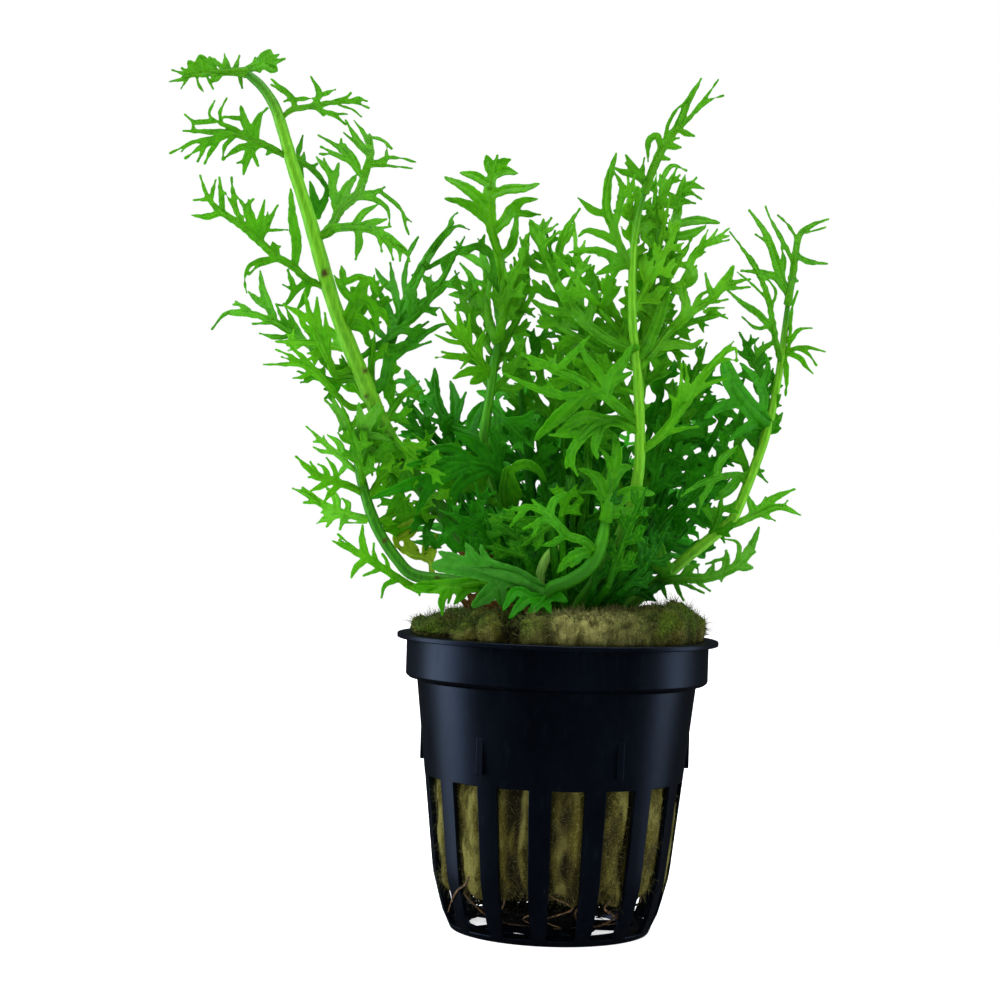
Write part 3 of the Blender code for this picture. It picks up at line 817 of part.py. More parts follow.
def make_leaf(leaf, stem, parts, placed):
    """One leaf on its stem: beside it if there is room, else just in front of it or behind it."""
    depth, radius = stem_station(stem, *leaf.limbs[0][1:3])
    step = radius + LEAF_THICKNESS / 2 + GAP + 0.05
    beside = clear_of_stem(leaf.limbs, stem, radius)
    whole = flat_leaf(leaf.limbs)
    sheets = {-1: whole, 1: whole, -1.3: whole, 1.3: whole, 0: flat_leaf(beside) if beside else None}
    sheets = {side: sheet for side, sheet in sheets.items() if sheet}

    def build(side, bow):
        points, cells = sheets[side]
        return sheet_object(leaf.name, bent_sheet(points, leaf, depth + side * step, bow), cells, parts,
                            TONES[leaf.tone])

    choices = sorted(((side, bow) for bow in BOWS for side in sheets),
                     key=lambda choice: abs(choice[1]) + 1.5 * abs(choice[0]))
    return settle(leaf.name, build, choices, placed)


def back_limbs(length):
    """A leaf drawn by rule, x across its stalk and z along it: forked leaflets, shorter to the tip."""
    limbs = [(2.0, 0, 0, 0, length * 0.5, 0, length)]
    pairs = round(length / 13)
    for k in range(2 * pairs):
        side = 1 if k % 2 else -1
        root = length * (0.3 + 0.56 * k / (2 * pairs))
        reach = 0.36 * (1.25 * length - root)
        fork = (side * reach * 0.5, root + reach * 0.34)
        limbs.append((2.1, side * 0.1, root, *fork, side * reach * 0.85, root + reach * 0.85))
        limbs.append((1.8, *fork, side * reach * 1.1, root + reach * 0.34))
    return limbs


def make_back_leaf(leaf, parts, placed):
    """A leaf that rises from the crown at the back and arches outwards."""
    flat, cells = flat_leaf(back_limbs(leaf.length))

    def build(turn):
        out = Matrix.Rotation(math.radians(leaf.turn + turn), 3, "Z") @ Vector((1.0, 0.0, 0.0))
        side = Vector((-out.y, out.x, 0.0))
        points = []
        for across, along in flat:
            share = along / leaf.length
            lean = math.radians(leaf.tilt * (0.35 + 0.65 * share))
            height = along * math.cos(lean) - 0.012 * across * across
            points.append((Vector(leaf.foot) + out * along * math.sin(lean) + side * across
                           + Vector((0.0, 0.0, height))) * MM)
        return sheet_object(leaf.name, points, cells, parts, TONES["deep"])

    turns = [(step * side,) for step in range(0, 40, 3) for side in (-1, 1)]
    return settle(leaf.name, build, turns, placed)


def main():
    clear_scene()
    parts = new_collection("water_sprite")
    tools = new_collection("cutters")
    make_wool(parts)
    for stem in STEMS:
        make_stem(stem, parts)
    placed = [solid_tree(obj) for obj in parts.objects]
    stems = {stem.name: stem for stem in STEMS}
    for leaf in LEAVES:
        make_leaf(leaf, stems[leaf.stem], parts, placed)
    for leaf in BACK_LEAVES:
        make_back_leaf(leaf, parts, placed)
    make_pot(parts, tools)


main()
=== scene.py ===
"""Water sprite in a small black net pot: the finish of every surface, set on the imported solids.

Shapes are worked out in millimetres and put into meshes in metres, +Z up, front towards -Y. Stems and
leaves are drawn as they are seen from the front, as x and z on the plane through the pot's axis, and each
drawing is then set at its own depth along the line of sight.
"""

import logging
import math
from dataclasses import dataclass, field
from enum import Enum
from typing import Callable, NamedTuple

import bpy
import numpy as np
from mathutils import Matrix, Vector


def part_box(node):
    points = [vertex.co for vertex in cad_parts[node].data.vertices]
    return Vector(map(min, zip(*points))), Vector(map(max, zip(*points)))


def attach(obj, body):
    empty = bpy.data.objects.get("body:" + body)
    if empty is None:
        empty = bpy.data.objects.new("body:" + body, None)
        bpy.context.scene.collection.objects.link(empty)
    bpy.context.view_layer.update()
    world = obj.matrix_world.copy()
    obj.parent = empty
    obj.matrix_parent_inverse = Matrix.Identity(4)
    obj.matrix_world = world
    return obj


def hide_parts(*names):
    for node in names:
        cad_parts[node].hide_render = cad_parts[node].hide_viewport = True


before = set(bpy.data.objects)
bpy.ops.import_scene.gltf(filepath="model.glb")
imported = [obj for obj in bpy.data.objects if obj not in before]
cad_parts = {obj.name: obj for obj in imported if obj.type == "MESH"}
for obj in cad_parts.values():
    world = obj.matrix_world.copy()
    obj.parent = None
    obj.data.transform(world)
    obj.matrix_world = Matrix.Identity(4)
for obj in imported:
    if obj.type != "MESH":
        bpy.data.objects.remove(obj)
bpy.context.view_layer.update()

log = logging.getLogger("water_sprite")
Array = np.ndarray
Colour = tuple[float, float, float]
Limb = tuple[float, ...]
Chance = np.random.Generator
Material = bpy.types.Material
Socket = bpy.types.NodeSocket
Paint = Colour | Socket

MM = 0.001
BODY = "root"

# Where the drawing was taken from: level, this far in front of the pot's axis, in millimetres
VIEW_DISTANCE = 380.0
VIEW_X = -10.6
VIEW_HEIGHT = 73.0
FRAME_WIDTH = 171.5
VIEW_ROLL = math.radians(-1.75)

# How much leaves curve across, how far from a midrib they fold, and how long their waves are
CUP = 0.012
FOLD_REACH = 1.4
WAVE_LENGTH = 9.0
THINNEST_LOBE = 0.32
LEAF_THICKNESS = 0.3


class Tone(Enum):
    """The tones that leaves and stems come in."""

    FRESH = "fresh"
    BRIGHT = "bright"
    DEEP = "deep"
    PALE = "pale"
    BLUE = "blue"
    GLOSSY = "glossy"
    OLD = "old"
    WITHERED = "withered"
    CUT = "cut"


class Stem(NamedTuple):
    """A stem: radii at its foot and tip, and x, depth, z of the points that it passes."""

    name: str
    foot_radius: float
    tip_radius: float
    tone: str
    path: tuple[tuple[float, float, float], ...]


class Leaf(NamedTuple):
    """A leaf: each limb is a width, then x, z of its points from root to tip, the leaf's stalk first."""

    name: str
    stem: str
    tone: str
    limbs: tuple[Limb, ...]


class BackLeaf(NamedTuple):
    """A leaf at the back: its foot, the length of its stalk and its tilt from upright in degrees."""

    name: str
    foot: tuple[float, float, float]
    length: float
    tilt: float


class Frond(NamedTuple):
    """A leaf drawn by rule between foot and tip, x and z. Its number gives its seed."""

    number: int
    carrier: str
    tone: str
    depth: float
    breadth: float
    foot: tuple[float, float]
    tip: tuple[float, float]
    bow: float = 0.0


STEMS = (
    Stem("stem_tall", 1.6, 0.95, "pale", (
        (-7, -1, 55.4), (-12, -1.5, 61), (-20, -3, 70), (-27, -5, 78.5), (-31, -6, 85), (-33.3, -7, 90),
        (-37.4, -8, 99), (-40.4, -9, 106.5), (-42.8, -9, 114), (-45, -9, 121), (-47.8, -9, 129),
        (-49.7, -8, 135), (-51.3, -7, 139.3), (-53.6, -6, 142.6), (-56.2, -5, 144.8))),
    Stem("stem_low_left", 1.05, 0.8, "deep", (
        (-7, -9, 55.2), (-12, -11, 57.9), (-19, -12, 59), (-25, -12, 59.7), (-28, -12, 62.4),
        (-30.8, -11.5, 66.3), (-32.6, -11, 70), (-33.8, -10, 73.5), (-34.9, -9, 77.5), (-35.4, -8, 81))),
    Stem("stem_centre", 1.0, 0.75, "fresh", (
        (-4, 3, 55.1), (-7.5, 3, 65), (-11.5, 2, 75), (-13.6, 1, 82), (-13.4, 0, 86.5),
        (-12.8, 0, 91.5), (-12.4, 0, 96), (-11.7, 0, 100.5))),
    Stem("stem_middle", 1.15, 0.5, "pale", (
        (3.5, -5, 55.1), (7, -7, 61), (10.5, -9, 68), (12.3, -10, 74), (13.1, -10, 80), (13, -10, 86),
        (12.6, -10, 92), (12.1, -10, 97.5), (11.3, -10, 103), (10.9, -10, 110), (10.9, -9.5, 116),
        (11.6, -9, 122), (12.6, -8.5, 126.4))),
    Stem("stem_right", 1.1, 0.55, "pale", (
        (12, 1, 55.5), (15.5, 1, 58.6), (19.2, 0.5, 61.8), (23, 0, 65.2), (26.5, 0, 68.2),
        (29, 0, 70.4), (30.4, 0, 73.2), (31.8, 0.5, 77), (33.2, 1, 81), (34.5, 2, 85), (35.4, 3, 89),
        (36.2, 4, 93.5), (36.8, 4, 98), (37.3, 4, 103), (37.7, 4, 108))),
    Stem("stem_front", 1.15, 0.95, "fresh", (
        (-3.2, -14, 54.9), (-1.4, -15.5, 58), (1.6, -16.5, 59.4), (4.5, -17, 61.4), (6.3, -17, 64),
        (7.2, -16.5, 67), (7.6, -16, 70))),
    Stem("stem_cut", 0.85, 0.75, "cut", (
        (-2.8, -9, 54.6), (-3.4, -9.5, 59), (-2.9, -10, 62), (-1.8, -10.5, 64), (-0.4, -11, 65.3))),
)

LEAVES = (
    Leaf("leaf_tall_tip", "stem_tall", "fresh", (
        (1.2, -56.6, 145, -60, 144.9, -64, 144.6, -67.3, 143.8), (0.9, -58.4, 145, -57.6, 147.8),
        (1.1, -59.4, 145, -60.2, 148.1), (0.7, -60.2, 145.2, -61.9, 147.1),
        (1.6, -61.9, 145, -62.7, 147.4), (2.6, -63.6, 144.8, -64.3, 147.5),
        (1.7, -65, 144.8, -66.3, 146.6), (0.9, -65.8, 144.4, -67.4, 145.4), (0.6, -66.2, 144.1, -69, 145),
        (0.5, -66.6, 143.6, -69.5, 143), (0.4, -66.4, 143.6, -67.4, 141.9),
        (0.5, -64.8, 144, -64.4, 142.6, -62.9, 140.5), (0.5, -63, 144, -61.9, 142),
        (1.5, -61, 144.6, -62.2, 143.2), (0.8, -57.6, 144.7, -56.9, 142.2),
        (1.5, -57, 145.2, -54.5, 146.1, -52, 146.8, -49.8, 147.5), (2.2, -54, 146.3, -52.4, 148.9),
        (1.2, -53, 146.8, -50.9, 148.2), (1.8, -53, 146.4, -51, 145.4), (0.9, -54.6, 146, -54, 145.1),
        (0.9, -54.9, 146.1, -54.9, 147.6))),
    Leaf("leaf_tall_upper_right", "stem_tall", "fresh", (
        (1.0, -49.9, 137.4, -48.4, 138.8, -45, 139.5, -41, 140.3, -36.8, 140.5),
        (1.0, -47.8, 139.1, -48.5, 141, -52, 144), (0.5, -49.4, 141.6, -52, 143),
        (0.6, -48.2, 140.7, -49.7, 140.2), (0.8, -47.9, 140.6, -44.7, 140.9),
        (1.0, -44.6, 139.7, -43.7, 141.7, -45.2, 144.6), (0.8, -43.6, 141.3, -40.9, 142.5),
        (0.6, -41, 140.5, -39, 141.3, -38.3, 142), (1.0, -38.6, 140.5, -37, 141, -35.5, 140.7),
        (0.4, -37.6, 140.5, -35.1, 139.5), (0.7, -44.5, 139.3, -42, 138.5, -38.7, 138.3),
        (0.7, -42.6, 138.7, -40.6, 137.8, -39, 136.5), (0.4, -40.2, 139.8, -38, 139.2, -36.4, 138),
        (0.5, -44, 139.2, -42.8, 138))),
    Leaf("leaf_tall_upper_left", "stem_tall", "fresh", (
        (1.2, -49.3, 131, -52, 132.3, -55, 133.5, -58.5, 134.5, -62.5, 134.6, -66.8, 134.6),
        (1.6, -54.4, 133.2, -54.5, 135.5, -53.6, 138.2), (0.3, -53.9, 137.6, -52.5, 139),
        (1.5, -55, 133.7, -56.3, 136.5, -57.1, 139.2), (0.8, -56.8, 137.1, -59.9, 137.2),
        (1.0, -55.6, 134, -58.5, 135.3, -62, 136.8), (0.6, -60.3, 136, -60.6, 138, -59.5, 140.5),
        (0.4, -61.4, 136.6, -62.5, 137.7, -61.6, 140), (0.9, -61.6, 136.4, -64.8, 136.2, -66.6, 137.4),
        (0.6, -65, 134.7, -65.3, 136.1), (1.0, -58.5, 134.2, -62.5, 133.2, -65.5, 132.6, -67, 131),
        (0.4, -65, 132.8, -69, 130.7), (0.9, -60, 133.6, -63.5, 132, -66.3, 129.9),
        (0.7, -63, 132.2, -64.2, 129.4), (0.8, -60.6, 133.2, -62, 131.3, -63, 129.1),
        (0.8, -58, 133.9, -59.6, 132.2, -59.9, 130), (1.2, -53.6, 132.6, -57, 132, -59.8, 130),
        (1.4, -53.8, 132.6, -55.5, 131, -56.3, 127.5), (0.6, -55.9, 129.8, -57.4, 129.4),
        (0.8, -54.8, 131.3, -53.8, 129), (0.9, -51.4, 132.1, -52.4, 131))),
    Leaf("leaf_tall_right", "stem_tall", "fresh", (
        (1.5, -43.2, 116.6, -40.8, 119.3, -39.4, 122, -36.6, 124.8, -35.5, 128, -34.5, 132, -34.9, 135.1),
        (1.3, -40.1, 121, -40.8, 125, -41.4, 127.8, -42.6, 130.6), (0.9, -41.7, 128.3, -43.9, 130.9),
        (1.3, -41, 125.8, -40, 129.9), (1.8, -39.8, 122.4, -38.6, 125.5, -36.9, 128),
        (1.0, -36.1, 128, -38.5, 131, -40, 132.6, -43.7, 134.6), (0.8, -39.8, 132, -39.7, 134.1),
        (1.1, -36.4, 128.4, -37.4, 130.8, -39.1, 133.1), (0.6, -37.7, 130.2, -40, 131.2, -43.2, 132.6),
        (0.7, -37, 129.8, -40.5, 131.3, -43.4, 131.4), (1.0, -35, 131.8, -36.9, 134, -39.1, 137.3),
        (0.8, -34.7, 132.6, -35.9, 135.2, -37.6, 137.3), (0.5, -35, 131.2, -37, 133.2, -39.3, 135.2),
        (0.5, -34.8, 134.6, -32.5, 134, -31, 132.6), (0.9, -34.9, 130, -32.2, 130.6, -31.8, 133.3),
        (0.6, -34.6, 129.9, -31.8, 131, -29.5, 131.1, -26.8, 130.5),
        (0.5, -34.9, 129.6, -31.5, 129.7, -27.3, 129.4), (1.3, -37, 124.3, -34, 124.9, -32, 126),
        (0.7, -33, 125.4, -30.1, 123.3, -28.2, 121, -27.2, 120.2),
        (0.5, -28.7, 121.5, -28.2, 119.5, -27.6, 118),
        (0.9, -36.8, 124.2, -33.5, 123.8, -31.3, 122, -31, 119.3))),
    Leaf("leaf_tall_crossing", "stem_tall", "deep", (
        (1.0, -47.4, 130.2, -44.7, 128.9, -42.4, 126.4, -40.9, 123.6), (0.9, -47.2, 130.5, -46.3, 134.5),
        (0.8, -46.2, 129.9, -46, 131.6), (0.7, -46.6, 129.4, -46, 127.2),
        (0.7, -44.8, 128.9, -43.6, 129.7), (1.5, -43.3, 120.6, -43.9, 123, -44.8, 126.6),
        (1.3, -43.4, 120.8, -42.2, 123.6, -41.9, 125.7))),
    Leaf("leaf_tall_right_low", "stem_tall", "fresh", (
        (1.5, -42.2, 117.4, -40, 118.8, -37, 119, -34, 118.7, -30.5, 117, -27.6, 114.4),
        (1.2, -37.2, 119.2, -35.5, 121.5, -33, 123.1), (1.3, -35.8, 119.3, -31.5, 120.6),
        (1.3, -36.6, 118.8, -36.1, 116.5, -36.6, 113.5), (0.9, -34.4, 118.7, -32.8, 117.5, -32.2, 115),
        (0.9, -32.7, 118.2, -31, 116, -30.2, 113.6), (1.0, -30.8, 117.1, -29.2, 115.5, -29, 113.4),
        (0.6, -33.8, 118.8, -30.7, 119.3), (0.4, -29.8, 116.4, -28, 115.3, -27.4, 113.4))),
    Leaf("leaf_tall_left", "stem_tall", "fresh", (
        (1.3, -41.9, 108.6, -45, 110, -47.6, 112.2, -50, 113.4, -53, 115.9, -56.5, 118.8, -60, 121, -62.2,
         123.3, -63.7, 127.1),
        (1.1, -60, 120.7, -62.5, 120, -64.9, 120.2), (0.6, -61.9, 123, -64.7, 122.8),
        (0.7, -61.8, 122.9, -61, 126.4), (1.0, -59.6, 120.9, -60, 124, -60.4, 126.9),
        (0.9, -55.6, 118.4, -57.5, 121.5, -59.3, 124.2), (0.8, -57.3, 121.5, -58, 124.6, -58.3, 126.9),
        (0.8, -55, 118.4, -56, 122, -58, 124.4), (0.5, -55.8, 122, -54.4, 123.3),
        (1.1, -53.5, 116.6, -54.5, 120, -55.3, 123.2), (1.1, -53.3, 117, -53.1, 119.8, -52.5, 123.2),
        (1.1, -52.8, 116.6, -51.6, 119.8, -50.2, 122.4), (0.7, -52.1, 118.2, -51.9, 121.1),
        (0.5, -52, 118, -48.5, 118.2), (1.6, -50.2, 113.5, -50.9, 116), (0.5, -50.8, 115.2, -49.6, 115.3),
        (0.8, -49.8, 113.2, -52.5, 113, -54.7, 111.8, -55.5, 109.5, -55.1, 107.2),
        (0.6, -50.2, 112.9, -53, 112, -54.8, 110.4),
        (1.7, -47, 111.9, -46.8, 116, -47.6, 120, -48.1, 125.2),
        (1.1, -43.4, 109.4, -45.2, 109, -46.9, 107.6, -48.4, 105.3, -49.8, 105.3),
        (1.0, -46.8, 107.8, -47.5, 109.6, -48.2, 111.3), (0.5, -46.8, 107.8, -49, 108.8),
        (1.1, -44.5, 108.6, -45.3, 106.4, -46.5, 104.2))),
    Leaf("leaf_tall_left_low", "stem_tall", "fresh", (
        (1.2, -35.5, 93.6, -39.8, 94.3, -43, 97.5, -47, 100.5, -50.5, 102.4, -54.5, 103.7, -58.5, 103.6,
         -60.9, 100.8),
        (1.5, -50, 102.4, -51.4, 105.3, -52.4, 108, -52.9, 111),
        (1.2, -51.5, 105, -53, 105.8, -54.8, 107.4), (0.6, -54.2, 103.7, -56, 104.9, -57.4, 105.1),
        (0.5, -54.5, 104.4, -56.9, 105.6), (0.4, -53.5, 103.2, -57.8, 103.4),
        (0.5, -51, 102.2, -54, 101.9), (0.9, -47.8, 99.9, -50, 99.8, -52.7, 100.3),
        (1.0, -46.5, 100.3, -48.8, 103, -50, 105.4), (1.0, -45, 99.3, -47, 102.3, -48.7, 105.6))),
    Leaf("leaf_tall_left_base", "stem_tall", "bright", (
        (1.1, -33.3, 89, -36.2, 88, -38.6, 89.6, -41.5, 92.5, -45, 95, -48.5, 95.1, -51.8, 95),
        (0.6, -45, 95.2, -47, 96.5, -49.8, 97.6), (0.4, -45.6, 95.5, -48.8, 96.4),
        (0.8, -43.6, 94, -45.3, 93, -46.7, 92.8), (1.0, -41.8, 92.9, -44.9, 96.2, -48.3, 99))),
    Leaf("leaf_tall_inner", "stem_tall", "bright", (
        (1.3, -36.2, 95, -39.3, 93.6, -40.6, 96, -42.8, 100.5, -44.2, 104, -45.2, 107.6),
        (1.4, -41.9, 98.8, -42.8, 103, -43, 106.8), (1.1, -43.8, 102.4, -46, 104, -48.9, 105.4),
        (1.2, -40.8, 96.6, -41, 100.3, -41.6, 104.2), (1.0, -42.8, 100.4, -45, 101.8, -46.6, 104.6))),
    Leaf("leaf_tall_frond", "stem_tall", "deep", (
        (1.7, -33.2, 90.2, -31.3, 92.4, -30.6, 96, -30, 100, -28.7, 104, -27.2, 108, -25.4, 112, -23,
         116.3, -20, 120.3),
        (1.2, -28.6, 103, -25.5, 106, -22, 108.5, -18.8, 111.8), (0.9, -29.4, 102, -27, 104.9, -23, 104.8),
        (1.2, -30.2, 99.4, -34, 102.5, -38.4, 104.5), (1.3, -29.5, 101.8, -31, 105.5, -33.4, 109.6),
        (1.3, -28.7, 104.2, -29.8, 108.5, -30.7, 113.1), (1.2, -29.7, 108, -32, 110.2, -33.2, 112.1),
        (0.9, -27.8, 106.6, -28.2, 110.5, -27.4, 115.2), (0.8, -27.6, 114.8, -26, 117.7),
        (1.3, -30.5, 95.8, -27.5, 98.6, -24, 101.4, -21.5, 102.7, -19.6, 103),
        (0.6, -27, 98.4, -23.3, 99.8), (0.5, -28.6, 97.6, -26.8, 100.8, -23.8, 103.2),
        (0.8, -22.7, 116.6, -19.6, 119.7, -17.3, 119.2), (0.6, -20.9, 118.5, -20.3, 121.2, -19.4, 122))),
    Leaf("leaf_tall_wide", "stem_tall", "glossy", (
        (2.4, -38.3, 101.5, -36.6, 105.4, -35.5, 108, -34.8, 110.4),
        (1.4, -36.3, 105.8, -38.6, 108.2, -40.2, 110.6), (1.2, -38.8, 109.2, -36, 110.5, -33.4, 109.9),
        (1.6, -35.8, 107, -33.8, 106, -32.3, 101.6), (1.3, -33.6, 105, -31.8, 104.6, -30.4, 102),
        (1.2, -38.6, 109.8, -39, 112.3), (1.4, -37.2, 103.8, -35.2, 103.2, -33, 101.2),
        (1.2, -35.2, 109, -34, 110, -32.6, 107.6))),
    Leaf("leaf_low_left_top", "stem_low_left", "pale", (
        (2.2, -35.3, 80.4, -34.8, 83, -33.6, 85.6, -31.7, 88.6), (1.5, -34.6, 83.6, -35, 86, -35.3, 88.9),
        (1.7, -35, 82, -37, 84.4, -38.6, 87, -39.9, 89.6), (0.8, -38.4, 86.8, -41.1, 89.2),
        (1.2, -34.8, 82.4, -32.4, 83.4, -29.6, 82.6), (1.0, -35, 81.4, -33, 81, -30.4, 79.4),
        (0.7, -37.9, 85.4, -38.8, 83.3))),
    Leaf("leaf_low_left_high", "stem_low_left", "bright", (
        (1.0, -34.9, 76.8, -37.6, 79, -39.8, 80.8, -41.8, 82.5, -44.2, 84.6),
        (0.6, -41, 81.8, -41.2, 83.2), (0.6, -41.6, 82.2, -42.9, 82),
        (0.8, -39.4, 80.4, -41.2, 80.4, -42.9, 81.1), (1.2, -37.4, 79.2, -38.7, 82, -40.6, 83.3),
        (0.9, -37, 78.4, -38, 77, -38.6, 76))),
    Leaf("leaf_low_left_upper", "stem_low_left", "bright", (
        (1.3, -33.7, 73.2, -37, 74.8, -40, 75.6, -42.6, 76.6, -45.8, 79.4), (0.7, -42, 76.5, -43.3, 78.6),
        (0.9, -40, 75.8, -40.9, 77.6, -42, 78.2), (0.9, -38.5, 75.4, -39.2, 77.6, -40.6, 79.4),
        (0.8, -41.2, 75.9, -43.5, 75.9), (1.1, -39.6, 75.3, -41.5, 74.4, -43.3, 73.4),
        (1.1, -38, 74.9, -39.8, 73.2, -40.9, 71.4))),
    Leaf("leaf_low_left_lower", "stem_low_left", "bright", (
        (1.3, -32.3, 69, -36.5, 69.7, -39, 70.5, -41.5, 71.6, -44, 73, -46.2, 73.9),
        (0.5, -41.8, 72, -43, 73.1, -44.5, 74.1), (0.8, -41.6, 71.8, -44.2, 71.5),
        (1.0, -36.8, 70, -36.6, 71.5, -37.7, 72.5), (1.3, -38.4, 70.6, -38.8, 72.6, -40.5, 74.3),
        (1.1, -39.5, 70.3, -41.2, 69.9), (1.3, -37.6, 69.8, -39.8, 69.2, -41.9, 68),
        (1.0, -36.4, 69.5, -37.4, 68.6, -37.9, 67.1), (0.8, -38.8, 69.6, -40.2, 67.5),
        (0.4, -33.4, 68.4, -36.9, 68.3))),
    Leaf("leaf_crown_left", "stem_low_left", "bright", (
        (1.3, -24, 57.2, -27.3, 58.9, -30, 60.5, -32.5, 62, -35.5, 63.5, -39.1, 65.1),
        (0.5, -34, 62.9, -36, 64.5, -38.2, 66.3), (0.3, -35, 63.5, -37.9, 65.3),
        (1.2, -33.2, 62.2, -34.8, 60.8, -35.7, 58.9), (0.7, -30.5, 60.6, -32.5, 59.8, -33.6, 59.3),
        (0.9, -27.4, 58.8, -29.8, 57.8, -30.4, 55.6), (1.2, -33, 62.4, -34, 65, -34, 68),
        (0.7, -31.3, 61.4, -32, 63.5, -32, 65), (0.7, -29.4, 60.3, -29.7, 62, -30.5, 63.2),
        (0.8, -25.6, 58, -24.3, 57.6, -23.9, 56.2))),
    Leaf("leaf_old_yellow", "stem_low_left", "old", (
        (1.0, -20.4, 58.6, -21.8, 60, -22.4, 62.3, -25.5, 63.2, -28, 64.8, -28.6, 67.5, -29.9, 70.7),
        (1.3, -23, 62.6, -23.3, 66), (1.2, -22.2, 62, -21.3, 66.8), (2.2, -24.8, 63.2, -26.6, 65.6),
        (1.5, -28.2, 65.8, -25.6, 67, -24.6, 69.2), (1.6, -28.6, 68, -26, 69.2, -25.4, 71))),
    Leaf("leaf_crown_low", "stem_low_left", "fresh", (
        (2.7, -8, 56.4, -10.4, 57.8, -14, 58.4, -19, 57.9, -25, 57.7), (1.6, -15.6, 58, -17.8, 55),
        (1.3, -19.3, 57.2, -20, 55.6, -19.9, 53), (0.9, -21, 57.6, -24.4, 56.8),
        (0.6, -18.4, 57, -18.9, 55))),
    Leaf("leaf_crown_pale", "stem_front", "blue", (
        (3.8, -2.2, 56.9, -4.6, 58, -7.5, 59.6, -12, 60.8, -17, 61.5, -21.9, 61.4),
        (2.0, -13.4, 61.4, -15, 63.2, -16.2, 65.4), (3.0, -9.4, 59.6, -11.4, 57.4, -14.8, 54.6),
        (2.2, -10.6, 58.6, -9.9, 56.8, -9.7, 54.8), (1.8, -16, 61.8, -18.4, 62.8, -20.9, 63.8),
        (1.5, -11.6, 61, -12.8, 63, -13.6, 65.1))),
    Leaf("leaf_dark_broad", "stem_centre", "deep", (
        (2.1, -10.4, 73, -10.6, 76, -12.2, 78.6, -16, 79.2, -21, 79.2, -26.6, 78.5),
        (2.0, -13, 78, -16.4, 76.4, -18.4, 74, -19.5, 70.3),
        (2.0, -16.6, 78.4, -21, 76.2, -23.4, 73.6, -24.8, 70.2),
        (2.1, -18, 78.8, -22, 76.6, -27, 74.9, -32.5, 72.6), (2.2, -12, 78, -14.2, 81.6, -18.8, 84.4),
        (1.5, -15.4, 79.6, -19.4, 81.6, -25, 80.9), (1.8, -11.2, 77.4, -11.2, 81.2, -13, 85.2))),
    Leaf("leaf_blunt_lobes", "stem_centre", "deep", (
        (1.8, -13.6, 83, -16.6, 84.4, -19.3, 85.4, -21.2, 88, -22.2, 91, -22.5, 95.2),
        (0.9, -22.2, 90.8, -24.1, 93.4), (1.1, -22, 91.2, -24.4, 89.8),
        (1.8, -18.9, 85.8, -18.8, 89.5, -19.7, 93.1), (1.1, -18.6, 86.4, -17.9, 89, -17, 91.3),
        (1.0, -19.8, 86, -24, 89.7, -28, 90.6, -31, 90), (2.1, -24.6, 89.9, -26, 92, -27.5, 94.8),
        (0.9, -26, 92.3, -28.5, 92.9, -31, 91.3), (0.8, -19.3, 85, -24, 86.8, -29, 85.8),
        (2.3, -16, 84.4, -15.4, 87.2, -13.9, 89.8))),
    Leaf("leaf_centre_tall", "stem_centre", "glossy", (
        (1.5, -11.5, 101.5, -11, 106, -11.2, 110, -12, 114.6, -13.3, 119, -14, 124, -13.8, 128, -12.8,
         132),
        (2.0, -13.6, 129, -14.7, 131.9), (1.4, -12.9, 130.6, -10.6, 131.4),
        (2.3, -13.4, 119, -14, 123, -13.9, 127, -13, 131.4),
        (1.6, -13.6, 128.6, -11.5, 129.5, -9.3, 129.1), (1.6, -14.2, 127, -16.5, 128.4, -19.1, 128.9),
        (1.9, -14, 122.6, -16.5, 125.2, -19, 126.8, -21.7, 128),
        (1.8, -13.9, 120.4, -16.5, 122.8, -19, 123.9, -21.6, 124.4),
        (1.7, -13.7, 125.2, -11, 126.3, -8, 126.6, -5.6, 127.4),
        (1.9, -13.2, 119, -11.4, 120.8, -9.8, 123.2, -8, 124.5, -5.8, 124.8),
        (1.2, -9.6, 122.4, -8, 122.2, -5.2, 122.1),
        (1.6, -11.8, 114.4, -10, 116.6, -9.4, 119.4, -9.3, 122),
        (1.7, -11, 103.2, -9.4, 106.5, -9.3, 110, -10, 113.4),
        (1.5, -10.2, 104.4, -7.6, 108.5, -7.2, 112, -7.6, 115))),
    Leaf("leaf_centre_left", "stem_centre", "bright", (
        (1.3, -12.6, 94.6, -15.6, 97.6, -18, 100.5, -20, 103, -21.7, 105.5),
        (1.1, -17.4, 99.8, -18.3, 103, -19.1, 105.9), (0.9, -16.3, 98.4, -16.8, 102, -16.8, 104.8),
        (0.8, -17.4, 99.6, -20, 100, -22.6, 101), (1.0, -15.8, 97.4, -19, 97.3, -22.3, 97.1),
        (0.6, -16.4, 97.4, -18, 95.4), (0.4, -17.4, 97.5, -21.3, 98.1),
        (1.6, -13.4, 95, -16.5, 94.9, -19.2, 93.6), (1.8, -13.4, 94.8, -16.3, 92.7),
        (1.2, -14.6, 96.6, -14.9, 99.5, -14, 102.2))),
    Leaf("leaf_centre_upper_left", "stem_centre", "fresh", (
        (1.6, -11.8, 100, -13.4, 103.4, -14.1, 107.5, -13.9, 111.5, -15.4, 116.6),
        (1.4, -13.9, 105.6, -16, 109, -17, 111.5, -18.7, 113.4), (1.8, -14, 105.4, -17, 108, -20.4, 107.9),
        (1.5, -13.4, 103.8, -16, 106.1, -19.3, 105.3), (1.0, -14, 109.6, -16.7, 110.8),
        (1.1, -16.2, 109, -19, 110.6), (1.2, -14.2, 112.6, -17, 114.6, -19.9, 115.2))),
    Leaf("leaf_top_comb", "stem_middle", "fresh", (
        (1.8, 10.4, 99.5, 6, 101.6, 1.6, 105.4, -1.4, 109.4, -3.6, 113.6, -5, 118, -4.6, 121.4),
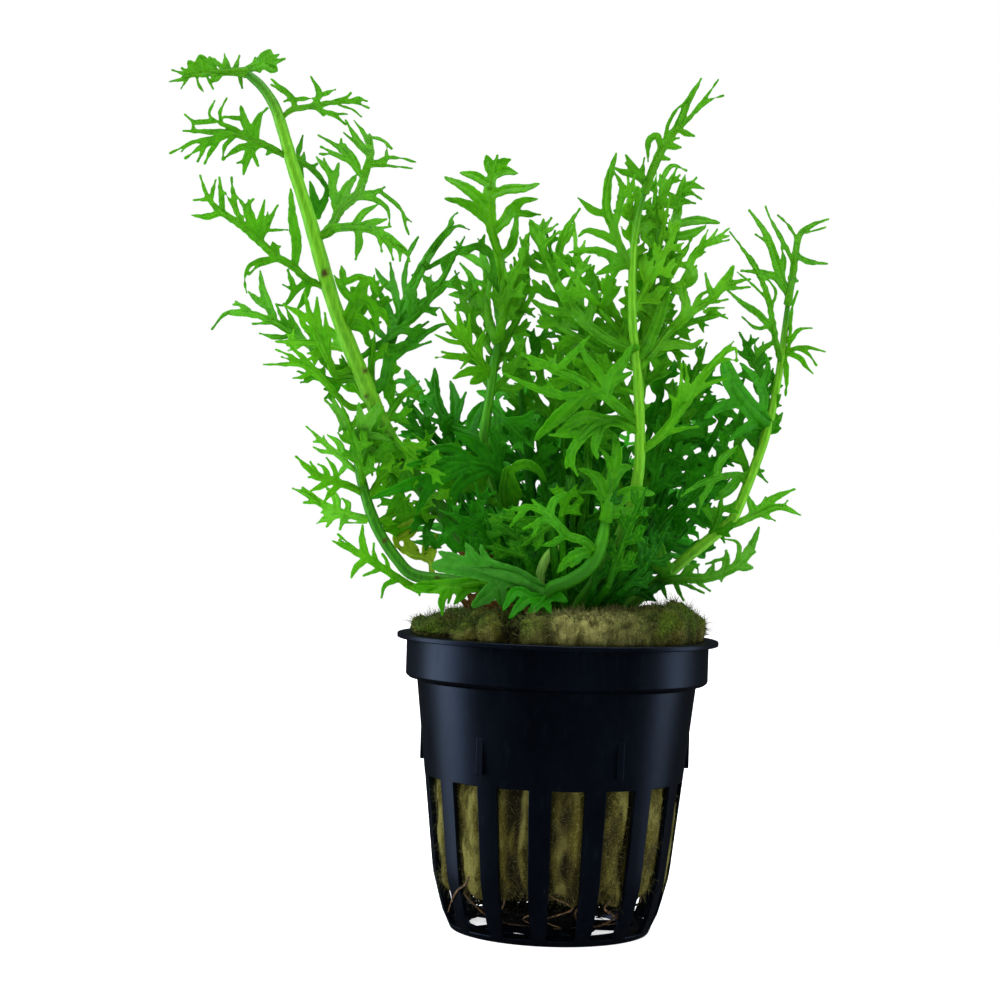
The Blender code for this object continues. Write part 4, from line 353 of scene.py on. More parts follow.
        (2.2, -4.7, 117, -6.9, 121.1), (0.7, -4.8, 119.4, -3.3, 121.6), (0.7, -4.8, 118.6, -2.2, 120.6),
        (0.8, -4.4, 117, -1.8, 119.4), (1.3, -2.6, 111.8, -1.8, 116, -0.8, 119.6, 1.6, 123.4),
        (1.2, -1.4, 117, 0.6, 119.9), (1.4, -0.4, 108.4, 1.4, 112, 3.6, 115.4),
        (1.6, 1.8, 105.4, -3, 105.8, -6.6, 107.6), (1.6, 3.6, 104, 4.4, 108, 4.2, 112.4),
        (1.5, -2.8, 112.4, -6, 113.4, -8.2, 116.6))),
    Leaf("leaf_middle_left_top", "stem_middle", "fresh", (
        (1.5, 10.6, 113.4, 8.8, 116.8, 7.2, 120.6, 6.2, 123.4, 6.2, 127.6, 6.9, 130.6, 7.5, 133),
        (1.3, 6.6, 122.4, 3.8, 123.2, 1.2, 125.2), (1.4, 8.6, 117.3, 5.6, 119, 2.8, 119.6, 1.5, 118.6),
        (1.3, 7.6, 120.4, 8.4, 124, 8.6, 127.4, 7.2, 130),
        (1.4, 9.8, 114.2, 7, 115.7, 3.6, 116.3, 0, 115.8), (1.6, 10.2, 114, 7.5, 113.4, 4.8, 112.2),
        (0.7, 7.8, 113.6, 6.4, 115.2, 5, 115.4), (1.0, 8.2, 112.8, 7.2, 111, 7.1, 108.6),
        (1.1, 8.2, 125.6, 10, 126.6, 10.8, 129.4))),
    Leaf("leaf_middle_left", "stem_middle", "fresh", (
        (1.7, 12.5, 87, 9.8, 89, 7.3, 91, 4.6, 92.6, 1.8, 94.3, -1.8, 95.7, -5, 97, -7.6, 98.2),
        (1.4, 4.4, 91.8, 0, 91.2, -4, 92, -10.8, 94.7),
        (2.4, 3.4, 91.6, 0.4, 88.8, -2.2, 86.4, -4.9, 83.4),
        (2.0, 7.2, 91.4, 7.8, 94.6, 9.8, 97.2, 11.2, 100.2),
        (1.6, 7.4, 92.4, 5.4, 95.6, 3.4, 98, 2.4, 100.2), (1.4, 8, 93.6, 9.4, 94.6, 11.2, 95.5),
        (1.2, -2, 95.2, 0.6, 97.8, 3.8, 101.4), (0.9, -1, 91.4, -2.6, 92.8, -3.3, 94))),
    Leaf("leaf_middle_left_low", "stem_middle", "fresh", (
        (1.9, 12.6, 85.6, 9, 87.2, 6, 86.6, 3.6, 84.8, 1.6, 82, 0.5, 78.8),
        (2.2, 6.8, 87.4, 3.2, 87.6, -1.2, 84.8), (1.2, 4, 85, 0.8, 84.6, -2.5, 84.4),
        (1.0, 1.6, 82, 1.6, 79.6, 2.6, 77.6), (1.6, 6.4, 86.4, 5.4, 83, 5.9, 80.6))),
    Leaf("leaf_middle_top", "stem_middle", "fresh", (
        (1.4, 12.9, 127.4, 14, 130.8, 15.9, 135.2, 17.6, 137.4, 18.7, 139.9, 19.6, 142.3, 21.7, 146.3),
        (0.7, 18.4, 137.6, 20, 139.6, 22, 142.2, 24.6, 146.2), (0.6, 21, 140.6, 23.2, 142.6, 25.6, 143.5),
        (1.1, 18.4, 137.2, 20.8, 136.4), (0.6, 15.8, 135.4, 16.2, 138, 17.6, 140.8, 19.5, 142.4),
        (1.2, 15.2, 134, 14.4, 136.2, 13, 135.2, 13, 131.8), (1.3, 15.8, 134.6, 18.6, 134.4),
        (0.9, 15.2, 132.6, 16.7, 132.3), (0.7, 16.3, 135.6, 18.2, 136),
        (1.6, 13, 127.8, 11.4, 129.4, 10.2, 131, 9.2, 132.7), (0.8, 10.8, 130.2, 9.1, 131.4),
        (0.8, 12.1, 128.4, 12.1, 130.6, 12.4, 132.4), (1.2, 11.4, 129.2, 9, 129.8, 7, 130.6))),
    Leaf("leaf_middle_right_top", "stem_middle", "fresh", (
        (1.9, 12.9, 98.4, 15, 103, 16.4, 108, 16.6, 113, 17.4, 118, 18.2, 123, 18.8, 127, 19.4, 129.7),
        (0.9, 18.8, 127.2, 20.1, 127.8, 21.4, 129.3), (1.2, 18.6, 126.6, 20.5, 128, 22.8, 127.4),
        (0.8, 18.6, 126, 20.5, 126.6, 22.4, 125.6), (1.0, 18.2, 124.6, 19.6, 125.1, 21.3, 124.9),
        (1.5, 17.8, 121, 20.4, 121.8, 23, 122, 25.7, 121.6), (1.6, 17.8, 119, 20.6, 119.6, 23.2, 121),
        (1.1, 18.4, 125, 16.2, 126.9), (1.3, 16, 112, 14.8, 117, 15.2, 123, 15.2, 128.6),
        (1.2, 16.5, 114.6, 19.4, 116.2, 20.8, 118.6), (1.6, 17.4, 118, 15, 121, 13, 123.2),
        (0.9, 15, 128, 17, 131.2, 19.6, 130.5))),
    Leaf("leaf_middle_right_side", "stem_middle", "bright", (
        (1.4, 12.8, 96.4, 15.4, 100, 18, 103.4, 21, 106, 24, 108.2, 27, 111, 31.2, 112.2),
        (0.9, 24.8, 108.8, 24, 111, 23.4, 112.9), (1.8, 25, 109, 27, 111.8, 28.2, 114.4),
        (0.7, 26.8, 110.4, 31.2, 110.8), (0.5, 24.8, 107.9, 27.4, 108.6), (0.5, 24, 106.9, 26.8, 107.1),
        (0.9, 23.6, 106.4, 25.5, 106.1, 27.5, 105.3), (0.9, 21.2, 105.8, 22.6, 109, 24.6, 110.1),
        (1.8, 18.6, 103.6, 20.2, 106, 20.4, 109.2), (1.4, 20.1, 107, 19.6, 111, 21.9, 114.2),
        (1.3, 20, 110.6, 21.6, 112, 21.9, 113.4), (1.3, 20.2, 112.4, 21.4, 116, 24, 118.4, 27.3, 119.5),
        (0.8, 22.4, 117.2, 23.6, 120.4), (0.6, 24, 118.4, 25.2, 120.5), (0.5, 25, 119, 27.3, 120.8),
        (0.5, 23.8, 117.9, 27.3, 118.8), (1.2, 21, 115.8, 23.3, 116.6),
        (1.6, 15.6, 100, 19.2, 100.6, 21.6, 100.4, 23.4, 101.6))),
    Leaf("leaf_middle_right", "stem_middle", "bright", (
        (1.5, 13.6, 82.2, 16.5, 84.8, 19, 88, 21, 91, 22.6, 94, 25, 97.2, 28.6, 101.4),
        (1.1, 18.8, 87.8, 18.8, 90.6, 17.8, 92), (0.9, 19.2, 88.6, 19.8, 93, 19.8, 97.3),
        (0.9, 20.2, 90, 20.9, 94, 20.5, 97.2), (1.0, 21.8, 92, 24.4, 93.9, 27.6, 95),
        (0.9, 16.3, 84.7, 19.5, 86, 23, 86.6), (0.7, 24.8, 97, 27, 98.2, 29.4, 98.2),
        (0.6, 26.4, 98.8, 28.9, 100.2, 29.2, 98))),
    Leaf("leaf_right_top", "stem_right", "fresh", (
        (1.2, 37.8, 108.8, 38.4, 113, 38.8, 117, 39.4, 120, 41.4, 121.7, 44.2, 122.9),
        (1.0, 38.8, 116.6, 41, 115.5, 44.2, 115.2), (0.4, 40.6, 120.4, 43.8, 121.5),
        (0.5, 39, 119.2, 37.4, 121.6, 35.5, 123.3),
        (0.8, 38.3, 115.6, 36.4, 119, 34.3, 122.6, 33.4, 124.7),
        (1.4, 38, 110, 36.2, 113, 34.8, 117.3, 33.2, 120.6, 30.6, 124), (0.4, 34.2, 118.4, 31.8, 119.9),
        (1.0, 36.6, 112.8, 36.8, 115.4, 36.4, 117.8), (0.9, 38, 112.6, 39.3, 112.1),
        (1.3, 37.8, 109.4, 35.8, 112.4, 33, 113.4, 29.6, 113.6))),
    Leaf("leaf_right_inner", "stem_right", "fresh", (
        (1.0, 36.9, 97.4, 36, 101, 35.2, 105, 34.2, 109.4, 32.6, 113, 29.8, 117.2, 27.3, 120.3),
        (0.6, 33, 112.2, 31.9, 115, 31.1, 116.1), (0.4, 34, 109, 31.4, 111.4, 28.9, 113.3),
        (1.2, 35.6, 103, 32.8, 106.2, 30, 108, 27.3, 110.2), (0.6, 34.6, 104.2, 32.4, 103.8, 29.9, 105.7),
        (1.0, 35.4, 101.4, 33.2, 100, 32, 97.8), (0.5, 34.8, 107.2, 35.6, 110.2, 33.6, 112.8))),
    Leaf("leaf_right_outer", "stem_right", "bright", (
        (0.8, 37.2, 99.6, 39.2, 100.5, 41.4, 100.8, 44.4, 100.1),
        (0.7, 37.8, 100.3, 38.7, 102.4, 40, 103.9, 42, 104.1), (0.6, 39.6, 100.5, 41.5, 99.6, 42.9, 97.8),
        (1.0, 37.8, 99.8, 40, 98.9, 41.2, 97.4, 42.4, 96.3), (0.5, 38, 101.6, 40.1, 104),
        (0.9, 37.5, 99.4, 37.9, 95.2, 37.8, 92.4), (0.6, 38.2, 101.6, 38.4, 107, 39.3, 110.4))),
    Leaf("leaf_right_dark", "stem_right", "deep", (
        (3.2, 34.8, 87.2, 31, 91, 28.4, 94.6, 27.2, 98.4),
        (1.6, 34, 88.6, 34, 92.4, 32.4, 95.4, 29.8, 97.8), (1.8, 30.6, 91, 26.8, 90.2, 24, 88),
        (1.6, 34.6, 87.6, 31.4, 86.8, 28.4, 84.4), (1.2, 33.4, 93.4, 34.6, 96.6, 34.2, 99.4))),
    Leaf("leaf_right_cross", "stem_right", "fresh", (
        (1.1, 31.6, 76.4, 30.6, 78.4, 27.4, 78.2, 23.6, 76.8, 20.4, 74.6),
        (0.9, 30.8, 78.4, 33, 79.2, 35.2, 77.4), (1.7, 30.2, 78, 28.4, 75.8, 26.2, 74.1),
        (1.3, 26.6, 78, 26.8, 80.4, 29.8, 83.6), (1.1, 26.4, 78, 24.4, 75, 23.4, 71.6))),
    Leaf("leaf_right_low_out", "stem_right", "bright", (
        (1.3, 29.4, 69.9, 32.5, 71.4, 34.5, 72.3, 37.5, 73.3, 41, 72),
        (1.4, 32.8, 72, 36.4, 74.7, 39.8, 76.4), (1.3, 33, 71.9, 31.9, 75.1),
        (0.4, 34.8, 73.6, 34.9, 74.9), (0.4, 37.9, 73.3, 38.7, 74.4), (0.9, 34.2, 72, 36.7, 70.9))),
    Leaf("leaf_right_pale_low", "stem_right", "pale", (
        (1.6, 15.6, 58.8, 17.6, 60, 20.4, 60.4, 25.5, 60.8, 28.5, 61.9, 31, 63.5, 32.6, 66, 33.9, 69.6),
        (1.5, 30.4, 62.9, 33.1, 62.7), (1.0, 32.1, 65.3, 33.4, 65.4), (0.9, 31.6, 64.6, 32.5, 67.1),
        (0.8, 29.8, 62.8, 30.6, 65, 30.3, 67, 28, 67.5), (1.2, 28.1, 61.9, 28.6, 64, 28.4, 65.6),
        (0.9, 28, 62, 27.8, 60.2), (0.6, 28.2, 64.2, 25, 63.1), (1.3, 25.4, 61, 26.4, 62.9),
        (1.5, 21, 60.4, 22.2, 62.2, 23.8, 63), (0.8, 17.4, 59.8, 18.5, 56.9), (0.8, 19.6, 60, 21.4, 56.7),
        (0.6, 20.6, 59.9, 24.9, 58.1), (0.6, 23, 60.3, 25.9, 58.5),
        (2.2, 18, 60, 18.1, 62, 17.5, 64.2, 17.3, 66.3), (1.0, 17.6, 63.4, 16.2, 64.6),
        (1.2, 18, 62, 19.5, 62.9), (1.6, 17.8, 61.6, 15.4, 63, 13.8, 64.8))),
    Leaf("leaf_front_fan", "stem_front", "fresh", (
        (2.0, 7.7, 70.4, 8.2, 74, 8.8, 78, 9.2, 81.4, 8.8, 85),
        (1.0, 7.6, 71, 6.8, 73.8, 5.4, 74.8, 3.1, 74.7), (1.8, 7.8, 72.6, 6.7, 76, 5, 78, 2.7, 78.8),
        (1.1, 6.9, 76, 6.2, 78.2), (1.2, 8.6, 77, 7.8, 80.4, 6, 82.6),
        (1.7, 8.7, 76.8, 10, 78.8, 12, 79.6), (2.5, 8.2, 71.2, 10.2, 74, 12.8, 75.2, 15.8, 74.8),
        (1.5, 8.4, 70.8, 11, 71.8, 12.8, 72.3), (1.2, 11.6, 74.6, 13.2, 72.8, 14, 71.4))),
    Leaf("leaf_front_shoot", "stem_front", "fresh", (
        (1.5, 6.4, 64.4, 4, 66.4, 1.4, 67.2, -0.8, 69.2, -2.8, 71.2, -6.2, 72.2),
        (2.0, 6, 64.6, 3.4, 64.2, 1.4, 63, -0.3, 60.9), (1.1, 3.6, 63.8, 2, 61.9),
        (1.0, 4, 64.3, 2.6, 65.2), (1.2, 0.6, 67.2, -1.4, 65.8, -3.3, 65.4), (0.9, -3, 71.2, -5, 73.2),
        (1.3, -1.4, 69.8, -3.6, 69.6, -4.8, 67), (0.8, -3.4, 69.6, -6.4, 68.2),
        (1.0, -5.6, 72, -7.4, 70.2, -8.6, 68.6), (0.8, -6, 72, -9.4, 71.2),
        (1.4, -2, 70.4, -1.4, 73, 0.6, 74.6))),
    Leaf("leaf_inner_bright", "stem_centre", "fresh", (
        (1.9, -8.2, 66.8, -8.8, 70, -9.8, 73.6, -9.8, 76.4, -9.5, 78.8),
        (1.8, -9.6, 77.8, -6.8, 79.2, -4.4, 78.4, -2.9, 76.4), (2.8, -9.4, 77.4, -8.7, 75, -7.8, 71.6),
        (1.0, -8.4, 75, -6.4, 73.6))),
    Leaf("leaf_crown_front", "stem_front", "deep", (
        (1.6, -1.9, 57.5, -2.8, 56, -4.2, 54.6, -5, 53.3), (1.9, -2.8, 56.6, -5.6, 56, -8.4, 52.8),
        (1.8, -4.4, 56.4, -7.4, 57.4, -9.4, 54.2), (2.0, -2.4, 56.6, -0.4, 56.8, 1.4, 56),
        (1.3, -2.4, 56.2, -1.3, 53.9))),
)

BACK_LEAVES = (
    BackLeaf("leaf_back_left", (-6, 8, 55), 34, 30),
    BackLeaf("leaf_back_middle", (0, 11, 55), 48, 24),
    BackLeaf("leaf_back_right", (11, 8, 55), 45, 34),
    BackLeaf("leaf_back_tall", (8, 18, 55), 44, 44),
    BackLeaf("leaf_back_low_left", (-9, 12, 55), 30, 66),
    BackLeaf("leaf_back_low_right", (12, 14, 55), 28, 66),
    BackLeaf("leaf_back_low", (3, 16, 55), 30, 66),
)

# By carrier and tone: number, depth, breadth, x and z of foot and tip, and the sideways bow, if any
FROND_ROWS = {
    ("crown", "fresh"): (
        (0, 4, 8, 2, 88, -4.5, 121), (5, 7, 7, 0, 84, -8, 103), (7, 8, 8, 6, 86, 3, 106),
        (20, 5, 5, 17, 86, 24, 101), (29, 1, 9, 3, 64, 3, 92), (31, 0, 8, 9, 60, 18, 86),
        (37, 0, 7, -11, 72, -26, 84), (90, -8, 6, 9, 61, 16, 73), (92, -14, 5, 8.5, 59, 14.5, 76),
        (95, -14, 3, -2, 70, -12.5, 70.5), (96, -14.5, 3, -1.5, 69, -7, 65),
        (97, -14, 2.4, -6, 63.5, -12.5, 65), (98, -13, 3, -7, 66, -13, 69.5)),
    ("crown", "bright"): (
        (1, 6, 6, 5, 90, 0.5, 122),),
    ("stem_middle", "fresh"): (
        (2, -5, 7, 11.5, 99, -3, 116), (3, -2, 6, 12, 96, -5, 105), (4, -4, 6, 12.5, 92, -8, 98),
        (10, -2, 4, 12.5, 98, 14.5, 130), (11, 0, 6, 13, 90, 20, 113), (15, -4, 4, 11.5, 118, 12.5, 128),
        (16, -3, 4, 12.5, 119, 18, 131), (17, 1, 3, 14, 98, 27, 106, 0.2), (61, 1, 4, 13, 98, 21, 101),
        (63, -3, 4, 12.8, 87, 9, 96)),
    ("stem_middle", "bright"): (
        (6, -3, 6, 12, 96, 4, 113), (9, -4, 7, 13, 92, 17, 126), (13, -6, 5, 11, 106, 19, 122),
        (14, -5, 4, 11.3, 108, 9.5, 130), (62, -3, 4, 11.2, 106, 20, 117)),
    ("crown", "deep"): (
        (8, 9, 8, 4, 80, -1, 99), (12, 8, 7, 13, 80, 17, 104), (18, 6, 7, 18, 76, 26, 98),
        (19, 9, 6, 22, 78, 31, 96), (25, 3, 6, 18, 70, 29, 87), (26, 2, 7, 15, 72, 22, 92),
        (27, 2, 8, -2, 62, -13, 80), (28, 5, 9, 0, 62, -4, 90), (30, 3, 9, 6, 62, 10, 90),
        (32, 1, 7, 12, 58, 23, 76), (33, -3, 6, 11, 57, 20, 67), (34, 0, 7, -4, 60, -17, 70),
        (35, 3, 7, -6, 62, -22, 78), (36, 2, 7, -12, 72, -29, 91), (38, 12, 8, -4, 66, -12, 88),
        (39, 13, 9, 2, 70, -3, 98), (40, 13, 9, 8, 70, 8, 100), (41, 12, 9, 13, 66, 19, 94),
        (42, 11, 8, 16, 64, 28, 82), (44, -9, 5, -9, 60, -21, 71, -0.15), (45, -8, 6, -7, 62, -15, 76),
        (46, -10, 5, -6, 60, -12, 71), (65, 6, 5, 19, 82, 24.5, 95), (66, 7, 5, -8, 95, -3, 104),
        (67, 5, 5, -19, 80, -27, 90), (68, 6, 6, -13, 75, -28, 86), (69, 7, 6, -9, 76, -20, 87),
        (70, 8, 6, -6, 76, -8, 92), (71, 7, 6, -3, 74, -5, 87), (74, 14, 7, -2, 57, -7, 75),
        (75, 15, 7, 2, 57, 1, 77), (76, 14, 7, 6, 57, 9, 76), (77, 13, 7, 9, 57, 16, 72),
        (78, -4, 6, 1, 57, -1, 70), (79, -5, 6, 4, 57, 6, 70), (87, -5, 5, 4, 57, -5, 65),
        (88, -9, 5, 7, 57, 12, 66), (89, -11, 4, 8, 57, 15, 61), (91, -6, 6, -3, 60, -9, 72),
        (93, -13, 5, 11, 58, 19, 71), (94, -13, 4, 6, 58, 9.5, 76)),
    ("stem_right", "fresh"): (
        (21, 4, 5, 33, 82, 32, 102), (24, -2, 4, 25.5, 67.5, 27.5, 75), (64, 2, 4, 32, 77.5, 29, 86)),
    ("stem_right", "deep"): (
        (22, 5, 4, 35, 90, 29.5, 103), (23, 3, 4, 33.5, 83, 27.5, 91)),
    ("stem_centre", "deep"): (
        (43, -5, 6, -12.7, 89, -5, 82), (59, 3, 1.6, -11.7, 103, -27, 111, -0.62)),
    ("stem_tall", "bright"): (
        (47, -1, 6, -17, 68, -31, 79), (52, -9, 4, -32, 87, -34.5, 76), (53, -2, 5, -26, 77, -33, 89),
        (55, -4, 4, -33, 88, -38.5, 97), (84, -5, 4, -37, 98, -50, 99), (103, -10, 5, -30, 84, -24, 78.5),
        (106, -8, 3, -24, 74, -19, 73)),
    ("stem_low_left", "bright"): (
        (48, -6, 5, -31, 67, -22, 72), (49, -13, 4, -34, 74, -38.5, 89),
        (72, -8, 4, -33.2, 72.5, -27.5, 79), (73, -9, 3, -31.5, 68.5, -26, 73.5)),
    ("stem_low_left", "fresh"): (
        (50, -12, 5, -34.8, 77, -31, 88),),
    ("stem_tall", "fresh"): (
        (51, -9, 5, -31, 85, -27, 75.5), (54, -4, 5, -31, 85, -25, 93), (83, -3, 5, -38, 101, -31, 110),
        (85, -4, 4, -35, 93, -46, 94), (86, -3, 5, -33, 90, -33, 101), (104, -10, 5, -28, 80, -20, 77),
        (105, -8, 4, -26, 77, -30, 70)),
    ("stem_tall", "deep"): (
        (56, -2, 5, -36, 96, -18, 118), (107, -9, 4, -22, 70, -23, 64), (108, -9, 5, -21, 70, -14, 65),
        (109, -9, 5, -19, 68, -12, 70.5)),
    ("stem_centre", "fresh"): (
        (57, 4, 4, -12.7, 98, -19.5, 112), (58, 3, 5, -13, 92, -20, 103), (60, 4, 3, -11.5, 104, -7, 119),
        (80, 2, 4, -12, 101, -7, 117), (81, 4, 4, -12.4, 95, -5, 110), (82, 1, 4, -12.8, 91, -7, 101)),
    ("crown", "glossy"): (
        (99, -15, 3, 0, 70.5, 2.5, 76),),
    ("crown", "withered"): (
        (100, -13, 4.5, -8.5, 54.8, -18, 57, 0.15), (101, -12, 3.5, -7, 54.5, -13.5, 54.2, 0.1),
        (102, -5, 4, -13, 60, -17.5, 68)),
}
FRONDS = sorted(Frond(number, *kind, depth, breadth, (x, z), (tip_x, tip_z), *bow)
                for kind, rows in FROND_ROWS.items()
                for number, depth, breadth, x, z, tip_x, tip_z, *bow in rows)


@dataclass
class Shell:
    """A surface in the making: points in millimetres, its faces, and values kept at its points."""

    points: Array
    tris: Array = field(default_factory=lambda: np.zeros((0, 3), int))
    quads: Array = field(default_factory=lambda: np.zeros((0, 4), int))
    values: dict[str, Array] = field(default_factory=dict)

    def valued(self, **values: float | Array) -> "Shell":
        """The same shell with more values at its points, each a number or one number a point.

        Args:
            values: The values by name.

        Returns:
            The shell itself.
        """
        for name, value in values.items():
            self.values[name] = np.broadcast_to(np.asarray(value, float), len(self.points)).copy()
        return self

    def put(self, name: str, material: Material, slot: str, *nodes: str) -> bpy.types.Object:
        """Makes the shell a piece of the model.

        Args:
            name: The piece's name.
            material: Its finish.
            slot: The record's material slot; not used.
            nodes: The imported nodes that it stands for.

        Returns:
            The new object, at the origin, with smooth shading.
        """
        mesh = bpy.data.meshes.new(name)
        mesh.vertices.add(len(self.points))
        mesh.vertices.foreach_set("co", (self.points * MM).astype(np.float32).ravel())
        corners = np.concatenate([self.tris.ravel(), self.quads.ravel()]).astype(np.int32)
        counts = np.repeat([3, 4], [len(self.tris), len(self.quads)]).astype(np.int32)
        mesh.loops.add(len(corners))
        mesh.loops.foreach_set("vertex_index", corners)
        mesh.polygons.add(len(counts))
        mesh.polygons.foreach_set("loop_start", (np.cumsum(counts) - counts).astype(np.int32))
        mesh.polygons.foreach_set("loop_total", counts)
        mesh.update(calc_edges=True)
        for key, value in self.values.items():
            mesh.attributes.new(key, "FLOAT", "POINT").data.foreach_set("value", value.astype(np.float32))
        mesh.shade_smooth()
        mesh.materials.append(material)
        piece = bpy.data.objects.new(name, mesh)
        bpy.context.scene.collection.objects.link(piece)
        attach(piece, BODY)
        if nodes:
            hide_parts(*nodes)
        log.info("%s: %d triangles", name, len(self.tris) + 2 * len(self.quads))
        return piece


def joined(shells: list[Shell]) -> Shell:
    """Several shells as one, with the values that the first of them has.

    Args:
        shells: The parts, which all keep those values.

    Returns:
        The whole.
    """
    starts = np.cumsum([0] + [len(shell.points) for shell in shells[:-1]])
    return Shell(np.concatenate([shell.points for shell in shells]),
                 np.concatenate([shell.tris + start for shell, start in zip(shells, starts)]),
                 np.concatenate([shell.quads + start for shell, start in zip(shells, starts)]),
                 {key: np.concatenate([shell.values[key] for shell in shells]) for key in shells[0].values})


def seen(x: Array, depth: Array, z: Array) -> Array:
    """Points drawn at x, z and set at a depth: each moves along its line of sight from the viewpoint."""
    scale = (VIEW_DISTANCE + depth) / VIEW_DISTANCE
    return np.stack([VIEW_X + (x - VIEW_X) * scale, depth, VIEW_HEIGHT + (z - VIEW_HEIGHT) * scale], -1)


def drawn(points: Array) -> Array:
    """The x, z at which points in space are drawn, the other way round from seen.

    Args:
        points: Places in space, a row each.

    Returns:
        Their x and z, a row each.
    """
    scale = VIEW_DISTANCE / (VIEW_DISTANCE + points[:, 1])
    return np.stack([VIEW_X + (points[:, 0] - VIEW_X) * scale,
                     VIEW_HEIGHT + (points[:, 2] - VIEW_HEIGHT) * scale], -1)


def lengths(vectors: Array) -> Array:
    """The length of each vector, kept as a last axis of one."""
    return np.maximum(np.linalg.norm(vectors, axis=-1, keepdims=True), 1e-9)


def eased(value: Array) -> Array:
    """Values clipped to 0 to 1 with a soft start and end: 3 v squared less 2 v cubed."""
    value = np.clip(value, 0.0, 1.0)
    return value * value * (3.0 - 2.0 * value)


def waves(points: Array, wavelength: float, rng: Chance, count: int = 7) -> Array:
    """A smooth uneven pattern over points, about -1 to 1.

    The sum of several sine waves that run in random directions, divided by the root of their number.

    Args:
        points: Places, one row each.
        wavelength: The mean distance between crests.
        rng: Where directions and phases come from.
        count: How many waves are added.

    Returns:
        One value for each point.
    """
    ways = rng.normal(size=(points.shape[1], count))
    ways *= math.tau / (wavelength * rng.uniform(0.7, 1.5, count)) / np.linalg.norm(ways, axis=0)
    return np.sin(points @ ways + rng.uniform(0, math.tau, count)).sum(1) / math.sqrt(count)


def smooth_path(points: Array, spacing: float) -> Array:
    """Points about a spacing apart on a Catmull-Rom curve through the given points.

    Args:
        points: The points that it passes, one row each.
        spacing: The distance between new points.

    Returns:
        The points of the curve, the last given point included.
    """
    points = np.asarray(points, float)
    ends = np.vstack([2 * points[0] - points[1], points, 2 * points[-1] - points[-2]])
    steps = np.maximum(1, np.round(lengths(np.diff(points, axis=0))[:, 0] / spacing)).astype(int)
    span = np.repeat(np.arange(len(steps)), steps)
    t = ((np.arange(len(span)) - (np.cumsum(steps) - steps)[span]) / steps[span])[:, None]
    p0, p1, p2, p3 = (ends[span + k] for k in range(4))
    path = 0.5 * (2 * p1 + (p2 - p0) * t + (2 * p0 - 5 * p1 + 4 * p2 - p3) * t * t
                  + (3 * p1 - p0 - 3 * p2 + p3) * t ** 3)
    return np.vstack([path, points[-1]])


def run_share(path: Array) -> Array:
    """How far along a path each of its points lies, from 0 to 1."""
    run = np.concatenate([[0.0], np.cumsum(lengths(np.diff(path, axis=0))[:, 0])])
    return run / run[-1]


def turned(way: Array, angle: float) -> Array:
    """A flat direction turned by an angle."""
    return np.array((way[0] * math.cos(angle) - way[1] * math.sin(angle),
                     way[0] * math.sin(angle) + way[1] * math.cos(angle)))


def offshoot(rng: Chance) -> Chance:
    """A source of chance of its own, seeded by one draw from another."""
    return np.random.default_rng(rng.integers(1 << 30))


def vertices(name: str) -> Array:
    """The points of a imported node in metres.

    Args:
        name: The node's name.

    Returns:
        A row for each point.
    """
    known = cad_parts[name].data.vertices
    points = np.empty(len(known) * 3, np.float32)
    known.foreach_get("co", points)
    return points.reshape(-1, 3)


def grid_quads(rows: int, columns: int) -> Array:
    """The faces of a grid of points kept row by row, whose last column is joined to its first.

    Args:
        rows: Rows of points.
        columns: Points in a row.

    Returns:
        Four point numbers a face.
    """
    row, column = np.meshgrid(np.arange(rows - 1), np.arange(columns), indexing="ij")
    here, after = row * columns + column, row * columns + (column + 1) % columns
    return np.stack([here, after, after + columns, here + columns], -1).reshape(-1, 4)


def end_caps(rows: int, columns: int) -> Array:
    """Triangles from such a grid's first and last row to two points that are kept after it.

    Args:
        rows: Rows of points.
        columns: Points in a row.

    Returns:
        Three point numbers a triangle.
    """
    here = np.arange(columns)
    after, last = np.roll(here, -1), (rows - 1) * columns
    first_end, last_end = (np.full(columns, rows * columns + k) for k in (0, 1))
    return np.concatenate([np.stack([after, here, first_end], -1),
                           np.stack([here + last, after + last, last_end], -1)])


def tube(path: Array, radius: Array, sides: int, ribs: int = 0, rib_depth: float = 0.0,
         side_axis: tuple[float, float, float] = (0.0, 1.0, 0.0)) -> Shell:
    """A closed tube along a path.

    Each station is a circle square to the path, with the radius times one plus the rib depth times the
    cosine of the rib count times the turn. A point closes each end.

    Args:
        path: The middle line in millimetres.
        radius: The radius at each of its points.
        sides: Points round the tube.
        ribs: Ridges round the tube.
        rib_depth: How far the ridges stand, as a share of the radius.
        side_axis: A direction that the path never runs along.

    Returns:
        The tube, with along, from 0 to 1, and rib, 1 on a ridge and 0 beside it.
    """
    heading = np.gradient(path, axis=0)
    heading /= lengths(heading)
    first = np.cross(heading, side_axis)
    first /= lengths(first)
    second = np.cross(heading, first)
    turn = np.arange(sides) * math.tau / sides
    ridge = np.cos(ribs * turn)
    reach = radius[:, None] * (1.0 + rib_depth * ridge)
    rings = (path[:, None] + first[:, None] * (reach * np.cos(turn))[..., None]
             + second[:, None] * (reach * np.sin(turn))[..., None])
    ends = np.stack([path[0] - heading[0] * radius[0] * 0.6, path[-1] + heading[-1] * radius[-1] * 0.6])
    shell = Shell(np.concatenate([rings.reshape(-1, 3), ends]), end_caps(len(path), sides),
                  grid_quads(len(path), sides))
    share = run_share(path)
    return shell.valued(along=np.concatenate([np.repeat(share, sides), [0.0, 1.0]]),
                        rib=np.concatenate([np.tile(0.5 + 0.5 * ridge, len(path)), [0.5, 0.5]]))


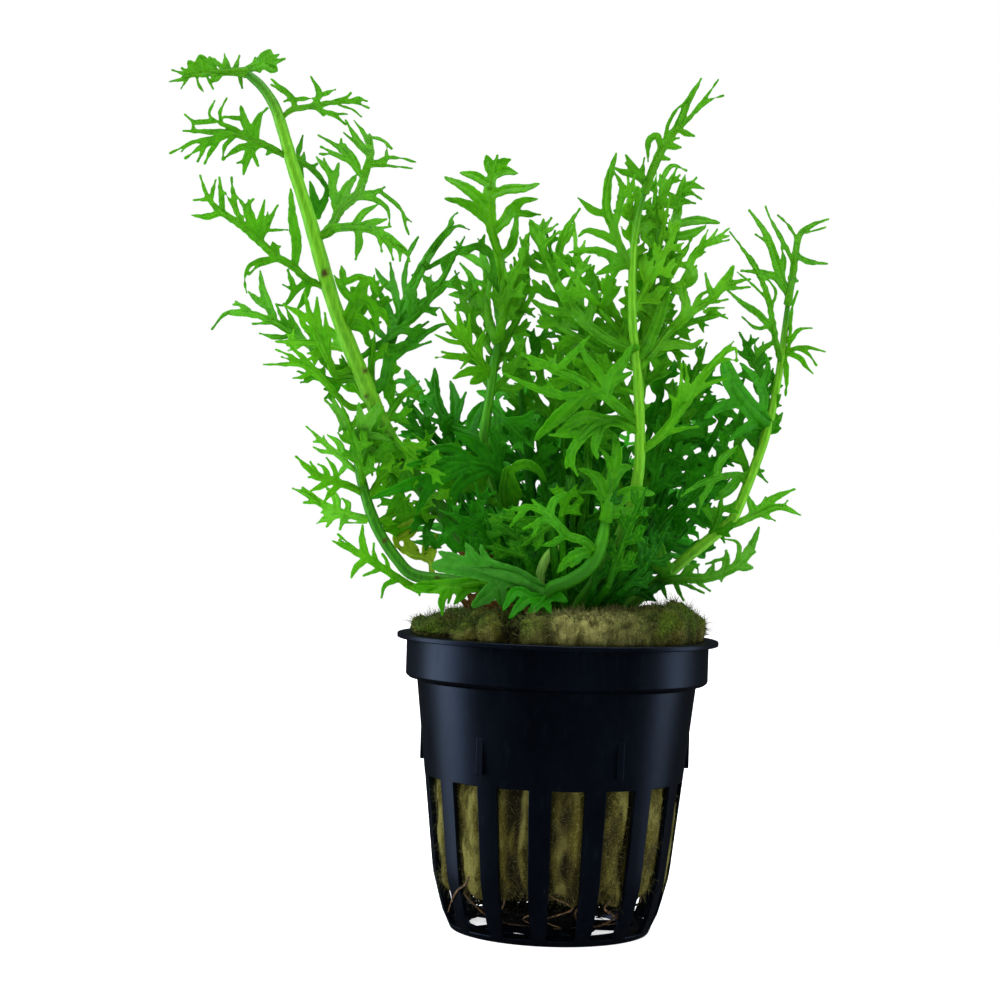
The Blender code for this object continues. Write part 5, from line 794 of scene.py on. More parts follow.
def hairs(roots: Array, ways: Array, size: Array, thickness: Array, droop: Array, rng: Chance) -> Shell:
    """Many short pointed fibres, each a bent three-sided spike of ten triangles.

    The middle of a fibre lies half its length along its way, and its tip at its full length, moved by its
    droop and by a random bend of a fifth of its length.

    Args:
        roots: Where the fibres start, one row each.
        ways: Their directions.
        size: Their lengths.
        thickness: Their radii at the root.
        droop: How far each tip sinks, in millimetres.
        rng: Where the bends come from.

    Returns:
        The fibres, with along, 0 at the root and 1 at the tip.
    """
    count = len(roots)
    ways = ways / lengths(ways)
    other = rng.normal(size=(count, 3))
    first = np.cross(ways, other)
    first /= lengths(first)
    second = np.cross(ways, first)
    bend = rng.normal(size=(count, 3)) * size[:, None] * 0.2
    middle = roots + ways * size[:, None] * 0.5 + bend * 0.35
    tips = roots + ways * size[:, None] + bend
    tips[:, 2] -= droop
    middle[:, 2] -= droop * 0.25
    turn = np.arange(3) * math.tau / 3
    ring = first[:, None] * np.cos(turn)[:, None] + second[:, None] * np.sin(turn)[:, None]
    ring *= thickness[:, None, None]
    points = np.concatenate([roots[:, None] + ring, middle[:, None] + ring * 0.7, tips[:, None]], 1)
    tris = np.array([[2, 1, 0], [3, 4, 6], [4, 5, 6], [5, 3, 6]])
    quads = np.array([[0, 1, 4, 3], [1, 2, 5, 4], [2, 0, 3, 5]])
    start = np.arange(count)[:, None, None] * 7
    shell = Shell(points.reshape(-1, 3), (tris + start).reshape(-1, 3), (quads + start).reshape(-1, 4))
    return shell.valued(along=np.tile([0, 0, 0, 0.5, 0.5, 0.5, 1.0], count))


def limb_line(limb: Limb, stalk: bool) -> tuple[Array, Array]:
    """The middle line of a limb and its half width at each point of it.

    A stalk starts at three quarters of its width, a lobe at two thirds and swells past its middle. Both
    narrow over the last three fifths: a thin one to a point, and a wide one to a round end.

    Args:
        limb: Its width and the points that it passes.
        stalk: Whether it is the leaf's stalk.

    Returns:
        Points of the middle line and the half widths there, never under half the thinnest lobe.
    """
    line = smooth_path(np.reshape(limb[1:], (-1, 2)), 0.5)
    share = run_share(line)
    if stalk:
        swell = 0.75 + 0.25 * np.minimum(1.0, share / 0.15)
    else:
        swell = 0.68 + 0.32 * np.sin(math.pi * np.minimum(1.0, 1.25 * share))
    blunt = min(1.0, max(0.0, (limb[0] - 0.8) / 0.8))
    narrow = (1.0 - np.clip((share - 0.4) / 0.6, 0.0, 1.0) ** (1.8 + 1.4 * blunt)) ** (1.0 - 0.5 * blunt)
    return line, np.maximum(0.5 * limb[0] * swell * narrow, 0.5 * THINNEST_LOBE)


class LeafCutter:
    """Cuts a flat leaf out of a grid of points, with rounded inner corners and slightly uneven margins.

    WEB is how far apart two limbs still join with a fillet. FAR is the distance that counts as outside all
    limbs. UNEVEN is how far the margin sways, in waves of SWAY_LENGTH. A grid point nearer to the margin
    than SNAP of a step moves onto it.
    """

    WEB = 0.42
    FAR = 9.0
    UNEVEN = 0.05
    SWAY_LENGTH = 1.6
    SNAP = 0.3

    def __init__(self, limbs: list[Limb], step: float, rng: Chance) -> None:
        """Works out how far each point of the grid lies outside the leaf.

        The distance outside a limb is the distance from its middle line less its half width there. The
        distances of all limbs are joined by a soft minimum, which fills the corners between them.

        Args:
            limbs: The leaf's limbs, its stalk first.
            step: The distance between grid points in millimetres.
            rng: Where the unevenness comes from.
        """
        self.step = step
        flat = np.concatenate([np.reshape(limb[1:], (-1, 2)) for limb in limbs])
        margin = max(limb[0] for limb in limbs) + 2 * step + 0.5
        low, high = flat.min(0) - margin, flat.max(0) + margin
        self.x, self.z = (np.arange(low[k], high[k] + step, step) for k in range(2))
        self.outside = np.full((len(self.x), len(self.z)), self.FAR)
        self.vein = np.full_like(self.outside, 1.0)
        self.middle = np.full_like(self.outside, self.FAR)
        for number, limb in enumerate(limbs):
            self.add(*limb_line(limb, number == 0))
        gx, gz = np.meshgrid(self.x, self.z, indexing="ij")
        self.place = np.stack([gx, gz], -1)
        sway = waves(self.place.reshape(-1, 2), self.SWAY_LENGTH, rng)
        self.outside += self.UNEVEN * sway.reshape(gx.shape)

    def add(self, line: Array, half: Array) -> None:
        """Joins one limb to the field, in the window of grid points round it.

        Args:
            line: The limb's middle line.
            half: Its half widths.
        """
        reach = half.max() + self.WEB + 2 * self.step
        window = tuple(slice(*np.searchsorted(axis, (line[:, k].min() - reach, line[:, k].max() + reach)))
                       for k, axis in enumerate((self.x, self.z)))
        place = np.stack(np.meshgrid(self.x[window[0]], self.z[window[1]], indexing="ij"), -1)[..., None, :]
        start, along = line[:-1], np.diff(line, axis=0)
        t = np.clip(((place - start) * along).sum(-1) / (along ** 2).sum(-1), 0.0, 1.0)
        away = np.linalg.norm(place - start - t[..., None] * along, axis=-1)
        width = half[:-1] + t * np.diff(half)
        nearest = (away - width).argmin(-1)[..., None]
        away, width = (np.take_along_axis(values, nearest, -1)[..., 0] for values in (away, width))
        old = self.outside[window]
        soft = np.maximum(self.WEB - np.abs(old - away + width), 0.0) / self.WEB
        self.outside[window] = np.minimum(old, away - width) - 0.25 * self.WEB * soft ** 2
        self.vein[window] = np.minimum(self.vein[window], np.minimum(1.0, away / width))
        self.middle[window] = np.minimum(self.middle[window], away)

    def cut(self) -> tuple[Array, Array, Array]:
        """Cuts the grid along the leaf's margin.

        Grid points close to the margin are moved onto it. Each square of the grid is split in two
        triangles, with the diagonals turned about, and a triangle that the margin crosses keeps its part
        inside. Only the largest connected part stays, so that no crumb hangs in the air.

        Returns:
            Points as x, z; triangles; and for each point its depth inside the leaf, its share of the way
            from a midrib to the margin and its distance from the nearest midrib.
        """
        outside, step = self.outside, self.step
        slope = np.stack(np.gradient(outside, step), -1)
        steep = np.maximum((slope ** 2).sum(-1), 0.05)
        near = np.abs(outside) < self.SNAP * step * np.sqrt(steep)
        place = self.place - np.where(near, outside / steep, 0.0)[..., None] * slope
        outside = np.where(near, 0.0, outside).ravel()
        place, inside, total = place.reshape(-1, 2), outside <= 0.0, outside.size
        index = np.arange(total).reshape(self.outside.shape)
        c00, c10, c11, c01 = index[:-1, :-1], index[1:, :-1], index[1:, 1:], index[:-1, 1:]
        even = (np.add.outer(*map(np.arange, c00.shape)) % 2 == 0)[..., None]
        tris = np.concatenate([np.where(even, np.stack([c00, c10, c11], -1), np.stack([c00, c10, c01], -1)),
                               np.where(even, np.stack([c00, c11, c01], -1), np.stack([c10, c11, c01], -1))])
        tris = tris.reshape(-1, 3)
        count = inside[tris].sum(1)

        def odd_first(chosen: Array, odd: Array) -> tuple[Array, ...]:
            """The corners of some triangles, the odd one out first."""
            order = (odd.argmax(1)[:, None] + np.arange(3)) % 3
            return tuple(np.take_along_axis(chosen, order, 1).T)

        def crossing(within: Array, beyond: Array) -> Array:
            """The number of the margin's point on the side between an inner and an outer point."""
            return np.where(outside[within] == 0.0, within, total + within * total + beyond)

        one, two = tris[count == 1], tris[count == 2]
        inner, out_a, out_b = odd_first(one, inside[one])
        outer, in_a, in_b = odd_first(two, ~inside[two])
        tris = np.concatenate([tris[count == 3],
                               np.stack([inner, crossing(inner, out_a), crossing(inner, out_b)], -1),
                               np.stack([in_a, in_b, crossing(in_b, outer)], -1),
                               np.stack([in_a, crossing(in_b, outer), crossing(in_a, outer)], -1)])
        tris = tris[(tris[:, 0] != tris[:, 1]) & (tris[:, 1] != tris[:, 2]) & (tris[:, 2] != tris[:, 0])]
        names, tris = np.unique(tris, return_inverse=True)
        tris = tris.reshape(-1, 3)
        within = np.where(names < total, names, (names - total) // total)
        beyond = np.where(names < total, names, (names - total) % total)
        gap = outside[within] - outside[beyond]
        share = np.where(names < total, 0.0, outside[within] / np.where(gap == 0.0, 1.0, gap))[:, None]
        fields = np.stack([-self.outside.ravel(), self.vein.ravel(), self.middle.ravel()], -1)
        points = place[within] * (1 - share) + place[beyond] * share
        values = fields[within] * (1 - share) + fields[beyond] * share
        kept = largest_part(len(points), tris)
        return points, tris[kept[tris[:, 0]]], values


def largest_part(count: int, tris: Array) -> Array:
    """Which points belong to the largest connected part of some triangles.

    Each point takes the smallest number among its neighbours, over and over, until none changes.

    Args:
        count: How many points there are.
        tris: The triangles.

    Returns:
        True for each point of the largest part.
    """
    label = np.arange(count)
    sides = np.concatenate([tris[:, :2], tris[:, 1:], tris[:, ::2]])
    while True:
        low = label[sides].min(1)
        fresh = label.copy()
        np.minimum.at(fresh, sides[:, 0], low)
        np.minimum.at(fresh, sides[:, 1], low)
        fresh = fresh[fresh]
        if (fresh == label).all():
            return label == np.bincount(label[tris[:, 0]]).argmax()
        label = fresh


def leaf_shell(limbs: list[Limb], place: Callable[[Array, Array], Array], step: float, rng: Chance,
               stalk_radius: float = 0.0) -> Shell:
    """A thin closed leaf with a raised midrib.

    The flat leaf is cut from a grid, set in space by a function of its points, and thickened to both sides
    along its normals, by a rounded profile that is thinner at the margin. A strip closes the margin. The
    midrib is a tube along the first limb. Its radius is the stalk's, times the share of it that is left
    raised to 2.5, plus 0.3 of the limb's width, times that share raised to 0.7, plus 0.07.

    Args:
        limbs: The leaf's limbs, its stalk first.
        place: Gives points in space from flat points and their distances from the nearest midrib.
        step: The grid's step in millimetres.
        rng: Where the unevenness comes from.
        stalk_radius: The midrib's extra radius at its foot.

    Returns:
        The shell, with vein, 0 on a midrib and 1 at the margin, and reach, 0 at the foot and 1 at the tips.
    """
    flat, tris, values = LeafCutter(limbs, step, rng).cut()
    used, tris = np.unique(tris, return_inverse=True)
    tris = tris.reshape(-1, 3)
    flat, (inner, vein, middle) = flat[used], values[used].T
    sheet = place(flat, middle)
    corner = sheet[tris]
    face = np.cross(corner[:, 1] - corner[:, 0], corner[:, 2] - corner[:, 0])
    normal = np.zeros_like(sheet)
    for k in range(3):
        np.add.at(normal, tris[:, k], face)
    normal /= lengths(normal)
    round_in = np.clip(inner / 0.45, 0.0, 1.0)
    half = LEAF_THICKNESS * (0.22 + 0.28 * np.sqrt(1.0 - (1.0 - round_in) ** 2))[:, None]
    sides = np.concatenate([tris[:, :2], tris[:, 1:], tris[:, [2, 0]]])
    code = sides[:, 0] * len(sheet) + sides[:, 1]
    rim = sides[~np.isin(code, sides[:, 1] * len(sheet) + sides[:, 0])]
    back = len(sheet)
    quads = np.stack([rim[:, 1], rim[:, 0], rim[:, 0] + back, rim[:, 1] + back], -1)
    away = np.linalg.norm(flat - np.asarray(limbs[0][1:3]), axis=1)
    shell = Shell(np.concatenate([sheet + normal * half, sheet - normal * half]),
                  np.concatenate([tris, tris[:, ::-1] + back]), quads)
    shell.valued(vein=np.tile(vein, 2), reach=np.tile(away / away.max(), 2))
    line = smooth_path(np.reshape(limbs[0][1:], (-1, 2)), 0.7)
    left = 1.0 - run_share(line)
    radius = stalk_radius * left ** 2.5 + 0.3 * limbs[0][0] * left ** 0.7 + 0.07
    rib = tube(place(line, np.zeros(len(line))), radius, 8)
    return joined([shell, rib.valued(vein=0.25, reach=0.5 * rib.values["along"])])


class NodeKit:
    """One material in the making, with short calls for the nodes that the finishes use."""

    def __init__(self, name: str) -> None:
        """Starts an empty node material.

        Args:
            name: The material's name.
        """
        self.material = bpy.data.materials.new(name)
        self.material.use_nodes = True
        self.tree = self.material.node_tree
        self.tree.nodes.clear()

    def node(self, kind: str, inputs: dict | None = None, **settings: object) -> bpy.types.Node:
        """Adds one node.

        Args:
            kind: Its type name.
            inputs: Values or sockets for its inputs, by name or number.
            settings: Its own properties.

        Returns:
            The node.
        """
        node = self.tree.nodes.new(kind)
        for key, value in settings.items():
            setattr(node, key, value)
        for key, value in (inputs or {}).items():
            if isinstance(value, Socket):
                self.tree.links.new(value, node.inputs[key])
            else:
                node.inputs[key].default_value = value
        return node

    def kept(self, name: str) -> Socket:
        """The value that a piece keeps at its points under a name."""
        return self.node("ShaderNodeAttribute", attribute_name=name).outputs["Fac"]

    def place(self, stretch: tuple[float, float, float] = (1.0, 1.0, 1.0)) -> Socket:
        """Object coordinates in millimetres, stretched along each axis.

        Args:
            stretch: How much the pattern is squeezed along each axis.

        Returns:
            The coordinates.
        """
        whole = self.node("ShaderNodeTexCoord").outputs["Object"]
        scale = tuple(s / MM for s in stretch)
        return self.node("ShaderNodeMapping", {"Vector": whole, "Scale": scale}).outputs["Vector"]

    def noise(self, place: Socket, per_mm: float, detail: float = 3.0) -> Socket:
        """A cloudy pattern from 0 to 1 with so many features a millimetre."""
        inputs = {"Vector": place, "Scale": per_mm, "Detail": detail}
        return self.node("ShaderNodeTexNoise", inputs).outputs["Fac"]

    def fit(self, value: Socket, low: float, high: float) -> Socket:
        """A value spread so that low becomes 0 and high becomes 1, clipped."""
        inputs = {"Value": value, "From Min": low, "From Max": high}
        return self.node("ShaderNodeMapRange", inputs).outputs["Result"]

    def sum(self, operation: str, *values: Socket | float) -> Socket:
        """One step of arithmetic on one to three values."""
        return self.node("ShaderNodeMath", dict(enumerate(values)), operation=operation).outputs[0]

    def mix(self, share: Socket | float, first: Paint, second: Paint) -> Socket:
        """A colour between two colours."""
        inputs = {0: share, 6: rgba(first), 7: rgba(second)}
        return self.node("ShaderNodeMix", inputs, data_type="RGBA").outputs[2]

    def bump(self, height: Socket, distance: float) -> Socket:
        """A normal tilted by a height pattern, whose full height is given in millimetres."""
        inputs = {"Height": height, "Distance": distance * MM}
        return self.node("ShaderNodeBump", inputs).outputs["Normal"]

    def finish(self, shader: Socket) -> Material:
        """The material with this shader on its surface."""
        self.node("ShaderNodeOutputMaterial", {"Surface": shader})
        return self.material


def rgba(colour: Paint) -> tuple[float, ...] | Socket:
    """A colour with its alpha, or a socket as it is."""
    return (*colour, 1.0) if isinstance(colour, tuple) else colour


@dataclass(frozen=True)
class LeafFinish:
    """A thin leaf: satin skin, paler veins, margins painted paler as a highlight, cloudy patches, and light
    from behind.

    Its colour runs from deep to light with the reach kept at its points, with its height, with a cloudy
    pattern and with its tint. The height paints light: leaves turn lighter and yellower towards the top of
    the plant, where the light falls. A stalk that keeps a reach below 0 stays deep, as painted shade.
    """

    name: str
    deep: Colour
    light: Colour
    vein: Colour
    glow: Colour
    roughness: float = 0.45
    spotted: bool = False
    painted_top_light: Colour = (0.112, 0.340, 0.010)
    spot: Colour = (0.02, 0.012, 0.004)

    def build(self) -> Material:
        """Makes the material: a Principled skin mixed with a Translucent body.

        Returns:
            The material.
        """
        kit = NodeKit(self.name)
        place = kit.place()
        vein, reach, tint = (kit.kept(name) for name in ("vein", "reach", "tint"))
        cloud = kit.noise(place, 0.22, 2.0)
        # Painted light: lighter and yellower towards the top of the plant, where the light falls.
        top = kit.fit(kit.node("ShaderNodeSeparateXYZ", {0: place}).outputs[2], 80.0, 125.0)
        share = kit.sum("ADD", kit.sum("MULTIPLY_ADD", reach, 0.30, kit.sum("MULTIPLY_ADD", top, 0.20, 0.12)),
                        kit.sum("MULTIPLY_ADD", kit.fit(cloud, 0.3, 0.7), 0.40, tint))
        colour = kit.mix(kit.fit(share, 0.0, 1.0), self.deep, self.light)
        colour = kit.mix(kit.sum("MULTIPLY", top, 0.5), colour, self.painted_top_light)
        # Veins are paler in their own colour; the margins are painted paler as a highlight, where the edge
        # catches light.
        rib = kit.sum("MULTIPLY", kit.fit(vein, 0.42, 0.05), 0.35)
        rib = kit.sum("MAXIMUM", rib, kit.sum("MULTIPLY", kit.fit(vein, 0.84, 0.97), 0.4))
        colour = kit.mix(rib, colour, self.vein)
        patch = kit.fit(kit.noise(place, 0.75, 3.0), 0.50, 0.64)
        colour = kit.mix(kit.sum("MULTIPLY", patch, 0.35), colour, self.deep)
        speck = kit.fit(kit.noise(place, 1.7, 3.0), 0.56, 0.66)
        colour = kit.mix(kit.sum("MULTIPLY", speck, 0.30), colour, self.vein)
        if self.spotted:
            spots = kit.fit(kit.noise(place, 0.9, 1.0), 0.67, 0.72)
            colour = kit.mix(spots, colour, self.spot)
        fine = kit.noise(place, 1.6, 3.0)
        height = kit.sum("MULTIPLY_ADD", fine, 1.6, kit.fit(vein, 0.0, 0.5))
        normal = kit.bump(height, 0.09)
        skin = kit.node("ShaderNodeBsdfPrincipled", {
            "Base Color": colour, "Roughness": self.roughness, "Normal": normal, "Specular IOR Level": 0.12})
        lit = kit.mix(0.5, colour, self.glow)
        body = kit.node("ShaderNodeBsdfTranslucent", {"Color": lit, "Normal": normal})
        both = kit.node("ShaderNodeMixShader", {0: 0.40, 1: skin.outputs[0], 2: body.outputs[0]})
        return kit.finish(both.outputs[0])


LEAF_FINISHES = {
    Tone.FRESH: LeafFinish("leaf_fresh", (0.012, 0.155, 0.001), (0.100, 0.480, 0.004), (0.13, 0.50, 0.010),
                           (0.15, 0.62, 0.004)),
    Tone.BRIGHT: LeafFinish("leaf_bright", (0.038, 0.260, 0.002), (0.145, 0.550, 0.005), (0.18, 0.55, 0.015),
                            (0.25, 0.72, 0.004)),
    # The deep tone is a darker green painted as shade, for leaves and fronds inside the plant and at its
    # back.
    Tone.DEEP: LeafFinish("leaf_deep", (0.005, 0.110, 0.001), (0.034, 0.385, 0.003), (0.06, 0.40, 0.007),
                          (0.05, 0.42, 0.002)),
    Tone.PALE: LeafFinish("leaf_pale", (0.035, 0.220, 0.006), (0.125, 0.460, 0.025), (0.18, 0.50, 0.045),
                          (0.18, 0.60, 0.015)),
    Tone.BLUE: LeafFinish("leaf_bluish", (0.010, 0.140, 0.003), (0.070, 0.375, 0.026), (0.11, 0.42, 0.05),
                          (0.10, 0.48, 0.02)),
    Tone.GLOSSY: LeafFinish("leaf_glossy", (0.018, 0.190, 0.001), (0.100, 0.480, 0.004), (0.14, 0.50, 0.012),
                            (0.13, 0.58, 0.004), 0.25),
    Tone.OLD: LeafFinish("leaf_old", (0.130, 0.270, 0.006), (0.290, 0.500, 0.015), (0.34, 0.52, 0.04),
                         (0.42, 0.62, 0.01), 0.45, True),
    Tone.WITHERED: LeafFinish("leaf_withered", (0.110, 0.055, 0.010), (0.270, 0.140, 0.028),
                              (0.32, 0.19, 0.05), (0.38, 0.19, 0.03), 0.6, True),
}
TONE_SLOTS = {Tone.FRESH: "leaf_fresh", Tone.BRIGHT: "leaf_bright", Tone.DEEP: "leaf_deep",
              Tone.PALE: "leaf_pale", Tone.BLUE: "leaf_pale", Tone.GLOSSY: "leaf_fresh",
              Tone.OLD: "leaf_old", Tone.WITHERED: "leaf_old"}


@dataclass(frozen=True)
class StemFinish:
    """A soft ribbed stem: pale ridges on green, painted shade low down and a deep leaf green towards its tip,
    brown specks, satin.
    """

    name: str
    valley: Colour
    ridge: Colour
    # Deep green: painted shade low on a stem, and the leaf's own colour towards its tip.
    shaded: Colour = (0.018, 0.150, 0.002)
    speck: Colour = (0.05, 0.022, 0.006)

    def build(self) -> Material:
        """Makes the material, with light that spreads a little under the skin.

        Returns:
            The material.
        """
        kit = NodeKit(self.name)
        place = kit.place((1.0, 1.0, 0.2))
        streak = kit.fit(kit.noise(place, 2.2, 3.0), 0.35, 0.7)
        share = kit.sum("ADD", kit.sum("MULTIPLY", kit.kept("rib"), 0.5), kit.sum("MULTIPLY", streak, 0.5))
        colour = kit.mix(share, self.valley, self.ridge)
        # Painted shade low down, leaf green towards the tip.
        colour = kit.mix(kit.kept("shaded"), colour, self.shaded)
        colour = kit.mix(kit.kept("speck"), colour, self.speck)
        normal = kit.bump(kit.noise(kit.place(), 4.0, 2.0), 0.06)
        skin = kit.node("ShaderNodeBsdfPrincipled", {
            "Base Color": colour, "Roughness": 0.45, "Normal": normal, "Specular IOR Level": 0.2,
            "Subsurface Weight": 0.2, "Subsurface Radius": (0.0006, 0.0012, 0.0002), "Subsurface Scale": 1.0})
        return kit.finish(skin.outputs[0])


STEM_FINISHES = {
    Tone.PALE: StemFinish("stem_pale", (0.060, 0.270, 0.003), (0.185, 0.500, 0.018)),
    Tone.FRESH: StemFinish("stem_fresh", (0.022, 0.180, 0.002), (0.085, 0.370, 0.008)),
    Tone.DEEP: StemFinish("stem_deep", (0.010, 0.110, 0.001), (0.050, 0.280, 0.005)),
    Tone.CUT: StemFinish("stem_cut_pale", (0.140, 0.400, 0.040), (0.320, 0.620, 0.110)),
}


@dataclass(frozen=True)
class WoolFinish:
    """Matted mineral fibre: olive, khaki or mossy where the piece says so, with painted shade in its creases,
    dips and low at its front.
    """

    name: str = "rock_wool"
    felt: tuple[Colour, Colour] = ((0.014, 0.012, 0.001), (0.085, 0.078, 0.013))
    cloud: Colour = (0.062, 0.052, 0.007)
    wisp: Colour = (0.165, 0.155, 0.040)
    # The colour of painted shade in hollows of the felt.
    hollow: Colour = (0.010, 0.008, 0.001)
    fleck: Colour = (0.200, 0.195, 0.055)
    khaki: Colour = (0.270, 0.270, 0.085)
    moss: tuple[Colour, Colour] = ((0.012, 0.026, 0.001), (0.075, 0.135, 0.008))
    # The colour of painted shade in creases and dips of the body and low at its front.
    painted_crease_shade: Colour = (0.012, 0.010, 0.003)

    def build(self) -> Material:
        """Makes the material from streaky clouds and the moss, khaki and painted shade kept at the points.

        Returns:
            The material.
        """
        kit = NodeKit(self.name)
        moss, shade = kit.kept("moss"), kit.kept("shade")
        felt = kit.noise(kit.place((1.2, 1.2, 0.25)), 1.0, 6.0)
        cloud = kit.noise(kit.place(), 0.16, 3.0)
        wisp = kit.noise(kit.place((1.0, 1.0, 0.45)), 0.24, 4.0)
        fleck = kit.noise(kit.place(), 3.2, 4.0)
        colour = kit.mix(kit.fit(felt, 0.32, 0.68), *self.felt)
        colour = kit.mix(kit.fit(cloud, 0.35, 0.65), colour, self.cloud)
        colour = kit.mix(kit.sum("MULTIPLY", kit.fit(wisp, 0.53, 0.62), 0.7), colour, self.wisp)
        # Dark patches laid by a pattern, painted as shade in hollows of the felt.
        colour = kit.mix(kit.sum("MULTIPLY", kit.fit(wisp, 0.46, 0.38), 0.6), colour, self.hollow)
        colour = kit.mix(kit.sum("MULTIPLY", kit.fit(fleck, 0.5, 0.75), 0.5), colour, self.fleck)
        bare = kit.sum("MULTIPLY", kit.kept("khaki"), kit.fit(felt, 0.25, 0.55))
        colour = kit.mix(bare, colour, self.khaki)
        green = kit.mix(kit.fit(fleck, 0.35, 0.7), *self.moss)
        colour = kit.mix(kit.sum("MULTIPLY", moss, kit.fit(cloud, 0.25, 0.55)), colour, green)
        # Painted shade, as kept at the points.
        colour = kit.mix(shade, colour, self.painted_crease_shade)
        normal = kit.bump(kit.sum("ADD", felt, kit.sum("MULTIPLY", fleck, 0.6)), 0.55)
        skin = kit.node("ShaderNodeBsdfPrincipled", {
            "Base Color": colour, "Roughness": 0.92, "Normal": normal, "Specular IOR Level": 0.1})
        return kit.finish(skin.outputs[0])


@dataclass(frozen=True)
class FibreFinish:
    """Loose fibres: a colour at the root that turns to another at the tip, uneven from tuft to tuft."""

    name: str
    root: Colour
    tip: Colour
    other: Colour

    def build(self) -> Material:
        """Makes the material, which lets some light through.

        Returns:
            The material.
        """
        kit = NodeKit(self.name)
        colour = kit.mix(kit.kept("along"), self.root, self.tip)
        tuft = kit.fit(kit.noise(kit.place(), 0.35, 3.0), 0.42, 0.62)
        colour = kit.mix(kit.sum("MULTIPLY", tuft, 0.75), colour, self.other)
        skin = kit.node("ShaderNodeBsdfPrincipled", {"Base Color": colour, "Roughness": 0.7})
        body = kit.node("ShaderNodeBsdfTranslucent", {"Color": colour})
        both = kit.node("ShaderNodeMixShader", {0: 0.25, 1: skin.outputs[0], 2: body.outputs[0]})
        return kit.finish(both.outputs[0])


@dataclass(frozen=True)
class PlasticFinish:
    """Black moulded plastic, a little blue and half glossy, with fine scuffs and a faint grain."""

    name: str = "net_pot"
    black: tuple[Colour, Colour] = ((0.0006, 0.0008, 0.0016), (0.0014, 0.0020, 0.0040))
    scuffed: Colour = (0.010, 0.013, 0.020)

    def build(self) -> Material:
        """Makes the material.

        Returns:
            The material.
        """
        kit = NodeKit(self.name)
        cloud = kit.noise(kit.place((1.0, 1.0, 0.5)), 0.12, 4.0)
        grain = kit.noise(kit.place(), 6.0, 3.0)
        scuff = kit.fit(kit.noise(kit.place((1.0, 1.0, 0.08)), 2.5, 4.0), 0.56, 0.74)
        colour = kit.mix(kit.fit(cloud, 0.3, 0.7), *self.black)
        colour = kit.mix(kit.sum("MULTIPLY", scuff, 0.22), colour, self.scuffed)
        rough = kit.sum("ADD", kit.sum("MULTIPLY_ADD", cloud, 0.10, 0.33), kit.sum("MULTIPLY", scuff, 0.10))
        skin = kit.node("ShaderNodeBsdfPrincipled", {
            "Base Color": colour, "Roughness": rough, "Normal": kit.bump(grain, 0.010),
            "Specular IOR Level": 0.3, "Specular Tint": (0.40, 0.60, 1.0, 1.0), "IOR": 1.49})
        return kit.finish(skin.outputs[0])


@dataclass(frozen=True)
class BarkFinish:
    """A thin root: two browns in streaks."""

    name: str
    dark: Colour
    light: Colour

    def build(self) -> Material:
        """Makes the material.

        Returns:
            The material.
        """
        kit = NodeKit(self.name)
        streak = kit.noise(kit.place(), 1.6, 4.0)
        colour = kit.mix(kit.fit(streak, 0.35, 0.65), self.dark, self.light)
        skin = kit.node("ShaderNodeBsdfPrincipled", {
            "Base Color": colour, "Roughness": 0.6, "Normal": kit.bump(streak, 0.15)})
        return kit.finish(skin.outputs[0])


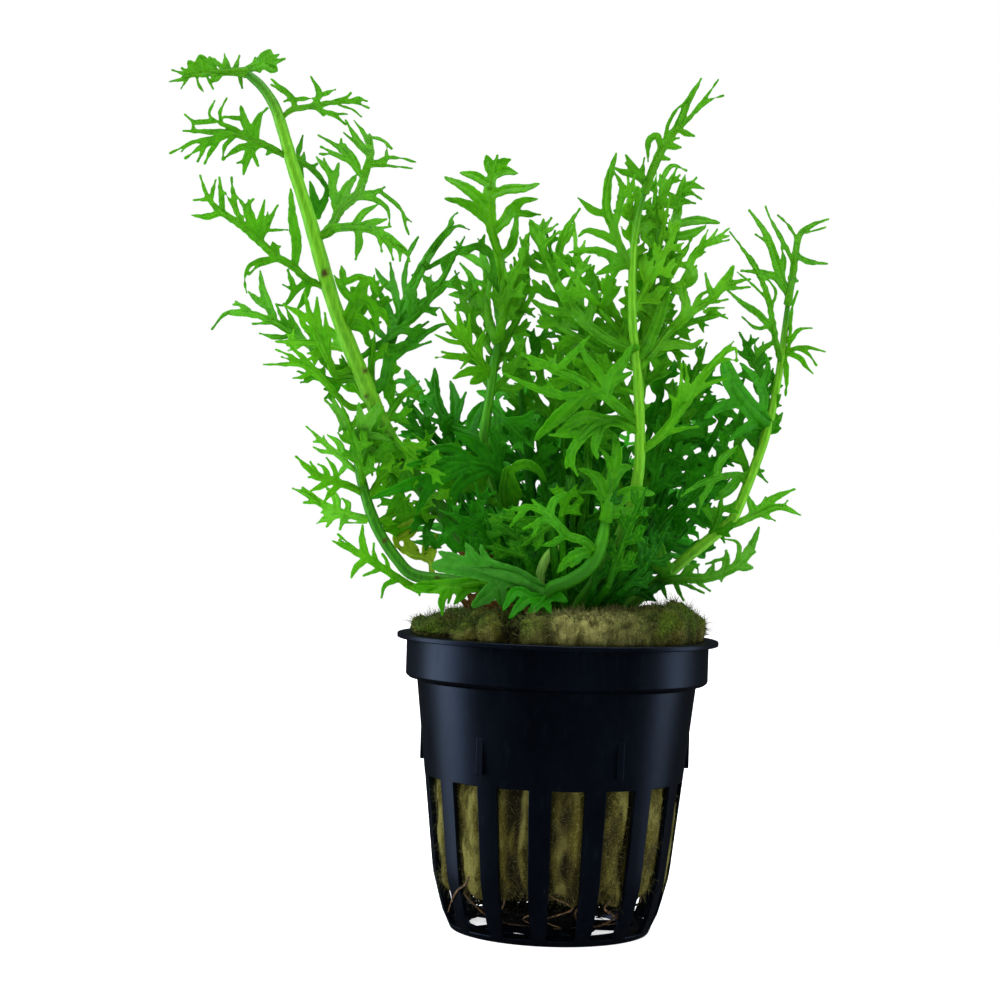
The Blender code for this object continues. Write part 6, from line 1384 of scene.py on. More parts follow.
@dataclass(frozen=True)
class NetPot:
    """The net pot: one turned skin of cells, left open at its slots and floor gaps, and six small ribs."""

    height: float = 50.0
    lip_radius: float = 27.5
    lip: float = 0.8
    collar_radius: float = 25.85
    collar_foot: float = 43.0
    mouth_radius: float = 24.9
    wall: float = 0.9
    outline: tuple[tuple[float, float], ...] = (
        (17.0, 0.0), (18.6, 3.4), (20.3, 9.9), (22.1, 26.1), (23.9, 42.2))
    slots: int = 15
    first_slot: float = math.radians(11.0)
    slot_foot: float = 1.0
    slot_top: float = 26.1
    slot_widths: tuple[float, float] = (4.7, 5.4)
    slot_rows: int = 12
    slot_cells: tuple[int, int] = (5, 6)
    floor: float = 1.2
    hub: float = 2.5
    gaps: int = 5
    gap_radii: tuple[float, float] = (8.0, 14.4)
    gap_cells: tuple[int, int] = (4, 29)
    spoke: float = 2.4
    ribs: int = 6
    first_rib: float = math.radians(-63.5)
    rib_size: tuple[float, float, float] = (1.0, 1.4, 6.0)
    rib_foot: float = 28.2
    edge: float = 0.16

    def radius(self, z: Array) -> Array:
        """The wall's outer radius at a height."""
        return np.interp(z, [point[1] for point in self.outline], [point[0] for point in self.outline])

    def slot_half(self, radius: Array, z: Array) -> Array:
        """Half the angle that a slot takes at a radius and height: the arcsine of half its width."""
        width = np.interp(z, (self.slot_foot, self.slot_top), self.slot_widths)
        return np.arcsin(0.5 * width / np.maximum(radius, 10.0))

    def on_wall(self, x: Array, z: Array) -> tuple[Array, Array]:
        """Points of the front of the wall that are drawn at x, z, and the outward directions there.

        The depth is found in six rounds, each from the radius at the place that the last one gave.

        Args:
            x: Their x in the drawing.
            z: Their z in the drawing.

        Returns:
            Places and directions, a row each.
        """
        depth = np.full(np.shape(x), -self.outline[-1][0])
        for _ in range(6):
            place = seen(x, depth, z)
            radius = np.where(place[:, 2] > self.collar_foot, self.collar_radius, self.radius(place[:, 2]))
            depth = -np.sqrt(np.maximum(radius ** 2 - place[:, 0] ** 2, 0.01))
        out = place * (1.0, 1.0, 0.0)
        return place, out / lengths(out)

    @staticmethod
    def turns(rows: Array, count: int, cells: tuple[int, int], first: float, half: Array) -> Array:
        """Angles of the columns: count repeats of solid cells and then open cells, half the open angle given.

        Args:
            rows: How many rows there are.
            count: Repeats round the pot.
            cells: Solid and open cells in one repeat.
            first: The angle of the middle of the first opening.
            half: Half the angle of an opening, a row each.

        Returns:
            One angle for each row and column.
        """
        pitch, half = math.tau / count, np.broadcast_to(half, rows)[:, None]
        solid = half - pitch + (pitch - 2 * half) * np.arange(cells[0]) / cells[0]
        opened = -half + 2 * half * np.arange(cells[1]) / cells[1]
        one = np.concatenate([solid, opened], 1)
        return (first + np.arange(count)[:, None] * pitch + one[:, None]).reshape(rows, -1)

    def profile(self) -> Array:
        """Radii and heights of the skin's rows, from the middle of the underside out and back inside.

        Three rows lie under the floor and one is the corner at its edge. Then come the outside of the
        wall, the collar, the lip and the mouth, the inside of the wall, and three rows on the floor.

        Returns:
            A radius and a height for each row.
        """
        heights = np.concatenate([np.linspace(self.slot_foot, self.slot_top, self.slot_rows + 1),
                                  np.linspace(self.slot_top, self.outline[-1][1], 7)[1:]])
        outer = np.stack([self.radius(heights), heights], -1)
        inner = outer - (self.wall, 0.0)
        inner[0] = (self.outline[0][0] - 0.5, self.floor)
        under, collar, foot = self.height - self.lip, self.collar_radius, self.collar_foot
        rim = [(collar - 0.5, foot - 0.45), (collar, foot), (collar, 0.5 * (foot + under)), (collar, under),
               (self.lip_radius, under), (self.lip_radius, self.height), (self.mouth_radius, self.height),
               (self.mouth_radius, foot + 0.8)]
        radii = (self.hub, *self.gap_radii)
        return np.concatenate([[(r, 0.0) for r in radii], [self.outline[0]], outer, rim, inner[::-1],
                               [(r, self.floor) for r in reversed(radii)]])

    def shell(self) -> Shell:
        """The turned skin with its slots and floor gaps left open, and the walls of those openings.

        Returns:
            The skin.
        """
        rows = self.profile()
        count, steps = len(rows), self.slot_rows
        foot, inner_foot = 4, len(rows) - 4
        r, z = rows.T
        half = self.slot_half(r, np.clip(z, self.slot_foot, self.slot_top))
        half[z > self.slot_top] = self.slot_half(self.outline[3][0], self.slot_top)
        turn = self.turns(count, self.slots, self.slot_cells, self.first_slot, half)
        flat = np.r_[0:3, count - 3:count]
        pitch = math.tau / self.gaps
        spokes = np.arcsin(0.5 * self.spoke / r[flat])
        turn[flat] = self.turns(len(flat), self.gaps, self.gap_cells, 0.5 * pitch, 0.5 * pitch - spokes)
        columns = turn.shape[1]
        points = np.stack([r[:, None] * np.cos(turn), r[:, None] * np.sin(turn),
                           np.broadcast_to(z[:, None], turn.shape)], -1).reshape(-1, 3)
        in_slot, in_gap = (np.arange(columns) % sum(cells) >= cells[0]
                           for cells in (self.slot_cells, self.gap_cells))
        solid = np.ones((count - 1, columns), bool)
        solid[foot:foot + steps, in_slot] = False
        solid[inner_foot - steps:inner_foot, in_slot] = False
        solid[1, in_gap] = False
        solid[count - 3, in_gap] = False
        index = np.arange(len(points)).reshape(count, columns)
        outside, inside = index[foot:foot + steps + 1], index[inner_foot - steps:inner_foot + 1][::-1]
        quads = [grid_quads(count, columns)[solid.ravel()], *self.walls(outside, inside, in_slot),
                 *self.walls(index[count - 3:count - 1][::-1], index[1:3], in_gap)]
        points = np.concatenate([points, [(0, 0, 0), (0, 0, self.floor)]])
        return Shell(points, end_caps(count, columns), np.concatenate(quads))

    @staticmethod
    def walls(outside: Array, inside: Array, opened: Array) -> list[Array]:
        """The walls of openings that go through from one set of rows to another.

        Args:
            outside: Point numbers on the one side, by row and column.
            inside: Those on the other side.
            opened: Which columns of cells are open.

        Returns:
            Faces of the two sides, the foot and the top of each opening.
        """
        start = opened & ~np.roll(opened, 1)
        stop = ~opened & np.roll(opened, 1)

        def sheet(a: Array, b: Array, c: Array, d: Array) -> Array:
            """Faces from four sets of corners."""
            return np.stack([a, b, c, d], -1).reshape(-1, 4)

        after_out, after_in = np.roll(outside, -1, 1)[:, opened], np.roll(inside, -1, 1)[:, opened]
        here_out, here_in = outside[:, opened], inside[:, opened]
        return [sheet(outside[:-1, start], inside[:-1, start], inside[1:, start], outside[1:, start]),
                sheet(inside[:-1, stop], outside[:-1, stop], outside[1:, stop], inside[1:, stop]),
                sheet(here_in[0], here_out[0], after_out[0], after_in[0]),
                sheet(here_out[-1], here_in[-1], after_in[-1], after_out[-1])]

    def rib_shell(self) -> Shell:
        """The ribs: boxes that stand out of the wall at the foot and sink into it at the top.

        Returns:
            All ribs as one shell.
        """
        corner = np.array([(x, y, z) for x in (-0.5, 0.5) for y in (-0.5, 0.5) for z in (0.0, 1.0)])
        corner = corner * self.rib_size + (self.radius(self.rib_foot) + 0.2, 0.0, self.rib_foot)
        turn = self.first_rib + np.arange(self.ribs)[:, None] * math.tau / self.ribs
        points = np.stack([corner[:, 0] * np.cos(turn) - corner[:, 1] * np.sin(turn),
                           corner[:, 0] * np.sin(turn) + corner[:, 1] * np.cos(turn),
                           np.broadcast_to(corner[:, 2], (self.ribs, 8))], -1).reshape(-1, 3)
        faces = np.array([(0, 1, 3, 2), (4, 6, 7, 5), (0, 4, 5, 1), (2, 3, 7, 6), (0, 2, 6, 4), (1, 5, 7, 3)])
        return Shell(points, quads=(faces + 8 * np.arange(self.ribs)[:, None, None]).reshape(-1, 4))

    def build(self, plastic: Material) -> None:
        """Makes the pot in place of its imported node, with small round edges.

        Args:
            plastic: Its finish.
        """
        pot = joined([self.shell(), self.rib_shell()]).put("net_pot_moulded", plastic, "net_pot", "net_pot")
        bevel = pot.modifiers.new("round_edges", "BEVEL")
        bevel.width = self.edge * MM
        bevel.segments = 2
        bevel.limit_method = "ANGLE"
        bevel.angle_limit = math.radians(40)
        bevel.harden_normals = True


@dataclass(frozen=True)
class WoolPlug:
    """The rock-wool plug: a lumpy turned body with creases, and the fibres and moss that stand out of it."""

    pot: NetPot
    foot: float = 7.0
    top: float = 54.4
    gap: float = 0.5
    side_radius: float = 24.5
    creases: tuple[tuple[float, float], ...] = (
        (-108, 1.5), (-112, 1.5), (-94, 0.6), (-84, 0.5), (-71, 0.6), (-52, 0.8), (-125, 0.9), (-18, 1.1),
        (5, 1.0), (38, 0.7), (71, 1.2), (104, 0.8), (140, 1.0), (172, 0.7), (-152, 0.9))
    crease_width: float = math.radians(2.2)
    columns: int = 320

    def inner(self, z: float) -> float:
        """The plug's radius inside the wall at a height."""
        return float(self.pot.radius(z)) - self.pot.wall - self.gap

    def profile(self) -> Array:
        """Radii and heights from the middle of the top over the rim and down to the middle below.

        Returns:
            A radius and a height for each station.
        """
        top, side = self.top, self.side_radius
        knots = [(0.4, top), (8.0, top), (16.0, top), (22.6, top - 0.1), (24.6, top - 0.7), (25.1, top - 2.2),
                 (24.9, 50.9), (side, 49.4), (side, 47.5), (side - 0.2, 44.6), (self.inner(42.0), 41.6)]
        knots += [(self.inner(z), z) for z in (26.0, 10.0, 8.0)]
        knots += [(self.inner(7.2) - 1.2, self.foot), (8.0, self.foot), (0.4, self.foot)]
        return smooth_path(np.array(knots), 0.45)

    def creased(self, turn: Array, base: Array, rng: Chance) -> Array:
        """How deep each point lies in the creases: a bell curve across each one, which wanders a little.

        Args:
            turn: The angle of each column.
            base: The points before they move.
            rng: Where the unevenness comes from.

        Returns:
            Depths in millimetres.
        """
        angles = np.radians([angle for angle, _ in self.creases])
        apart = (turn[:, None] - angles + math.pi) % math.tau - math.pi
        heights = base.reshape(-1, 3) * (0.0, 0.0, 1.0)
        wander = 0.02 * waves(heights, 9.0, rng).reshape(base.shape[:2])
        return sum(size * np.exp(-(((apart[:, k] + wander) / self.crease_width) ** 2))
                   for k, (_, size) in enumerate(self.creases))

    def in_slots(self, turn: Array, r: Array, z: Array) -> Array:
        """How far each point lies within a slot: 1 in its middle, 0 beside, above and below it.

        Args:
            turn: The angle of each column.
            r: The radius of each row.
            z: The height of each row.

        Returns:
            A value from 0 to 1 for each point.
        """
        pitch = math.tau / self.pot.slots
        offset = (turn - self.pot.first_slot + 0.5 * pitch) % pitch - 0.5 * pitch
        across = offset / (0.92 * self.pot.slot_half(r, z)[:, None])
        height = eased((self.pot.slot_top - z) / 2.0) * eased((z - 6.8) / 2.0)
        return np.clip(1.0 - across ** 2, 0.0, 1.0) ** 0.6 * height[:, None]

    def shell(self, rng: Chance) -> Shell:
        """The body: the turned profile moved along its normals.

        It is moved out by three sizes of waves and by its lumps in the slots, and in by its creases. Its
        top has a bump at the right and a hollow at the left, its underside is ragged, and inside the pot
        it keeps within the wall.

        Args:
            rng: Where the unevenness comes from.

        Returns:
            The shell, with the moss, khaki and painted shade of its finish.
        """
        line = self.profile()
        along = np.gradient(line, axis=0)
        out = np.stack([-along[:, 1], along[:, 0]], -1) / lengths(along)
        turn = np.arange(self.columns) * math.tau / self.columns
        round_way = np.stack([np.cos(turn), np.sin(turn)], -1)
        r, z = line.T
        grid = (r.size, turn.size)
        heights = np.broadcast_to(z[:, None, None], (*grid, 1))
        base = np.concatenate([r[:, None, None] * round_way, heights], -1)

        def pattern(stretch: float, wavelength: float, count: int = 7) -> Array:
            """Waves over the body, which are longer upright where stretch is under 1."""
            return waves(base.reshape(-1, 3) * (1.0, 1.0, stretch), wavelength, rng, count).reshape(grid)

        upper = eased((z - 50.0) / 3.0)[:, None] * np.ones_like(turn)
        dents = self.creased(turn, base, rng) * np.minimum(1.0, r / 18.0)[:, None]
        in_slot = self.in_slots(turn, r, z)
        rough = 0.34 * pattern(0.4, 5.5, 9) + 0.24 * pattern(0.4, 2.3, 11) + 0.10 * pattern(0.55, 0.95, 13)
        lumps = (0.5 * pattern(0.2, 8.0) + 0.28 * pattern(1.0, 1.7, 13)) * upper
        move = rough * (0.55 + 0.45 * np.maximum(upper, in_slot)) + lumps + 0.75 * in_slot - dents
        lift = eased((12.0 - z) / 5.0)[:, None] * (1.3 + 1.1 * waves(22 * round_way, 5.0, rng))
        points = base.copy()
        points[..., :2] += (out[:, None, :1] * move[..., None]) * round_way
        points[..., 2] += out[:, 1:] * move + lift
        x, y = points[..., 0], points[..., 1]
        bump = 1.9 * np.exp(-(((x - 20.0) / 4.5) ** 2 + ((y + 9.0) / 7.0) ** 2))
        hollow = 1.7 * eased((-14.0 - x) / 4.0)
        points[..., 2] += (bump - hollow) * upper
        side = ((z < 52.0) & (z > self.foot + 0.3))[:, None]
        limit = self.pot.radius(points[..., 2]) - 0.35 - 0.6 * (side & (in_slot < 0.05))
        held = np.minimum(1.0, limit / np.maximum(np.hypot(x, y), 1e-6))
        points[..., :2] *= np.where(points[..., 2] < 49.5, held, 1.0)[..., None]
        khaki = np.exp(-((x - 4.0) / 8.0) ** 2) * (y < 0) * eased((z - 44.0) / 4.0)[:, None]
        mossy = np.clip(0.75 + 0.45 * pattern(1.0, 7.0), 0.15, 1.0)
        moss = (1.0 - 0.85 * khaki) * eased((z - 49.0) / 4.0)[:, None] * mossy
        # Painted shade low at the front of the plug.
        painted_front_shade = 0.4 * np.exp(-(x / 9.0) ** 2) * (y < 0) * eased((30.0 - z) / 8.0)[:, None]
        # Painted shade in the creases and in the dips of the waves and lumps, plus the shade at the front.
        shade = np.clip(0.7 * dents - 0.9 * rough - 0.5 * lumps + painted_front_shade, 0.0, 1.0)
        ends = np.array([(0.0, 0.0, points[row, :, 2].mean()) for row in (0, -1)])
        shell = Shell(np.concatenate([points.reshape(-1, 3), ends]), end_caps(*grid)[:, ::-1],
                      grid_quads(*grid)[:, ::-1])
        return shell.valued(moss=np.concatenate([moss.ravel(), [0.8, 0.0]]),
                            khaki=np.concatenate([khaki.ravel(), [0.0, 0.0]]),
                            shade=np.concatenate([shade.ravel(), [0.0, 0.5]]))

    @staticmethod
    def scattered(shell: Shell, weight: Array, count: int, rng: Chance) -> tuple[Array, Array]:
        """Random places on a shell's quads, more where the weight is larger, and the normals there.

        Args:
            shell: The surface.
            weight: How thickly each of its quads is strewn.
            count: How many places to choose.
            rng: Where the choice comes from.

        Returns:
            Places and unit normals.
        """
        corner = shell.points[shell.quads]
        cross = np.cross(corner[:, 2] - corner[:, 0], corner[:, 3] - corner[:, 1])
        share = lengths(cross)[:, 0] * weight
        chosen = rng.choice(len(share), count, p=share / share.sum())
        u, v = rng.uniform(size=(2, count, 1))
        a, b, c, d = corner[chosen].transpose(1, 0, 2)
        places = (a * (1 - u) + b * u) * (1 - v) + (d * (1 - u) + c * u) * v
        return places, cross[chosen] / lengths(cross[chosen])

    def build(self, wool: Material, fibre: Material, moss: Material) -> None:
        """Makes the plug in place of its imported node, with its fibres and its moss.

        Args:
            wool: The finish of the body.
            fibre: The finish of loose mineral fibres.
            moss: The finish of the moss.
        """
        rng = np.random.default_rng(21)
        shell = self.shell(rng)
        shell.put("rock_wool_felt", wool, "rock_wool", "rock_wool")
        z = shell.points[shell.quads[:, 0], 2]
        places, normals = self.scattered(shell, np.where((z > 8.0) & (z < 27.0), 1.0, 0.05), 9000, rng)
        low = eased((13.0 - places[:, 2]) / 3.0)
        drift = rng.normal(size=places.shape) * (1.0, 1.0, 1.6) - low[:, None] * (0.0, 0.0, 1.8)
        size = rng.uniform(0.5, 1.5, len(places)) * (1.0 + 0.7 * low)
        thickness = rng.uniform(0.018, 0.035, len(size))
        loose = hairs(places - normals * 0.1, normals * 0.55 + drift * 0.5, size, thickness, size * 0.1, rng)
        loose.put("rock_wool_fibres", fibre, "rock_wool")
        above, bare = eased((z - 49.5) / 2.0), shell.values["khaki"][shell.quads[:, 0]]
        for name, weight, count, finish in (("rock_wool_moss", above * (1.0 - 0.8 * bare), 13000, moss),
                                            ("rock_wool_bristles", above * bare, 4500, fibre)):
            places, normals = self.scattered(shell, weight, count, rng)
            size = rng.uniform(0.35, 1.15, len(places))
            size *= np.clip(1.0 + 0.8 * waves(places, 2.2, rng), 0.4, 2.0)
            ways = normals * 0.8 + rng.normal(size=places.shape) * 0.45 + (0.0, 0.0, 0.5)
            thickness = rng.uniform(0.03, 0.06, len(size))
            carpet = hairs(places - normals * 0.1, ways, size, thickness, size * 0.05, rng)
            carpet.put(name, finish, "rock_wool")


@dataclass(frozen=True)
class Stems:
    """The leaf stalks that rise from the plug, with soft ribs and brown specks."""

    sunk: float = 3.2
    spacing: float = 0.6
    # Heights below which a stem is painted darker as shade, fully so 14 mm under them.
    painted_shade_tops: tuple[tuple[str, float], ...] = (
        ("stem_tall", 92.0), ("stem_middle", 76.0), ("stem_right", 66.0), ("stem_front", 74.0))
    sides: int = 18
    ribs: int = 6
    specks: tuple[tuple[float, float, float], ...] = (
        (-41.7, 111.0, 0.9), (-34.5, 94.5, 0.7), (-34.0, 90.0, 0.5), (13.2, 71.0, 0.4), (-27.4, 79.6, 0.4),
        (-30.2, 65.5, 0.6), (-21.0, 59.3, 0.5))

    def path(self, stem: Stem) -> Array:
        """Points x, depth, z of a stem, prolonged down into the plug.

        Args:
            stem: The stem.

        Returns:
            A row for each point.
        """
        line = smooth_path(np.array(stem.path), self.spacing)
        root = line[0] + (0.0, 0.0, -self.sunk) - (line[4] - line[0]) * (0.3, 0.3, 0.0)
        return np.vstack([root, 0.5 * (root + line[0]), line])

    def specked(self, points: Array, flat: Array, rng: Chance) -> Array:
        """How brown each point is: the drawn specks with uneven margins, and small bits by chance.

        Args:
            points: The stem's points in space.
            flat: The same points as drawn.
            rng: Where the unevenness comes from.

        Returns:
            A value from 0 to 1 for each point.
        """
        speck = np.zeros(len(flat))
        for x, z, size in self.specks:
            away = np.hypot(flat[:, 0] - x, flat[:, 1] - z) + 0.3 * size * waves(points, 0.9, rng)
            speck = np.maximum(speck, eased((size - away) / (0.5 * size)))
        bits = waves(points * (1.0, 1.0, 0.5), 2.4, rng, 9)
        return np.maximum(speck, 0.8 * eased((bits - 2.0) / 0.3))

    def build(self, finishes: dict[Tone, Material]) -> None:
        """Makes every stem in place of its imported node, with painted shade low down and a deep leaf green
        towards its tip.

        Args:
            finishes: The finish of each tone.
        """
        rng = np.random.default_rng(8)
        for stem in STEMS:
            line, tone = self.path(stem), Tone(stem.tone)
            share = run_share(line)
            radius = stem.foot_radius + (stem.tip_radius - stem.foot_radius) * share
            radius = radius * (1.0 - 0.3 * share ** 12)
            swell = 1.0 + 0.28 * np.exp(-share * 26.0) + 0.04 * waves(line, 6.0, rng)
            shell = tube(seen(*line.T), radius * swell, self.sides, self.ribs, 0.055)
            flat = drawn(shell.points)
            # Painted shade low on the stem; the same deep green towards the tip is the leaf's colour.
            low = eased((dict(self.painted_shade_tops).get(stem.name, 0.0) - flat[:, 1]) / 14.0)
            shaded = np.maximum(low, eased((shell.values["along"] - 0.84) / 0.16))
            shell.valued(speck=self.specked(shell.points, flat, rng),
                         shaded=0.9 * (tone is not Tone.CUT) * shaded)
            shell.put(f"{stem.name}_ribbed", finishes[tone], "stem", stem.name)


@dataclass(frozen=True)
class Foliage:
    """The leaves drawn one by one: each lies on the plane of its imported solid, folded and waved."""

    stems: Stems
    step: float = 0.2
    fold: float = 0.38
    ripple: float = 0.9
    joint: float = 4.0

    def stem_point(self, name: str, x: float, z: float) -> Array:
        """The point x, depth, z of a stem's middle line nearest to a drawn point.

        Args:
            name: The stem's name.
            x: The drawn point's x.
            z: The drawn point's z.

        Returns:
            The nearest point.
        """
        stem = next(stem for stem in STEMS if stem.name == name)
        line = self.stems.path(stem)
        return line[np.hypot(line[:, 0] - x, line[:, 2] - z).argmin()]

    @staticmethod
    def plane(leaf: Leaf) -> Callable[[Array], Array]:
        """The depth of a leaf's solid as a function of drawn points.

        The depth, less the cup, is fitted by least squares to one plus the share along the leaf's chord
        and the distance across it.

        Args:
            leaf: The leaf.

        Returns:
            A function from drawn points to their depths.
        """
        points = vertices(leaf.name) / MM
        foot, tip = np.array(leaf.limbs[0][1:3]), np.array(leaf.limbs[0][-2:])
        chord = tip - foot

        def shares(flat: Array) -> Array:
            """The terms of the fit.

            Args:
                flat: Drawn points.

            Returns:
                One, the share along the chord and the distance across it, a row for each.
            """
            away = flat - foot
            across = (away[:, 0] * chord[1] - away[:, 1] * chord[0]) / np.hypot(*chord)
            return np.stack([np.ones(len(flat)), away @ chord / (chord @ chord), across], -1)

        known = shares(drawn(points))
        fit = np.linalg.lstsq(known, points[:, 1] - CUP * known[:, 2] ** 2, rcond=None)[0]

        def depth(flat: Array) -> Array:
            """The depth at drawn points."""
            rows = shares(flat)
            return rows @ fit + CUP * rows[:, 2] ** 2

        return depth

    def shell(self, leaf: Leaf, rng: Chance) -> Shell:
        """One leaf.

        Its depth is that of its solid, less a fold that grows with the distance from a midrib, plus waves
        that grow with the distance from the stalk's foot. Within the joint's length of the foot it turns
        to the depth of the stem's middle line, to which the stalk is prolonged. A leaf at the stem's end
        takes its radius on in its midrib.

        Args:
            leaf: The leaf.
            rng: Where the unevenness comes from.

        Returns:
            Its shell.
        """
        foot = np.array(leaf.limbs[0][1:3])
        root = self.stem_point(leaf.stem, *foot)
        stalk = leaf.limbs[0]
        if np.hypot(*(root[[0, 2]] - foot)) > 0.35:
            stalk = (stalk[0], root[0], root[2], *stalk[1:])
        depth, phase = self.plane(leaf), offshoot(rng)

        def place(flat: Array, middle: Array) -> Array:
            """The leaf's points in space.

            Args:
                flat: Points of the flat leaf.
                middle: Their distances from the nearest midrib.

            Returns:
                A place in millimetres for each.
            """
            away = np.linalg.norm(flat - foot, axis=1)
            out = depth(flat) - self.fold * np.minimum(middle, FOLD_REACH)
            out += self.ripple * waves(flat, WAVE_LENGTH, phase) * eased(away / 14.0)
            share = eased(away / self.joint)
            return seen(flat[:, 0], root[1] * (1 - share) + out * share, flat[:, 1])

        ends = next(stem for stem in STEMS if stem.name == leaf.stem)
        last = np.hypot(*(np.array(ends.path[-1])[[0, 2]] - foot)) < self.joint
        return leaf_shell([stalk, *leaf.limbs[1:]], place, self.step, rng, 0.6 * ends.tip_radius * last)

    def build(self, finishes: dict[Tone, Material]) -> None:
        """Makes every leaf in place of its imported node.

        Args:
            finishes: The finish of each tone.
        """
        for number, leaf in enumerate(LEAVES):
            rng = np.random.default_rng(100 + number)
            shell = self.shell(leaf, rng).valued(tint=rng.uniform(-0.12, 0.12))
            tone = Tone(leaf.tone)
            shell.put(f"{leaf.name}_blade", finishes[tone], TONE_SLOTS[tone], leaf.name)


@dataclass(frozen=True)
class BackFoliage:
    """The leaves at the back, drawn by rule on the arched sheets of their solids."""

    step: float = 0.26
    fold: float = 0.3
    ripple: float = 0.8

    @staticmethod
    def limbs(length: float, rng: Chance) -> list[Limb]:
        """A leaf's limbs: the forked leaflets of its solid, and teeth on both sides of each.

        Args:
            length: The stalk's length.
            rng: Where the unevenness comes from.

        Returns:
            The limbs, the stalk first.
        """
        limbs = [(1.5, 0, 0, 0, length * 0.5, 0, length)]
        pairs = round(length / 13)
        for k in range(2 * pairs):
            side = 1 if k % 2 else -1
            root = length * (0.3 + 0.56 * k / (2 * pairs))
            reach = 0.36 * (1.25 * length - root)
            fork = np.array((side * reach * 0.5, root + reach * 0.34))
            ends = np.array([(side * reach * 0.85, root + reach * 0.85),
                             (side * reach * 1.1, root + reach * 0.34)])
            limbs.append((1.7, side * 0.1, root, *fork, *ends[0]))
            limbs.append((1.5, *fork, *ends[1]))
            for start, end in ((np.array((0.0, root)), fork), (fork, ends[0]), (fork, ends[1])):
                way = (end - start) / np.hypot(*(end - start))
                for j, share in enumerate(np.arange(0.35, 1.0, 0.2)):
                    turn = (1 if j % 2 else -1) * rng.uniform(0.55, 0.85)
                    foot = start + (end - start) * share
                    width, size = rng.uniform(0.9, 1.3), rng.uniform(1.6, 2.9)
                    limbs.append((width, *foot, *(foot + turned(way, turn) * size)))
        for share in np.arange(0.84, 1.0, 0.05):
            side = 1 if round(share * 20) % 2 else -1
            limbs.append((1.1, 0, length * share, side * 2.6, length * share + 2.2))
        return limbs

    def shell(self, leaf: BackLeaf, rng: Chance) -> Shell:
        """One leaf on its arch.

        A point's lean from upright is the leaf's tilt times 0.35 plus 0.65 of its share along the stalk.
        It lies at its distance times the sine and cosine of that lean, in the direction from the leaf's
        foot to the middle of its solid.

        Args:
            leaf: The leaf.
            rng: Where the unevenness comes from.

        Returns:
            Its shell.
        """
        foot = np.array(leaf.foot, float)
        low, high = (np.array(corner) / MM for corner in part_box(leaf.name))
        out = vertices(leaf.name).mean(0)[:2] / MM - foot[:2]
        out /= np.hypot(*out)
        phase = offshoot(rng)

        def place(flat: Array, middle: Array) -> Array:
            """The leaf's points in space.

            Args:
                flat: Points of the flat leaf.
                middle: Their distances from the nearest midrib.

            Returns:
                A place in millimetres for each.
            """
            side, along = flat.T
            share = along / leaf.length
            lean = np.radians(leaf.tilt * (0.35 + 0.65 * share))
            lift = self.fold * np.minimum(middle, FOLD_REACH)
            lift = lift + self.ripple * waves(flat, WAVE_LENGTH, phase) * eased(share / 0.4)
            up = along * np.cos(lean) - CUP * side ** 2 + lift * np.sin(lean)
            away = along * np.sin(lean) - lift * np.cos(lean)
            placed = np.stack([out[0] * away - out[1] * side, out[1] * away + out[0] * side, up], -1) + foot
            placed[:, 2] -= 2.4 * (1.0 - eased(along / 5.0))
            return np.clip(placed, low - 0.3, high + 0.3)

        return leaf_shell(self.limbs(leaf.length, rng), place, self.step, rng)

    def build(self, finish: Material) -> None:
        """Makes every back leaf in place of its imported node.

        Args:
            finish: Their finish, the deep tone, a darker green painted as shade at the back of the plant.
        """
        for number, leaf in enumerate(BACK_LEAVES):
            rng = np.random.default_rng(300 + number)
            shell = self.shell(leaf, rng).valued(tint=rng.uniform(-0.1, 0.2))
            shell.put(f"{leaf.name}_blade", finish, "leaf_deep", leaf.name)


